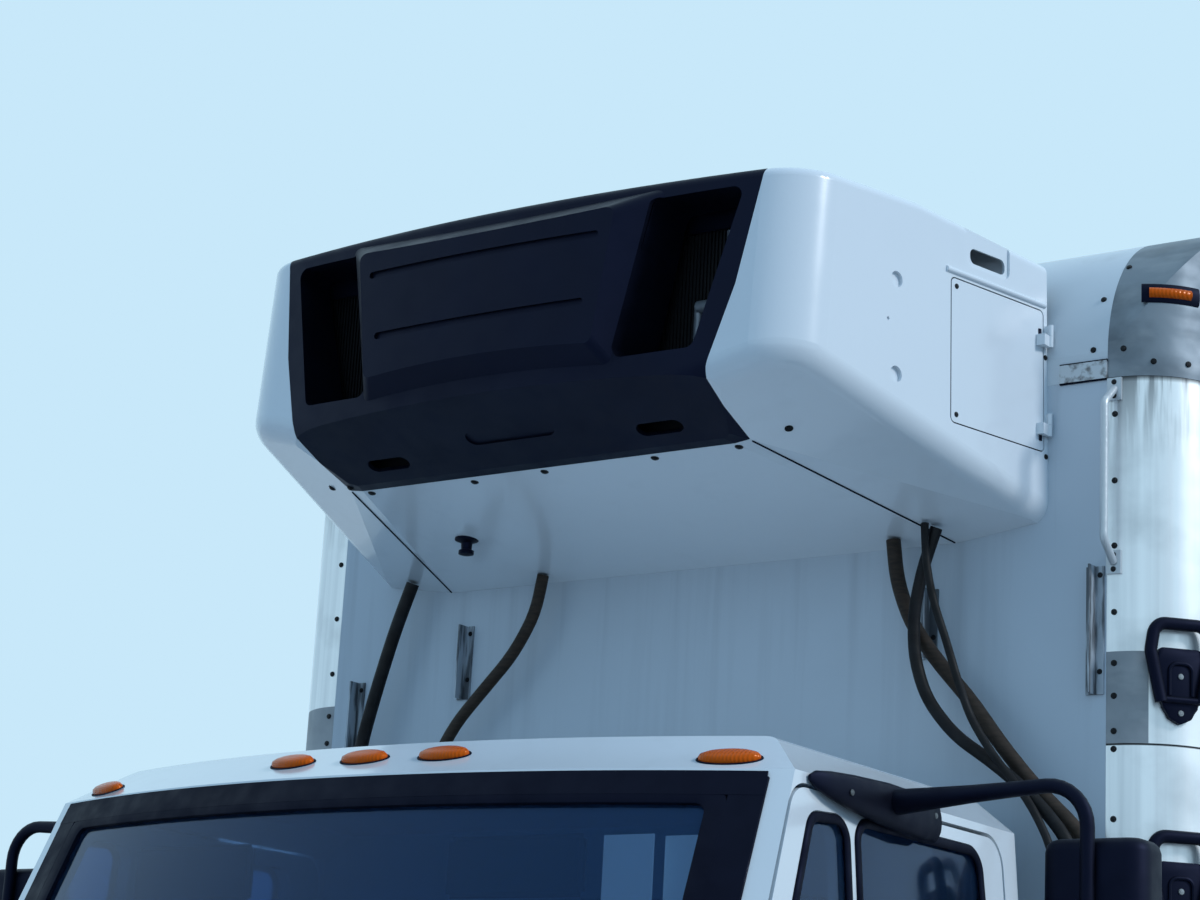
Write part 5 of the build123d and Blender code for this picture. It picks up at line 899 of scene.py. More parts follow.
class Skin:
    """The outer face of CAD nodes, found by rays, so that what lies on it sits exactly."""

    def __init__(self, nodes: dict, *names: str) -> None:
        """Collects the nodes' triangles.

        Args:
            nodes: the frame's nodes.
            names: the nodes to look at.
        """
        points, faces = [], []
        for name in names:
            mesh = nodes[name].data
            first = len(points)
            points += [v.co.copy() for v in mesh.vertices]
            faces += [[first + i for i in face.vertices] for face in mesh.polygons]
        self.tree = BVHTree.FromPolygons(points, faces)

    def hit(self, start: Vector, towards: Vector) -> Spot:
        """Finds where a ray first meets the nodes.

        Args:
            start: where the ray starts, outside the nodes.
            towards: its direction.

        Returns:
            The place and the direction that the face looks in.
        """
        at, out, _, _ = self.tree.ray_cast(start, towards.normalized())
        if at is None:
            raise ValueError(f"no face ahead of {tuple(start)}")
        return at, -out if out.dot(towards) > 0 else out


# what repeats


@dataclass(frozen=True)
class Stud:
    """One kind of fastener head."""

    radius: float
    height: float
    sides: int
    washer: float


class StudKind(Enum):
    """The fasteners on the truck."""

    RIVET = Stud(0.0065, 0.0034, 12, 1.0)
    LARGE_RIVET = Stud(0.0070, 0.004, 12, 1.0)
    LATCH = Stud(0.0062, 0.003, 12, 1.0)
    SCREW = Stud(0.0080, 0.005, 6, 1.2)
    BOLT = Stud(0.011, 0.008, 6, 1.4)
    WHEEL_NUT = Stud(0.016, 0.024, 6, 1.25)


class Repeater:
    """Geometry Nodes that set copies of a small form, baked to one plain mesh for a body."""

    def __init__(self, name: str, inputs: dict[str, str]) -> None:
        """Starts the node tree and names its inputs.

        Args:
            name: the tree's name.
            inputs: the type of each input socket, by its name.
        """
        self.tree = bpy.data.node_groups.new(name, "GeometryNodeTree")
        sockets = self.tree.interface
        sockets.new_socket("Geometry", in_out="INPUT", socket_type="NodeSocketGeometry")
        self.inputs = {}
        for key, kind in {**inputs, "Material": "Material"}.items():
            socket = sockets.new_socket(key, in_out="INPUT", socket_type="NodeSocket" + kind)
            self.inputs[key] = socket.identifier
        sockets.new_socket("Geometry", in_out="OUTPUT", socket_type="NodeSocketGeometry")
        self.graph = Graph(self.tree)
        self.given = self.graph.add("NodeGroupInput").outputs

    def end(self, instances: bpy.types.NodeSocket) -> None:
        """Makes the copies real and gives them their material.

        Args:
            instances: the copies.
        """
        real = self.graph.add("GeometryNodeRealizeInstances", None, {"Geometry": instances})
        inputs = {"Geometry": real.outputs[0], "Material": self.given["Material"]}
        painted = self.graph.add("GeometryNodeSetMaterial", None, inputs)
        self.graph.add("NodeGroupOutput", None, {0: painted.outputs[0]})

    def bake(self, seed: bpy.types.Mesh, values: dict, finish: Finish) -> bpy.types.Mesh:
        """Runs the tree on a mesh and keeps the result as a plain mesh.

        Args:
            seed: the mesh that the tree starts from.
            values: a value for each named input.
            finish: the copies' finish.

        Returns:
            The mesh.
        """
        carrier = bpy.data.objects.new("carrier", seed)
        bpy.context.scene.collection.objects.link(carrier)
        modifier = carrier.modifiers.new("copies", "NODES")
        modifier.node_group = self.tree
        for key, value in {**values, "Material": material_of(finish)}.items():
            modifier[self.inputs[key]] = value
        graph = bpy.context.evaluated_depsgraph_get()
        mesh = bpy.data.meshes.new_from_object(carrier.evaluated_get(graph), depsgraph=graph)
        carrier.modifiers.remove(modifier)
        bpy.data.objects.remove(carrier)
        return mesh


class StudField(Repeater):
    """Fastener heads on listed places: a washer with a two-step head on it."""

    def __init__(self) -> None:
        """Builds the node tree with its named inputs."""
        kinds = {"Radius": "Float", "Height": "Float", "Sides": "Int", "Washer": "Float"}
        super().__init__("fastener_heads", kinds)
        g, given = self.graph, self.given
        # columns: size, the input that it comes from, its share of that input
        shares = (
            ("shoulder", "Radius", 0.86),
            ("crown", "Radius", 0.45),
            ("rim", "Radius", given["Washer"]),
            ("step", "Height", 0.75),
            ("plate", "Height", 0.28),
        )
        sizes = {}
        for key, socket, share in shares:
            product = g.add("ShaderNodeMath", {"operation": "MULTIPLY"}, {0: given[socket], 1: share})
            sizes[key] = product.outputs[0]
        join = g.add("GeometryNodeJoinGeometry")
        for sides, top, bottom, depth in (
            (given["Sides"], sizes["shoulder"], given["Radius"], sizes["step"]),
            (given["Sides"], sizes["crown"], sizes["shoulder"], given["Height"]),
            (14, sizes["rim"], sizes["rim"], sizes["plate"]),
        ):
            inputs = {"Vertices": sides, "Radius Top": top, "Radius Bottom": bottom, "Depth": depth}
            cone = g.add("GeometryNodeMeshCone", {"fill_type": "NGON"}, inputs)
            self.tree.links.new(cone.outputs["Mesh"], join.inputs[0])
        out = g.add("GeometryNodeInputNamedAttribute", {"data_type": "FLOAT_VECTOR"}, {"Name": "facing"})
        inputs = {"Vector": out.outputs["Attribute"]}
        turned = g.add("FunctionNodeAlignRotationToVector", {"axis": "Z"}, inputs)
        inputs = {"Points": given["Geometry"], "Instance": join.outputs[0], "Rotation": turned.outputs[0]}
        self.end(g.add("GeometryNodeInstanceOnPoints", None, inputs).outputs[0])

    def place(self, name: str, kind: StudKind, spots: list[Spot], body: str, finish: Finish) -> None:
        """Adds one field.

        Args:
            name: the piece's name.
            kind: the fastener.
            spots: each head's place and the direction that it faces.
            body: the CAD body that carries them.
            finish: their finish.
        """
        seed = bpy.data.meshes.new(name + "_places")
        seed.from_pydata([tuple(at) for at, _ in spots], [], [])
        attribute = seed.attributes.new("facing", "FLOAT_VECTOR", "POINT")
        for item, (_, out) in zip(attribute.data, spots):
            item.vector = out
        stud = kind.value
        values = {"Radius": stud.radius, "Height": stud.height, "Sides": stud.sides, "Washer": stud.washer}
        piece(name, self.bake(seed, values, finish), finish, body)


class SlatRow(Repeater):
    """Equal slats along a straight run."""

    def __init__(self) -> None:
        """Builds the node tree with its named inputs."""
        super().__init__("slat_row", {"Count": "Int", "First": "Vector", "Step": "Vector", "Size": "Vector"})
        g, given = self.graph, self.given
        run = {"Count": given["Count"], "Start Location": given["First"], "Offset": given["Step"]}
        line = g.add("GeometryNodeMeshLine", {"mode": "OFFSET"}, run)
        slat = g.add("GeometryNodeMeshCube", None, {"Size": given["Size"]})
        inputs = {"Points": line.outputs[0], "Instance": slat.outputs[0]}
        self.end(g.add("GeometryNodeInstanceOnPoints", None, inputs).outputs[0])

    def row(self, count: int, first: tuple, step: tuple, size: tuple, finish: Finish) -> bpy.types.Mesh:
        """Makes one row.

        Args:
            count: how many slats.
            first: the middle of the first.
            step: from one to the next.
            size: each slat's size.
            finish: their finish.

        Returns:
            The mesh.
        """
        values = {"First": first, "Step": step, "Size": size}
        # the modifier takes a vector only where all its numbers are floats
        values = {key: tuple(Vector(value)) for key, value in values.items()}
        return self.bake(bpy.data.meshes.new("slats"), {"Count": count, **values}, finish)


# cab


@dataclass(frozen=True)
class Cab:
    """Seals round the glass, lamps, visors, cards and wipers; sizes as in the CAD source, from the wall."""

    half: float = 1.010
    tumble: float = 0.050
    belt_z: float = 1.740
    roof_edge_z: float = 2.362
    screen_base_y: float = -1.505
    screen_top_y: float = -1.228
    forehead_top_y: float = -1.085
    top_z: float = 2.446
    screen_bow: float = 0.160
    screen_half: float = 0.918
    rear_wall_y: float = -0.150
    header_z: float = 2.330
    pillar_foot: tuple[float, float] = (0.914, 1.790)
    pillar_head: tuple[float, float] = (0.886, 2.346)
    lamp_half_length: float = 0.058
    lamp_half_height: float = 0.0128
    rear_corner: float = 0.050
    vent_corner: float = 0.040
    window_corner: float = 0.045
    screen_corner: float = 0.060
    longest_edge: float = 0.060
    gasket_long: float = 1.04
    gasket_tall: float = 1.10
    wiper_z: float = 1.772
    wiper_rise: float = 0.055
    wiper_lift: float = 0.012
    wiper_bow: float = 0.010
    arm_lift: float = 0.014

    # columns of the outlines: from the wall or across, height
    VENT = ((-1.196, 1.800), (-1.000, 2.282), (-0.868, 2.290), (-0.868, 1.800))
    WINDOW = ((-0.828, 1.800), (-0.828, 2.296), (-0.322, 2.300), (-0.288, 1.800))
    SCREEN = ((-0.878, 1.800), (-0.850, 2.322), (0.850, 2.322), (0.878, 1.800))
    REAR_LIGHT = ((-0.560, 1.850), (-0.560, 2.230), (0.560, 2.230), (0.560, 1.850))
    # columns of the sections: across, out
    SEAL = ((-0.020, -0.006), (-0.012, 0.005), (0.024, 0.0055), (0.034, 0.002), (0.034, -0.006))
    HEADER = ((-0.028, 0.001), (-0.026, 0.0058), (0.026, 0.0058), (0.028, 0.001))
    PILLAR = ((-0.036, 0.001), (-0.034, 0.0052), (0.034, 0.0052), (0.036, 0.001))
    # sizes of the oval sections: across, out, points
    REAR_SEAL = (0.030, 0.014)
    WINDOW_SEAL = (0.020, 0.012)
    LAMP_GASKET = (0.005, 0.005, 8)
    WIPER_BLADE = (0.012, 0.018, 8)
    WIPER_ARM = (0.016, 0.010, 8)
    # columns: across, height
    LAMPS = ((-0.200, 2.405), (0.000, 2.405), (0.200, 2.405), (0.820, 2.385), (-0.820, 2.385))
    # columns: share of the lens's oval, height above the forehead
    DOME = ((1.0, 0.001), (1.0, 0.006), (0.93, 0.011), (0.74, 0.0145), (0.42, 0.0165))
    # columns: places across, height, distance behind the screen, half sizes, bevel
    VISORS = ((-0.420, 0.420), 2.175, 0.100, (0.165, 0.012, 0.060), 0.010)
    CARDS = ((0.662, 0.780), 2.172, 0.080, (0.0575, 0.0015, 0.062), 0.001)
    # columns: where each wiper's foot and tip are, across
    WIPERS = ((-0.300, -0.820), (0.420, -0.100))

    def side_at(self, side: int, y: float, z: float) -> Vector:
        """Finds a place on a door's outer face.

        Args:
            side: 1 for the left, -1 for the right.
            y: from the wall.
            z: the height.

        Returns:
            The place.
        """
        x = self.half - self.tumble * max(z - self.belt_z, 0) / (self.roof_edge_z - self.belt_z)
        return from_wall(x, y, z, side)

    def front_at(self, x: float, z: float, proud: float = 0.0) -> Spot:
        """Finds a place on the windscreen or, above it, on the forehead; both are bowed and lean back.

        Args:
            x: across.
            z: the height.
            proud: how far in front of the face.

        Returns:
            The place and the outward direction.
        """
        low_y, low_z, high_y, high_z = self.screen_base_y, self.belt_z, self.screen_top_y, self.roof_edge_z
        if z >= self.roof_edge_z:
            low_y, low_z, high_y, high_z = high_y, high_z, self.forehead_top_y, self.top_z
        rise = Vector((0, high_y - low_y, high_z - low_z)).normalized()
        bow = self.screen_bow * rise.z
        radius = (self.screen_half**2 + bow**2) / (2 * bow)
        sag = radius - math.sqrt(radius**2 - x**2)
        along = (z - low_z + rise.y * sag) / rise.z
        out = Vector((x, -(radius - sag) * rise.z, (radius - sag) * rise.y)).normalized()
        return from_wall(x, low_y + rise.z * sag + rise.y * along, z) + out * proud, out

    def build(self) -> None:
        """Makes the cab's trim."""
        self.screen_frame()
        outline = rounded_outline(self.REAR_LIGHT, self.rear_corner)
        back = [from_wall(x, self.rear_wall_y, z) for x, z in outline]
        seal = swept(facing(back, -AHEAD), oval(*self.REAR_SEAL), True)
        piece("rear_light_seal", seal, Finish.RUBBER, "root", True)
        for side, end in SIDES:
            out = Vector((side * (self.roof_edge_z - self.belt_z), 0, self.tumble)).normalized()
            seals = []
            for outline, radius in ((self.VENT, self.vent_corner), (self.WINDOW, self.window_corner)):
                path = [self.side_at(side, y, z) for y, z in rounded_outline(outline, radius)]
                seals.append(swept(facing(path, out), oval(*self.WINDOW_SEAL), True))
            piece(f"window_seals_{end}", joined(seals), Finish.RUBBER, f"door_{end}", True)
        self.lamps()
        piece("sun_visors", self.behind_screen(*self.VISORS), Finish.CABIN, "root", True)
        piece("blank_cards", self.behind_screen(*self.CARDS), Finish.CARD, "root")
        self.wipers()

    def screen_frame(self) -> None:
        """Makes the windscreen's seal, its broad black header and the black bands along the pillars."""
        outline = refined(rounded_outline(self.SCREEN, self.screen_corner), self.longest_edge)
        seal = swept([self.front_at(x, z) for x, z in outline], self.SEAL, True)
        piece("windscreen_seal", seal, Finish.RUBBER, "root", True)
        header = [self.front_at(self.screen_half * i / 16, self.header_z) for i in range(-16, 17)]
        parts = [swept(header, self.HEADER)]
        foot, head = Vector(self.pillar_foot), Vector(self.pillar_head)
        for side, _ in SIDES:
            pillar = [foot.lerp(head, i / 12) for i in range(13)]
            parts.append(swept([self.front_at(side * x, z) for x, z in pillar], self.PILLAR))
        piece("windscreen_bands", joined(parts), Finish.RUBBER, "root", True)

    def lamp_ring(self, x: float, z: float, long: float, tall: float, proud: float) -> list[Spot]:
        """Gives an oval of places round a forehead lamp.

        Args:
            x: the lamp's middle, across.
            z: its height.
            long: the oval's share of the lens's length.
            tall: its share of the lens's height.
            proud: how far in front of the forehead.

        Returns:
            The places.
        """
        half_length, half_height = self.lamp_half_length * long, self.lamp_half_height * tall
        return [self.front_at(x + half_length * c, z + half_height * s, proud) for c, s in circle(32)]

    def lamps(self) -> None:
        """Makes oval domed lenses on the forehead in place of the plain ones, each on a thin dark gasket."""
        lenses, gaskets = [], []
        for x, z in self.LAMPS:
            rings = [self.lamp_ring(x, z, share, share, proud) for share, proud in self.DOME]
            lenses.append(lofted([[at for at, _ in ring] for ring in rings]))
            edge = self.lamp_ring(x, z, self.gasket_long, self.gasket_tall, 0.0)
            gaskets.append(swept(edge, oval(*self.LAMP_GASKET), True))
        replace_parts(piece("oval_lamps", joined(lenses), Finish.LENS_AMBER, "root", True), "marker_lamps")
        piece("lamp_gaskets", joined(gaskets), Finish.RUBBER, "root", True)

    def behind_screen(
        self, places: tuple, z: float, back: float, half: tuple, bevel: float
    ) -> bpy.types.Mesh:
        """Makes upright plates behind the windscreen.

        Args:
            places: their middles, across.
            z: their middles' height.
            back: their distance behind the screen.
            half: their half sizes.
            bevel: the bevel of their edges.

        Returns:
            The mesh.
        """
        plates = []
        for x in places:
            middle = self.front_at(x, z)[0] + Vector((0, back, 0))
            plates.append(rounded_box(middle - Vector(half), middle + Vector(half), bevel))
        return joined(plates)

    def wipers(self) -> None:
        """Makes two wiper arms with their blades, parked at the foot of the screen."""
        parts = []
        for foot_x, tip_x in self.WIPERS:
            blade = []
            for share in (i / 8 for i in range(9)):
                bowed = self.wiper_lift + self.wiper_bow * math.sin(math.pi * share)
                x = foot_x + (tip_x - foot_x) * share
                blade.append(self.front_at(x, self.wiper_z + self.wiper_rise * share, bowed))
            out = blade[0][1]
            parts.append(swept(blade, oval(*self.WIPER_BLADE)))
            arm = [(at + out * self.arm_lift, out) for at, _ in blade[:6]]
            parts.append(swept(arm, oval(*self.WIPER_ARM)))
        piece("wipers", joined(parts), Finish.BLACK, "root", True)


@dataclass(frozen=True)
class Mirrors:
    """Mirrors in place of the plain ones: cast shoe, arm tapering from its socket, moulded heads, glass."""

    cab: Cab
    studs: StudField
    out_x: float = 1.420
    arm_y: float = -0.772
    root_y: float = -0.745
    root_x: float = 0.972
    root_z: float = 2.340
    top_z: float = 2.362
    low_x: float = 1.013
    low_z: float = 1.640
    bend: float = 0.080
    tube: float = 0.028
    head_half: float = 0.105
    head_depth: float = 0.095
    head_behind: float = 0.055
    head_front_corner: float = 0.044
    head_back_corner: float = 0.012
    glass_half: float = 0.088
    glass_inset: float = 0.020
    glass_half_thick: float = 0.0015
    glass_bevel: float = 0.0012
    foot_y: tuple[float, float] = (-0.800, -0.690)
    foot_half_height: float = 0.043
    foot_sink: float = 0.0025
    foot_thick: float = 0.023
    foot_bevel: float = 0.008
    # how far the shoe stands off the door, its half depth as a share of its thickness, and the power
    # of its rounded section
    shoe_gap: float = 0.0035
    shoe_share: float = 0.27
    squareness: float = 2.6
    shoe_bolt_z: float = 2.338

    # columns: low and high end of each head
    HEADS = ((1.900, 2.262), (1.700, 1.870))
    # columns: from the wall, height of the middle, height, thickness
    SHOE = (
        (-1.012, 2.352, 0.012, 0.012),
        (-0.998, 2.351, 0.032, 0.030),
        (-0.955, 2.347, 0.050, 0.048),
        (-0.880, 2.342, 0.068, 0.064),
        (-0.760, 2.337, 0.084, 0.084),
        (-0.620, 2.331, 0.090, 0.080),
        (-0.560, 2.329, 0.082, 0.070),
        (-0.538, 2.329, 0.056, 0.052),
        (-0.530, 2.329, 0.020, 0.020),
    )
    # columns: from the wall, the shoe's thickness there
    SHOE_BOLTS = ((-0.905, 0.0605), (-0.585, 0.0742))
    # columns: share of the way to the first bend, scale of the tube
    SOCKET = ((0.0, 1.85), (0.12, 1.80), (0.3, 1.55), (0.55, 1.25), (0.8, 1.08))
    # columns: height from an end of the head, how far its outline draws in
    ROUNDING = ((0.0, 0.022), (0.004, 0.010), (0.012, 0.003), (0.024, 0.0))

    def arm(self, side: int) -> bpy.types.Mesh:
        """Makes the loop that carries the heads.

        Args:
            side: 1 for the left, -1 for the right.

        Returns:
            The mesh.
        """
        line = [(self.root_x, self.root_z), (self.out_x, self.top_z)]
        line += [(self.out_x, self.low_z), (self.low_x, self.low_z)]
        first, *rest = bends(line, self.bend)
        start, bend = Vector(first), Vector(rest[0])
        route = [start.lerp(bend, share) for share, _ in self.SOCKET] + rest
        shares = [scale for _, scale in self.SOCKET] + [1.0] * len(rest)
        path = []
        for x, z in route:
            outwards = min(max((x - self.root_x) / (self.out_x - self.bend - self.root_x), 0.0), 1.0)
            path.append(from_wall(x, self.root_y + (self.arm_y - self.root_y) * outwards, z, side))
        return swept(facing(path, AHEAD), oval(self.tube, self.tube, 20), False, shares)

    def head(self, side: int, low_z: float, high_z: float) -> bpy.types.Mesh:
        """Makes a head's shell, round in front and square behind, where the glass sits.

        Args:
            side: 1 for the left, -1 for the right.
            low_z: its lower end.
            high_z: its upper end.

        Returns:
            The mesh.
        """
        middle = from_wall(self.out_x, self.arm_y + self.head_behind, 0, side)
        heights = [(low_z + rise, inset) for rise, inset in self.ROUNDING]
        heights += [(high_z - drop, inset) for drop, inset in reversed(self.ROUNDING)]
        rings = []
        for z, inset in heights:
            across, deep = self.head_half - inset, self.head_depth / 2 - inset
            front, back = self.head_front_corner - inset, self.head_back_corner
            box = [(-across, -deep), (-across, deep), (across, deep), (across, -deep)]
            outline = rounded_outline(box, front, back, back, front)
            rings.append([middle + Vector((u, v, z)) for u, v in outline])
        return lofted(rings)

    def shoe(self, side: int) -> bpy.types.Mesh:
        """Makes the casting on the door's upper frame.

        Args:
            side: 1 for the left, -1 for the right.

        Returns:
            The mesh.
        """
        rings = []
        power = self.squareness
        for y, z, height, depth in self.SHOE:
            foot = self.cab.side_at(side, y, z)
            ring = []
            for u, v in circle(32):
                # a superellipse: flatter faces than an oval, with soft corners
                square = (abs(u) ** power + abs(v) ** power) ** (-1 / power)
                outwards = self.shoe_gap + depth * self.shoe_share * (1 + u * square)
                ring.append(foot + Vector((side * outwards, 0, v * square * height / 2)))
            rings.append(ring)
        return lofted(rings)

    def build(self) -> None:
        """Makes both mirrors."""
        for side, end in SIDES:
            door = f"door_{end}"
            parts = [self.arm(side), self.shoe(side)]
            parts += [self.head(side, low, high) for low, high in self.HEADS]
            near_y, far_y = self.foot_y
            inner = from_wall(self.low_x - self.foot_sink, near_y, self.low_z - self.foot_half_height, side)
            outer = from_wall(self.low_x + self.foot_thick, far_y, self.low_z + self.foot_half_height, side)
            parts.append(rounded_box(inner, outer, self.foot_bevel))
            shell = piece(f"mirror_shell_{end}", joined(parts), Finish.BLACK, door, True)
            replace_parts(shell, f"mirror_{end}")
            back = self.arm_y + self.head_behind + self.head_depth / 2
            near_y, far_y = back - self.glass_half_thick, back + self.glass_half_thick
            panes = []
            for low, high in self.HEADS:
                near = from_wall(self.out_x - self.glass_half, near_y, low + self.glass_inset, side)
                far = from_wall(self.out_x + self.glass_half, far_y, high - self.glass_inset, side)
                panes.append(rounded_box(near, far, self.glass_bevel))
            piece(f"mirror_glass_{end}", joined(panes), Finish.MIRROR, door)
            out = Vector((side, 0, 0))
            bolts = []
            for y, depth in self.SHOE_BOLTS:
                proud = self.shoe_gap + 2 * self.shoe_share * depth
                bolts.append(self.cab.side_at(side, y, self.shoe_bolt_z) + out * proud)
            spots = facing(bolts, out)
            self.studs.place(f"mirror_shoe_bolts_{end}", StudKind.LATCH, spots, door, Finish.RIVET)


# bonnet


@dataclass(frozen=True)
class Bonnet:
    """Wire screen behind the grille's bars, and lamps on the headlamp blocks; sizes as in the CAD source."""

    slats: SlatRow
    opening_half: float = 0.4377
    opening_z: tuple[float, float] = (0.8923, 1.2977)
    screen_y: float = -4.8225
    screen_thick: float = 0.002
    screen_gap: float = 0.0005
    screen_bevel: float = 0.0008
    wire_pitch: float = 0.012
    wire: float = 0.0024
    upright_deep: float = 0.002
    level_deep: float = 0.0026
    lamp_y: float = -4.849
    lamp_z: float = 1.025
    lamp_radius: float = 0.050
    bezel_corner: float = 0.030
    bezel_ahead: float = 0.001
    rim_ahead: float = 0.004

    # where the round lamps stand, across
    LAMPS = (0.694, 0.806)
    # columns: across, height of the bezel round each pair
    BEZEL = ((0.634, 0.944), (0.634, 1.106), (0.866, 1.106), (0.866, 0.944))
    # columns: share of the lamp's radius, distance ahead of the block
    BOWL = ((0.98, 0.0003), (0.96, 0.0060), (0.70, 0.0022), (0.30, 0.0012), (0.05, 0.0010))
    LENS = ((0.95, 0.0070), (0.94, 0.0110), (0.80, 0.0160), (0.52, 0.0200), (0.18, 0.0215))
    # sizes of the oval sections: across, out
    BEZEL_BAR = (0.020, 0.014)
    RIM_BAR = (0.007, 0.020)

    def ring(self, x: float, share: float, ahead: float) -> list[Vector]:
        """Gives a circle of places round a lamp.

        Args:
            x: the lamp's middle, across.
            share: the circle's share of its radius.
            ahead: the distance ahead of the block.

        Returns:
            The places.
        """
        radius = self.lamp_radius * share
        y = self.lamp_y - ahead
        return [Vector((x + radius * c, y, self.lamp_z + radius * s)) for c, s in circle(28)]

    def build(self) -> None:
        """Makes the screen and the lamps."""
        self.screen()
        bowls, lenses, frames = [], [], []
        for side, _ in SIDES:
            outline = rounded_outline(self.BEZEL, self.bezel_corner)
            frame = [Vector((side * x, self.lamp_y - self.bezel_ahead, z)) for x, z in outline]
            frames.append(swept(facing(frame, AHEAD), oval(*self.BEZEL_BAR), True))
            for x in self.LAMPS:
                bowls.append(lofted([self.ring(side * x, *row) for row in self.BOWL]))
                lenses.append(lofted([self.ring(side * x, *row) for row in self.LENS]))
                rim = facing(self.ring(side * x, 1.0, self.rim_ahead), AHEAD)
                frames.append(swept(rim, oval(*self.RIM_BAR), True))
        piece("headlamp_bezels", joined(frames), Finish.TREADPLATE, "hood", True)
        piece("headlamp_bowls", joined(bowls), Finish.MIRROR, "hood", True)
        piece("headlamp_lenses", joined(lenses), Finish.LENS_CLEAR, "hood", True)

    def screen(self) -> None:
        """Makes the wire screen, and a dark plate behind it that paints the shade inside the grille."""
        low_z, high_z = self.opening_z
        gap = self.screen_gap
        wide, tall = 2 * self.opening_half, high_z - low_z
        y, pitch, wire = self.screen_y - self.screen_thick, self.wire_pitch, self.wire
        across, up = int(wide / pitch), int(tall / pitch)
        first = (-pitch * (across - 1) / 2, y, (low_z + high_z) / 2)
        size = (wire, self.upright_deep, tall - 2 * gap)
        uprights = self.slats.row(across, first, (pitch, 0, 0), size, Finish.BLACK)
        first = (0, y, (low_z + high_z - pitch * (up - 1)) / 2)
        size = (wide - 2 * gap, self.level_deep, wire)
        level = self.slats.row(up, first, (0, 0, pitch), size, Finish.BLACK)
        # painted shade: a solid dark plate closes the opening behind the wire
        half = self.opening_half - gap
        low = Vector((-half, self.screen_y, low_z + gap))
        high = Vector((half, self.screen_y + self.screen_thick, high_z - gap))
        shade_backing = rounded_box(low, high, self.screen_bevel)
        piece("grille_screen", joined([uprights, level, shade_backing]), Finish.BLACK, "hood")


# cooling unit


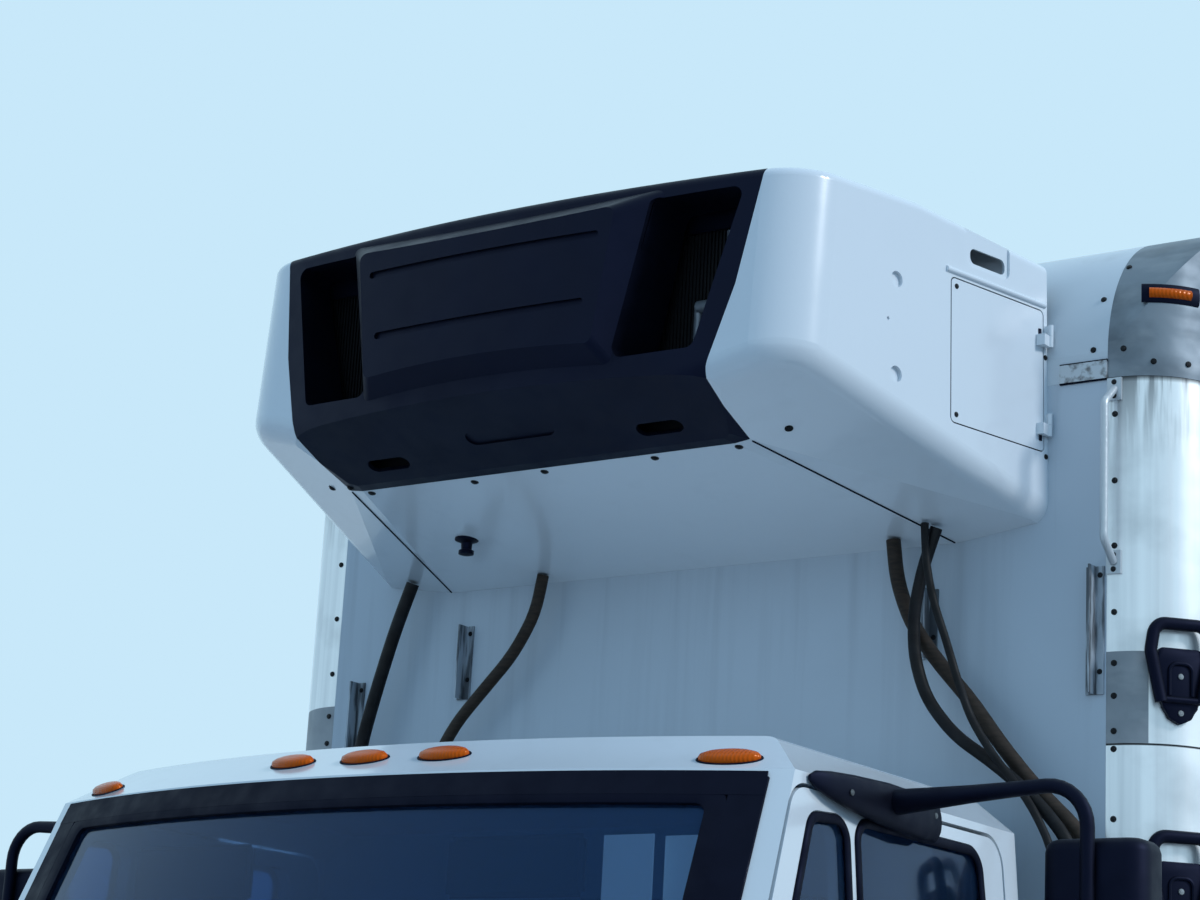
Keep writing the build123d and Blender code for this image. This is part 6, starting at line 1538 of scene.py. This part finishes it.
@dataclass(frozen=True)
class Unit:
    """Screws, latches, seams, coil fins and the drain of the cooling unit; sizes as in the CAD source."""

    shell: Skin
    studs: StudField
    slats: SlatRow
    side_front: float = 0.764
    side_depth: float = 0.800
    back_half: float = 0.967
    run_past: float = 0.050
    lean: float = 0.075
    crease_z: float = 3.260
    door_y: tuple[float, float] = (-0.3185, -0.0155)
    door_z: tuple[float, float] = (3.2395, 3.5695)
    door_corner: float = 0.012
    gasket_sink: float = 0.004
    slot_shade_y: float = -0.026
    slot_shade_height: float = 0.030
    slot_shade_proud: float = 0.0012
    # rays that look for the unit's skin start here, below it and beside it
    below_z: float = 2.8
    beside_x: float = 1.2
    seam_out: tuple[float, float, float] = (0.25, -0.16, -0.95)
    seam_proud: float = 0.001
    seam_ends: tuple[float, float] = (0.01, 0.99)
    fins: int = 36
    fin_pitch: float = 0.009
    fins_x: float = 0.335
    fins_y: float = -0.662
    fins_z: float = 3.420
    fin_size: tuple[float, float, float] = (0.0022, 0.006, 0.420)
    plate_near: tuple[float, float, float] = (0.300, -0.672, 3.630)
    plate_far: tuple[float, float, float] = (0.640, -0.640, 3.690)
    plate_bevel: float = 0.002
    drain_x: float = -0.455
    drain_y: float = -0.300

    # columns: across, from the wall: heads along the skirt's front edge
    SKIRT = (
        (-0.548, -0.640),
        (-0.505, -0.610),
        (-0.205, -0.600),
        (0.000, -0.607),
        (0.300, -0.605),
        (0.520, -0.607),
        (0.640, -0.600),
        (-0.640, -0.600),
    )
    # columns: from the wall, height: heads by each side shell's rear edge, below the hinges
    EDGE = ((-0.007, 3.462), (-0.007, 3.228))
    # columns: from the wall, height: latches of an access door
    LATCHES = ((-0.303, 3.553), (-0.303, 3.257))
    # foot of each dark strip on an access door: painted shade for a hinge slot
    SLOT_SHADES = (3.496, 3.262)
    # columns: across, from the wall, height: the joint between a side shell and the bottom panel
    SEAM = ((0.558, -0.623, 3.155), (0.730, 0.000, 3.050))
    # sizes of the oval sections: across, out, points
    GASKET = (0.0042, 0.008, 8)
    SLOT_SHADE_OVAL = (0.010, 0.004)
    SEAM_BEAD = (0.0042, 0.0036, 8)
    # columns: radius, drop below the panel
    DRAIN = (
        (0.030, -0.010),
        (0.030, 0.002),
        (0.022, 0.005),
        (0.014, 0.008),
        (0.013, 0.024),
        (0.019, 0.027),
        (0.019, 0.036),
        (0.009, 0.039),
    )

    def side_at(self, side: int, y: float, z: float, proud: float = 0.0) -> Spot:
        """Finds a place on a side shell.

        Args:
            side: 1 for the left, -1 for the right.
            y: from the wall.
            z: the height.
            proud: how far in front of the shell.

        Returns:
            The place and the outward direction.
        """
        slant = (self.back_half - self.side_front) / (self.side_depth + self.run_past)
        x = self.side_front + (self.side_depth + y - self.lean * (z - self.crease_z)) * slant
        out = Vector((side, -slant, self.lean * slant)).normalized()
        return from_wall(x, y, z, side) + out * proud, out

    def below_at(self, x: float, y: float) -> Spot:
        """Finds the place on the unit's underside at a place across and from the wall.

        Args:
            x: across.
            y: from the wall.

        Returns:
            The place and the direction that the panel looks in.
        """
        return self.shell.hit(from_wall(x, y, self.below_z), Vector((0, 0, 1)))

    def build(self) -> None:
        """Makes the unit's trim."""
        skirt = [self.below_at(x, y) for x, y in self.SKIRT]
        self.studs.place("unit_skirt_screws", StudKind.SCREW, skirt, "root", Finish.FASTENER)
        edge = []
        for side, _ in SIDES:
            starts = [from_wall(self.beside_x, y, z, side) for y, z in self.EDGE]
            edge += [self.shell.hit(start, Vector((-side, 0, 0))) for start in starts]
        self.studs.place("unit_side_screws", StudKind.LATCH, edge, "root", Finish.FASTENER)
        for side, end in SIDES:
            self.access_door(side, end)
        self.seams()
        self.coil()
        self.drain()

    def access_door(self, side: int, end: str) -> None:
        """Makes an access door's latches and gasket, and dark strips that paint the shade of its hinge slots.

        Args:
            side: 1 for the left, -1 for the right.
            end: the side's name.
        """
        door = f"unit_door_{end}"
        latches = [self.side_at(side, y, z) for y, z in self.LATCHES]
        self.studs.place(f"access_door_latches_{end}", StudKind.LATCH, latches, door, Finish.FASTENER)
        (front, rear), (low, high) = self.door_y, self.door_z
        outline = rounded_outline([(front, low), (front, high), (rear, high), (rear, low)], self.door_corner)
        path = [self.side_at(side, y, z, -self.gasket_sink) for y, z in outline]
        gasket = swept(path, oval(*self.GASKET), True)
        piece(f"access_door_gasket_{end}", gasket, Finish.RUBBER, door, True)
        plates = []
        for foot_z in self.SLOT_SHADES:
            heights = (foot_z, foot_z + self.slot_shade_height)
            ends = [self.side_at(side, self.slot_shade_y, z, self.slot_shade_proud) for z in heights]
            plates.append(swept(ends, oval(*self.SLOT_SHADE_OVAL)))
        piece(f"access_door_slot_shades_{end}", joined(plates), Finish.BLACK, door)

    def seams(self) -> None:
        """Makes a dark bead along the joints between the side shells and the bottom panel, as painted shade
        for the gap there.
        """
        beads = []
        for side, _ in SIDES:
            near, far = (from_wall(*row, side) for row in self.SEAM)
            x, y, z = self.seam_out
            down = Vector((side * x, y, z)).normalized()
            start, end = (near.lerp(far, share) + down * self.seam_proud for share in self.seam_ends)
            path = [start.lerp(end, i / 12) for i in range(13)]
            beads.append(swept(facing(path, down), oval(*self.SEAM_BEAD)))
        # painted shade: the dark bead stands in for the shadowed gap of the joint
        piece("unit_seam_shade", joined(beads), Finish.RUBBER, "root", True)

    def coil(self) -> None:
        """Makes the fins over the coil behind each intake, 9 mm apart, and the plates above the coil."""
        plates = []
        for side, end in SIDES:
            first = from_wall(self.fins_x, self.fins_y, self.fins_z, side)
            step = (side * self.fin_pitch, 0, 0)
            fins = self.slats.row(self.fins, first, step, self.fin_size, Finish.COIL)
            piece(f"coil_fins_{end}", fins, Finish.COIL, "root")
            near, far = from_wall(*self.plate_near, side), from_wall(*self.plate_far, side)
            plates.append(rounded_box(near, far, self.plate_bevel))
        piece("coil_header_plates", joined(plates), Finish.GRILLE, "root")

    def drain(self) -> None:
        """Makes the drain valve below the tray."""
        base, _ = self.below_at(self.drain_x, self.drain_y)
        rings = [[base + Vector((r * c, r * s, -drop)) for c, s in circle(18)] for r, drop in self.DRAIN]
        piece("drain_valve", lofted(rings), Finish.BLACK, "root", True)


# box


@dataclass(frozen=True)
class Box:
    """Rivets, lamps, step castings, tapes and gaskets of the load box; sizes as in the CAD source."""

    front: Skin
    studs: StudField
    half: float = 1.295
    corner: float = 0.192
    seam_x: float = 1.100
    rear_y: float = 4.911
    foot_z: float = 1.190
    top_z: float = 3.810
    rail_z: float = 3.396
    rail_inner_x: float = 0.985
    rail_height: float = 0.042
    post: float = 0.075
    header: float = 0.130
    floor_z: float = 1.260
    first_rivet_y: float = 0.260
    rivet_pitch: float = 0.150
    rivets_in_row: int = 44
    # how far the rows stand above the foot and below the top
    low_row: float = 0.035
    high_row: float = 0.040
    front_row_y: float = 0.215
    front_row_z: float = 1.300
    front_row_pitch: float = 0.200
    front_row_rivets: int = 12
    handle_x: float = 1.118
    handle_bolt_shift: float = 0.016
    # how far the heads stand in from the sheet's edge, the rail's foot and the strips' edges and ends
    seam_margin: float = 0.018
    rail_head_rise: float = 0.034
    strip_margin: float = 0.012
    strip_low_margin: float = 0.050
    strip_high_margin: float = 0.020
    bolt_proud: float = 0.005
    # rays that look for the corner sheets start here, in front of the wall
    ahead_y: float = -0.5
    sealant_lap: float = 0.001
    sealant_proud: float = 0.002
    step_turn_deg: float = 46.0
    step_head_rise: float = 0.015
    # the height above a step's foot about which its tread plate draws in
    plate_z: float = 0.080
    lamp_z: float = 3.590
    lens_proud: float = 0.002
    rim_proud: float = 0.001
    marker_z: float = 1.255
    marker_bevel: float = 0.005
    gasket_margin: float = 0.010
    gasket_corner: float = 0.012
    gasket_proud: float = 0.001
    hinge_head_proud: float = 0.012
    plate_bevel: float = 0.002
    tape_y: float = 0.320
    tape_z: float = 1.325
    tape_pitch: float = 0.610
    tape_blocks: int = 11
    tape_bevel: float = 0.0003

    # height of each head on the front edge of a corner sheet
    SEAM_HEADS = (
        *(3.311, 3.158, 3.010, 2.861, 2.748, 2.676, 2.599, 2.560),
        *(2.409, 2.260, 2.110, 1.960, 1.800, 1.640, 1.480, 1.320),
    )
    # columns: across, height of each head on the caps and the sheet beside them
    CAP_HEADS = ((1.137, 3.462), (1.076, 3.594), (1.112, 3.684), (1.065, 3.467))
    # columns: across, lower end, upper end of each strip on the wall
    STRIPS = ((1.075, 2.680, 2.965), (0.666, 2.784, 2.946), (-0.670, 2.767, 2.956), (-1.020, 2.560, 2.830))
    # height of the grab handle's feet
    HANDLE_FEET = (2.972, 3.368)
    # height of each folding step's foot
    STEPS = (2.160, 2.620)
    # columns: across, up from the foot, corner radius: a step's tread plate
    PLATE = (
        (-0.047, 0.160, 0.012),
        (0.047, 0.160, 0.012),
        (0.056, 0.128, 0.012),
        (0.043, 0.040, 0.012),
        (0.025, 0.006, 0.010),
        (0.000, -0.006, 0.008),
        (-0.025, 0.006, 0.010),
        (-0.043, 0.040, 0.012),
        (-0.056, 0.128, 0.012),
    )
    # columns: height above the sheet, share of the plate's outline
    LAYERS = ((0.0005, 1.0), (0.0125, 1.0), (0.0150, 0.93))
    # columns: across, up from the foot: the loop round the plate, the rib on it, the hinge pin and the heads
    LOOP = ((-0.046, 0.040), (-0.070, 0.150), (-0.060, 0.212), (0.060, 0.212), (0.070, 0.150), (0.046, 0.040))
    RIB = ((-0.026, 0.056), (-0.026, 0.126), (0.026, 0.126), (0.026, 0.056))
    PIN = ((-0.040, 0.046), (0.040, 0.046))
    STEP_HEADS = ((0.0, 0.018), (0.0, 0.098))
    # columns: height above the sheet, places, corner radius, section: the bars of a step
    BARS = (
        (0.0180, LOOP, 0.030, (0.028, 0.025, 14)),
        (0.0155, RIB, 0.018, (0.009, 0.009, 8)),
        (0.0170, PIN, 0.0, (0.016, 0.016, 10)),
    )
    # degrees from straight ahead of the heads over the rail, of a corner lamp's lens and of its holder
    RAIL_HEADS = range(30, 79, 24)
    LENS_ARC = range(27, 56, 4)
    HOLDER_ARC = range(22, 63, 4)
    # sizes of the oval sections: across, out, points
    SEALANT = (0.006, 0.008, 8)
    LENS = (0.026, 0.024, 10)
    HOLDER = (0.044, 0.012, 10)
    DOOR_SEAL = (0.022, 0.012)
    # the side marker lamps: distance from the wall's plane, and size: out, along, up
    MARKERS_Y = (0.7, 3.4, 6.6)
    MARKER = (0.012, 0.100, 0.035)
    # size of a block of tape: out, along, up
    TAPE = (0.0008, 0.260, 0.050)
    # heights and places across, from the side, of the heads on the rear door hinges
    HINGES = (1.44, 2.08, 2.82, 3.50)
    HINGE_HEADS = (0.14, 0.20, 0.26, 0.31)
    # low and high corner of the number plate, its Y from the doors' outer face
    NUMBER_PLATE = ((-0.152, 0.0, 1.085), (0.152, 0.006, 1.235))
    # columns: finish, name, start of the first block after the first red one
    TAPES = ((Finish.LENS_RED, "red_tape", 0.0), (Finish.PAPER, "white_tape", 0.28))

    def corner_at(self, side: int, turn: float, z: float, proud: float = 0.0) -> Spot:
        """Finds a place on a front corner.

        Args:
            side: 1 for the left, -1 for the right.
            turn: the angle from straight ahead.
            z: the height.
            proud: how far in front of the sheet.

        Returns:
            The place and the outward direction.
        """
        out = Vector((side * math.sin(turn), -math.cos(turn), 0))
        return from_wall(self.half - self.corner, self.corner, z, side) + out * (self.corner + proud), out

    def arc_at(self, side: int, degrees: range, z: float, proud: float) -> list[Spot]:
        """Finds a row of places round a front corner, from angles in degrees.

        Args:
            side: 1 for the left, -1 for the right.
            degrees: the angles from straight ahead.
            z: the height.
            proud: how far in front of the sheet.

        Returns:
            The places and outward directions.
        """
        return [self.corner_at(side, math.radians(angle), z, proud) for angle in degrees]

    def build(self) -> None:
        """Makes the box's trim."""
        self.side_rivets()
        self.front_heads()
        self.rail_sealant()
        self.step_castings()
        self.clearance_lamps()
        self.rear_trim()
        self.side_tapes()

    def side_rivets(self) -> None:
        """Makes the rivets along the foot, the top and the front edge of both sides."""
        rivets: list[Spot] = []
        for side, _ in SIDES:
            places = []
            for step in range(self.rivets_in_row):
                y = self.first_rivet_y + self.rivet_pitch * step
                places.append((y, self.foot_z + self.low_row))
                places.append((y + self.rivet_pitch / 2, self.top_z - self.high_row))
            for step in range(self.front_row_rivets):
                places.append((self.front_row_y, self.front_row_z + self.front_row_pitch * step))
            rivets += facing([from_wall(self.half, y, z, side) for y, z in places], Vector((side, 0, 0)))
        self.studs.place("box_rivets", StudKind.RIVET, rivets, "root", Finish.RIVET)

    def front_heads(self) -> None:
        """Makes the heads on the corner sheets and caps, and the bolts of the strips and the handle."""
        heads: list[Spot] = []
        for side, _ in SIDES:
            places = [(self.seam_x + self.seam_margin, z) for z in self.SEAM_HEADS] + list(self.CAP_HEADS)
            heads += [self.front.hit(from_wall(x, self.ahead_y, z, side), -AHEAD) for x, z in places]
            heads += self.arc_at(side, self.RAIL_HEADS, self.rail_z + self.rail_head_rise, 0.0)
        self.studs.place("corner_heads", StudKind.LARGE_RIVET, heads, "root", Finish.FASTENER)
        bolts = []
        for x, low, high in self.STRIPS:
            bolts.append((x + self.strip_margin, low + self.strip_low_margin))
            bolts.append((x + self.strip_margin, high - self.strip_high_margin))
        for z in self.HANDLE_FEET:
            bolts.append((self.handle_x, z - self.handle_bolt_shift))
            bolts.append((self.handle_x, z + self.handle_bolt_shift))
        spots = facing([from_wall(x, -self.bolt_proud, z) for x, z in bolts], AHEAD)
        self.studs.place("wall_bolts", StudKind.LATCH, spots, "root", Finish.FASTENER)

    def rail_sealant(self) -> None:
        """Makes the dark sealant along both edges of the front rail."""
        beads = []
        for side, _ in SIDES:
            for z in (self.rail_z - self.sealant_lap, self.rail_z + self.rail_height + self.sealant_lap):
                ends = [from_wall(x, -self.sealant_proud, z, side) for x in (self.rail_inner_x, self.seam_x)]
                beads.append(swept(facing(ends, AHEAD), oval(*self.SEALANT)))
        piece("rail_sealant", joined(beads), Finish.RUBBER, "root", True)

    def on_step(self, foot_z: float, rise: float, points: Outline) -> list[Spot]:
        """Finds places on a folding step.

        Args:
            foot_z: the height of its foot.
            rise: how far in front of the sheet.
            points: places as (across, up from the foot).

        Returns:
            The places and the step's outward direction.
        """
        turn = math.radians(self.step_turn_deg)
        foot, out = self.corner_at(1, turn, foot_z)
        across = Vector((math.cos(turn), math.sin(turn), 0))
        return facing([foot + out * rise + across * u + Vector((0, 0, v)) for u, v in points], out)

    def step_castings(self) -> None:
        """Makes the folding steps' tall tread plates with their ribs and hinge, and thickens their loops."""
        plate = rounded_outline([row[:2] for row in self.PLATE], *(row[2] for row in self.PLATE))
        parts, heads = [], []
        for foot_z in self.STEPS:
            rings = []
            for rise, share in self.LAYERS:
                outline = [(u * share, self.plate_z + (v - self.plate_z) * share) for u, v in plate]
                rings.append([at for at, _ in self.on_step(foot_z, rise, outline)])
            parts.append(lofted(rings))
            for rise, places, radius, section in self.BARS:
                path = self.on_step(foot_z, rise, bends(places, radius) if radius else places)
                parts.append(swept(path, oval(*section)))
            heads += self.on_step(foot_z, self.step_head_rise, self.STEP_HEADS)
        piece("step_castings", joined(parts), Finish.BLACK, "root", True)
        self.studs.place("step_bolts", StudKind.RIVET, heads, "root", Finish.RIVET)

    def clearance_lamps(self) -> None:
        """Makes amber lamps in recessed holders on the corner caps, and side marker lamps low on the box."""
        lenses, rims = [], []
        for side, _ in SIDES:
            lens = self.arc_at(side, self.LENS_ARC, self.lamp_z, self.lens_proud)
            lenses.append(swept(lens, oval(*self.LENS)))
            rim = self.arc_at(side, self.HOLDER_ARC, self.lamp_z, self.rim_proud)
            rims.append(swept(rim, oval(*self.HOLDER)))
            out, along, up = self.MARKER
            for y in self.MARKERS_Y:
                inner = from_wall(self.half, y, self.marker_z, side)
                outer = inner + Vector((side * out, along, up))
                lenses.append(rounded_box(inner, outer, self.marker_bevel))
        piece("clearance_lenses", joined(lenses), Finish.LENS_AMBER, "root", True)
        piece("clearance_holders", joined(rims), Finish.BLACK, "root", True)

    def rear_trim(self) -> None:
        """Makes the door gaskets, a blank number plate and the heads on the door hinges."""
        for side, end in SIDES:
            door = f"rear_door_{end}"
            gap = self.gasket_margin
            inner, outer = side * gap, side * (self.half - self.post - gap)
            low, high = self.floor_z + gap, self.top_z - self.header - gap
            corners = [(inner, low), (inner, high), (outer, high), (outer, low)]
            y = self.rear_y + self.gasket_proud
            path = [Vector((x, y, z)) for x, z in rounded_outline(corners, self.gasket_corner)]
            gasket = swept(facing(path, -AHEAD), oval(*self.DOOR_SEAL), True)
            piece(f"rear_door_gasket_{end}", gasket, Finish.RUBBER, door, True)
            y = self.rear_y + self.hinge_head_proud
            heads = [Vector((side * (self.half - x), y, z)) for z in self.HINGES for x in self.HINGE_HEADS]
            spots = facing(heads, -AHEAD)
            self.studs.place(f"rear_hinge_bolts_{end}", StudKind.BOLT, spots, door, Finish.FASTENER)
        low, high = (Vector(row) + Vector((0, self.rear_y, 0)) for row in self.NUMBER_PLATE)
        piece("number_plate", rounded_box(low, high, self.plate_bevel), Finish.BOX_SIDE, "root")

    def side_tapes(self) -> None:
        """Makes reflective blocks in red and white along the foot of both sides."""
        out, along, up = self.TAPE
        for finish, name, start in self.TAPES:
            blocks = []
            for side, _ in SIDES:
                for step in range(self.tape_blocks):
                    y = self.tape_y + start + self.tape_pitch * step
                    inner = from_wall(self.half, y, self.tape_z, side)
                    outer = inner + Vector((side * out, along, up))
                    blocks.append(rounded_box(inner, outer, self.tape_bevel))
            piece(name, joined(blocks), finish, "root")


# wheels


@dataclass(frozen=True)
class Wheels:
    """Tyres with ribbed tread in place of the CAD's faceted ones, and the nuts; sizes as in the source."""

    studs: StudField
    axle_z: float = 0.510
    radius: float = 0.510
    width: float = 0.275
    rim_radius: float = 0.290
    front_y: float = -4.029
    rear_y: float = 2.221
    front_track: float = 2.010
    rear_track: float = 1.860
    front_seat: float = 0.107
    rear_seat: float = 0.012
    dual: float = 0.340
    pitches: int = 60
    nuts: int = 10
    nut_circle: float = 0.150

    # columns: in from the tyre's side, out from the rim: bead, wall and the ribs on it
    WALL = (
        (0.0425, 0.001),
        (0.0425, 0.024),
        (0.008, 0.067),
        (0.001, 0.094),
        (0.000, 0.108),
        (0.004, 0.128),
        (0.003, 0.134),
    )
    # columns: across, drop from the tread's top, what a notch takes off: shoulder, ribs and grooves
    TREAD = (
        (0.1275, 0.047, 0.0),
        (0.1155, 0.022, 0.0),
        (0.1035, 0.010, 0.010),
        (0.076, 0.007, 0.010),
        (0.074, 0.021, 0.0),
        (0.062, 0.021, 0.0),
        (0.060, 0.0055, 0.005),
        (0.027, 0.0025, 0.005),
        (0.025, 0.017, 0.0),
        (0.013, 0.017, 0.0),
        (0.011, 0.0018, 0.005),
    )
    # columns: share of a tread pitch, whether it lies in the notch between two blocks
    BLOCK = ((0.0, False), (0.42, False), (0.84, False), (0.86, True), (0.98, True))

    def section(self, notch: bool) -> list[tuple[float, float]]:
        """Gives a tyre's section.

        Args:
            notch: whether it is taken between two tread blocks.

        Returns:
            Points as (across, radius), from bead to bead.
        """
        outer = [(self.width / 2 - inset, self.rim_radius + rise) for inset, rise in self.WALL]
        outer += [(across, self.radius - drop - cut * notch) for across, drop, cut in self.TREAD]
        return outer + [(-across, radius) for across, radius in reversed(outer)]

    def tyre(self, middle: Vector) -> bpy.types.Mesh:
        """Makes one tyre about the X axis.

        Args:
            middle: its middle.

        Returns:
            The mesh.
        """
        rings = []
        for pitch in range(self.pitches):
            for share, notch in self.BLOCK:
                turn = 2 * math.pi * (pitch + share) / self.pitches
                c, s = math.cos(turn), math.sin(turn)
                rings.append([middle + Vector((x, r * c, r * s)) for x, r in self.section(notch)])
        return lofted(rings, True)

    def build(self) -> None:
        """Makes the tyres and the nuts."""
        turns = [2 * math.pi * (step + 0.5) / self.nuts for step in range(self.nuts)]
        for side, end in SIDES:
            front, rear = side * self.front_track / 2, side * self.rear_track / 2
            twins = [rear - self.dual / 2, rear + self.dual / 2]
            # columns: axle, plural ending of its nodes, tyres across, Y, where the nuts sit
            for axle, plural, places, y, seat in (
                ("front", "", [front], self.front_y, front + side * self.front_seat),
                ("rear", "s", twins, self.rear_y, rear + side * self.rear_seat),
            ):
                body = f"{axle}_wheel{plural}_{end}"
                tyres = joined([self.tyre(Vector((x, y, self.axle_z))) for x in places])
                tread = piece(f"{axle}_tread_{end}", tyres, Finish.TYRE, body, True)
                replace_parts(tread, f"{axle}_tyre{plural}_{end}")
                hub, ring = Vector((seat, y, self.axle_z)), self.nut_circle
                nuts = [hub + Vector((0, ring * math.cos(t), ring * math.sin(t))) for t in turns]
                spots = facing(nuts, Vector((side, 0, 0)))
                self.studs.place(f"{axle}_wheel_nuts_{end}", StudKind.WHEEL_NUT, spots, body, Finish.FASTENER)


# studio and camera


@dataclass(frozen=True)
class CameraRig:
    """The photograph's viewpoint: 1.6 m above the road, looking up at the cooling unit."""

    place: tuple[float, float, float] = (3.553, WALL_Y - 5.327, 1.600)
    azimuth_deg: float = 35.78
    pitch_deg: float = 15.203
    roll_deg: float = 3.214
    lens_mm: float = 80.81
    sensor_mm: float = 36.0
    reach: float = 400.0

    def build(self) -> None:
        """Makes the scene's camera."""
        a, p, r = (math.radians(v) for v in (self.azimuth_deg, self.pitch_deg, self.roll_deg))
        ahead = Vector((-math.sin(a) * math.cos(p), math.cos(a) * math.cos(p), math.sin(p)))
        right = Vector((math.cos(a), math.sin(a), 0))
        up = right.cross(ahead)
        turned_right = right * math.cos(r) + up * math.sin(r)
        turned_up = up * math.cos(r) - right * math.sin(r)
        data = bpy.data.cameras.new("camera")
        data.lens = self.lens_mm
        data.sensor_width = self.sensor_mm
        data.clip_end = self.reach
        camera = bpy.data.objects.new("camera", data)
        basis = Matrix((turned_right, turned_up, -ahead)).transposed().to_4x4()
        camera.matrix_world = Matrix.Translation(self.place) @ basis
        bpy.context.scene.collection.objects.link(camera)
        bpy.context.scene.camera = camera


@dataclass(frozen=True)
class Studio:
    """A plain pale floor and surround under soft light from the truck's left and above."""

    floor_half: float = 150.0
    sky_light: tuple[str, float] = ("#A9D6FC", 0.74)
    sky_view: tuple[str, float] = ("#C8E8FA", 1.0)
    floor_view: str = "#E6E2DC"
    floor_light: str = "#8C9093"
    floor_rough: float = 0.9
    key_towards: tuple[float, float, float] = (0.80, 0.10, 0.52)
    key_strength: float = 1.7
    key_colour: str = "#F0F5FA"
    key_spread_deg: float = 12.0

    def seen(self, graph: Graph) -> bpy.types.NodeSocket:
        """Finds the rays that look at the surround rather than light the truck.

        Args:
            graph: the world's or the floor's tree.

        Returns:
            A factor that is 1 for camera, glossy and transmission rays.
        """
        path = graph.add("ShaderNodeLightPath").outputs
        looks = path["Is Camera Ray"]
        for ray in ("Is Glossy Ray", "Is Transmission Ray"):
            looks = graph.add("ShaderNodeMath", {"operation": "MAXIMUM"}, {0: looks, 1: path[ray]}).outputs[0]
        return looks

    def surround(self) -> bpy.types.World:
        """Makes the world: a soft blue light, seen as a pale clear sky.

        Returns:
            The world.
        """
        world = bpy.data.worlds.new("surround")
        world.use_nodes = True
        g = Graph(world.node_tree)
        g.tree.nodes.clear()
        light, view = (
            g.add("ShaderNodeBackground", None, {"Color": linear(colour), "Strength": strength})
            for colour, strength in (self.sky_light, self.sky_view)
        )
        mixed = g.add("ShaderNodeMixShader", None, {0: self.seen(g), 1: light.outputs[0], 2: view.outputs[0]})
        g.add("ShaderNodeOutputWorld", None, {"Surface": mixed.outputs[0]})
        return world

    def paving(self) -> bpy.types.Material:
        """Makes the floor's material: pale where it is seen, darker where it would light the truck.

        Returns:
            The material.
        """
        s = Shade("pale_floor")
        inputs = {"Base Color": linear(self.floor_view), "Roughness": self.floor_rough}
        pale = s.add("ShaderNodeBsdfPrincipled", None, inputs)
        dim = s.add("ShaderNodeBsdfDiffuse", None, {"Color": linear(self.floor_light)})
        mixed = s.add("ShaderNodeMixShader", None, {0: self.seen(s), 1: dim.outputs[0], 2: pale.outputs[0]})
        s.add("ShaderNodeOutputMaterial", None, {"Surface": mixed.outputs[0]})
        return s.material

    def build(self) -> None:
        """Makes the floor, the key light and the pale surround."""
        scene = bpy.context.scene
        scene.view_settings.view_transform = "Standard"
        scene.world = self.surround()
        bm = bmesh.new()
        bmesh.ops.create_grid(bm, x_segments=8, y_segments=8, size=self.floor_half)
        mesh = bpy.data.meshes.new("floor")
        bm.to_mesh(mesh)
        bm.free()
        mesh.materials.append(self.paving())
        floor = bpy.data.objects.new("floor", mesh)
        scene.collection.objects.link(floor)
        data = bpy.data.lights.new("key", "SUN")
        data.energy = self.key_strength
        data.color = linear(self.key_colour)[:3]
        data.angle = math.radians(self.key_spread_deg)
        key = bpy.data.objects.new("key", data)
        key.matrix_world = Vector(self.key_towards).to_track_quat("Z", "Y").to_matrix().to_4x4()
        scene.collection.objects.link(key)


@dataclass(frozen=True)
class Truck:
    """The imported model's finishes and all the added pieces."""

    nodes: dict

    def paint_nodes(self) -> None:
        """Gives every CAD node its finish."""
        chosen = {name: material_of(finish) for finish, names in NODE_FINISH.items() for name in names}
        for name, node in self.nodes.items():
            node.data.materials.clear()
            # the CAD's tyres aren't in the table, since ribbed ones replace them
            node.data.materials.append(chosen.get(name) or material_of(Finish.BLACK))

    def build(self) -> None:
        """Dresses the truck."""
        studs = StudField()
        slats = SlatRow()
        self.paint_nodes()
        cab = Cab()
        cab.build()
        Mirrors(cab, studs).build()
        Bonnet(slats).build()
        shell = Skin(self.nodes, "unit_sides", "unit_bottom", "unit_grille", "unit_top")
        Unit(shell, studs, slats).build()
        Box(Skin(self.nodes, "box_front_wall", "box_corners", "box_roof"), studs).build()
        Wheels(studs).build()


def corners(bounds: tuple) -> list[list[float]]:
    """Gives a box's two corners as plain lists.

    Args:
        bounds: the low and the high corner.

    Returns:
        The corners.
    """
    return [list(map(float, corner)) for corner in bounds]


def main() -> None:
    """Builds the whole scene."""
    logging.basicConfig(level=logging.INFO, format="%(name)s: %(message)s")
    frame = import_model()
    CameraRig().build()
    Studio().build()
    Truck(frame["nodes"]).build()


if __name__ == "__main__":
    main()
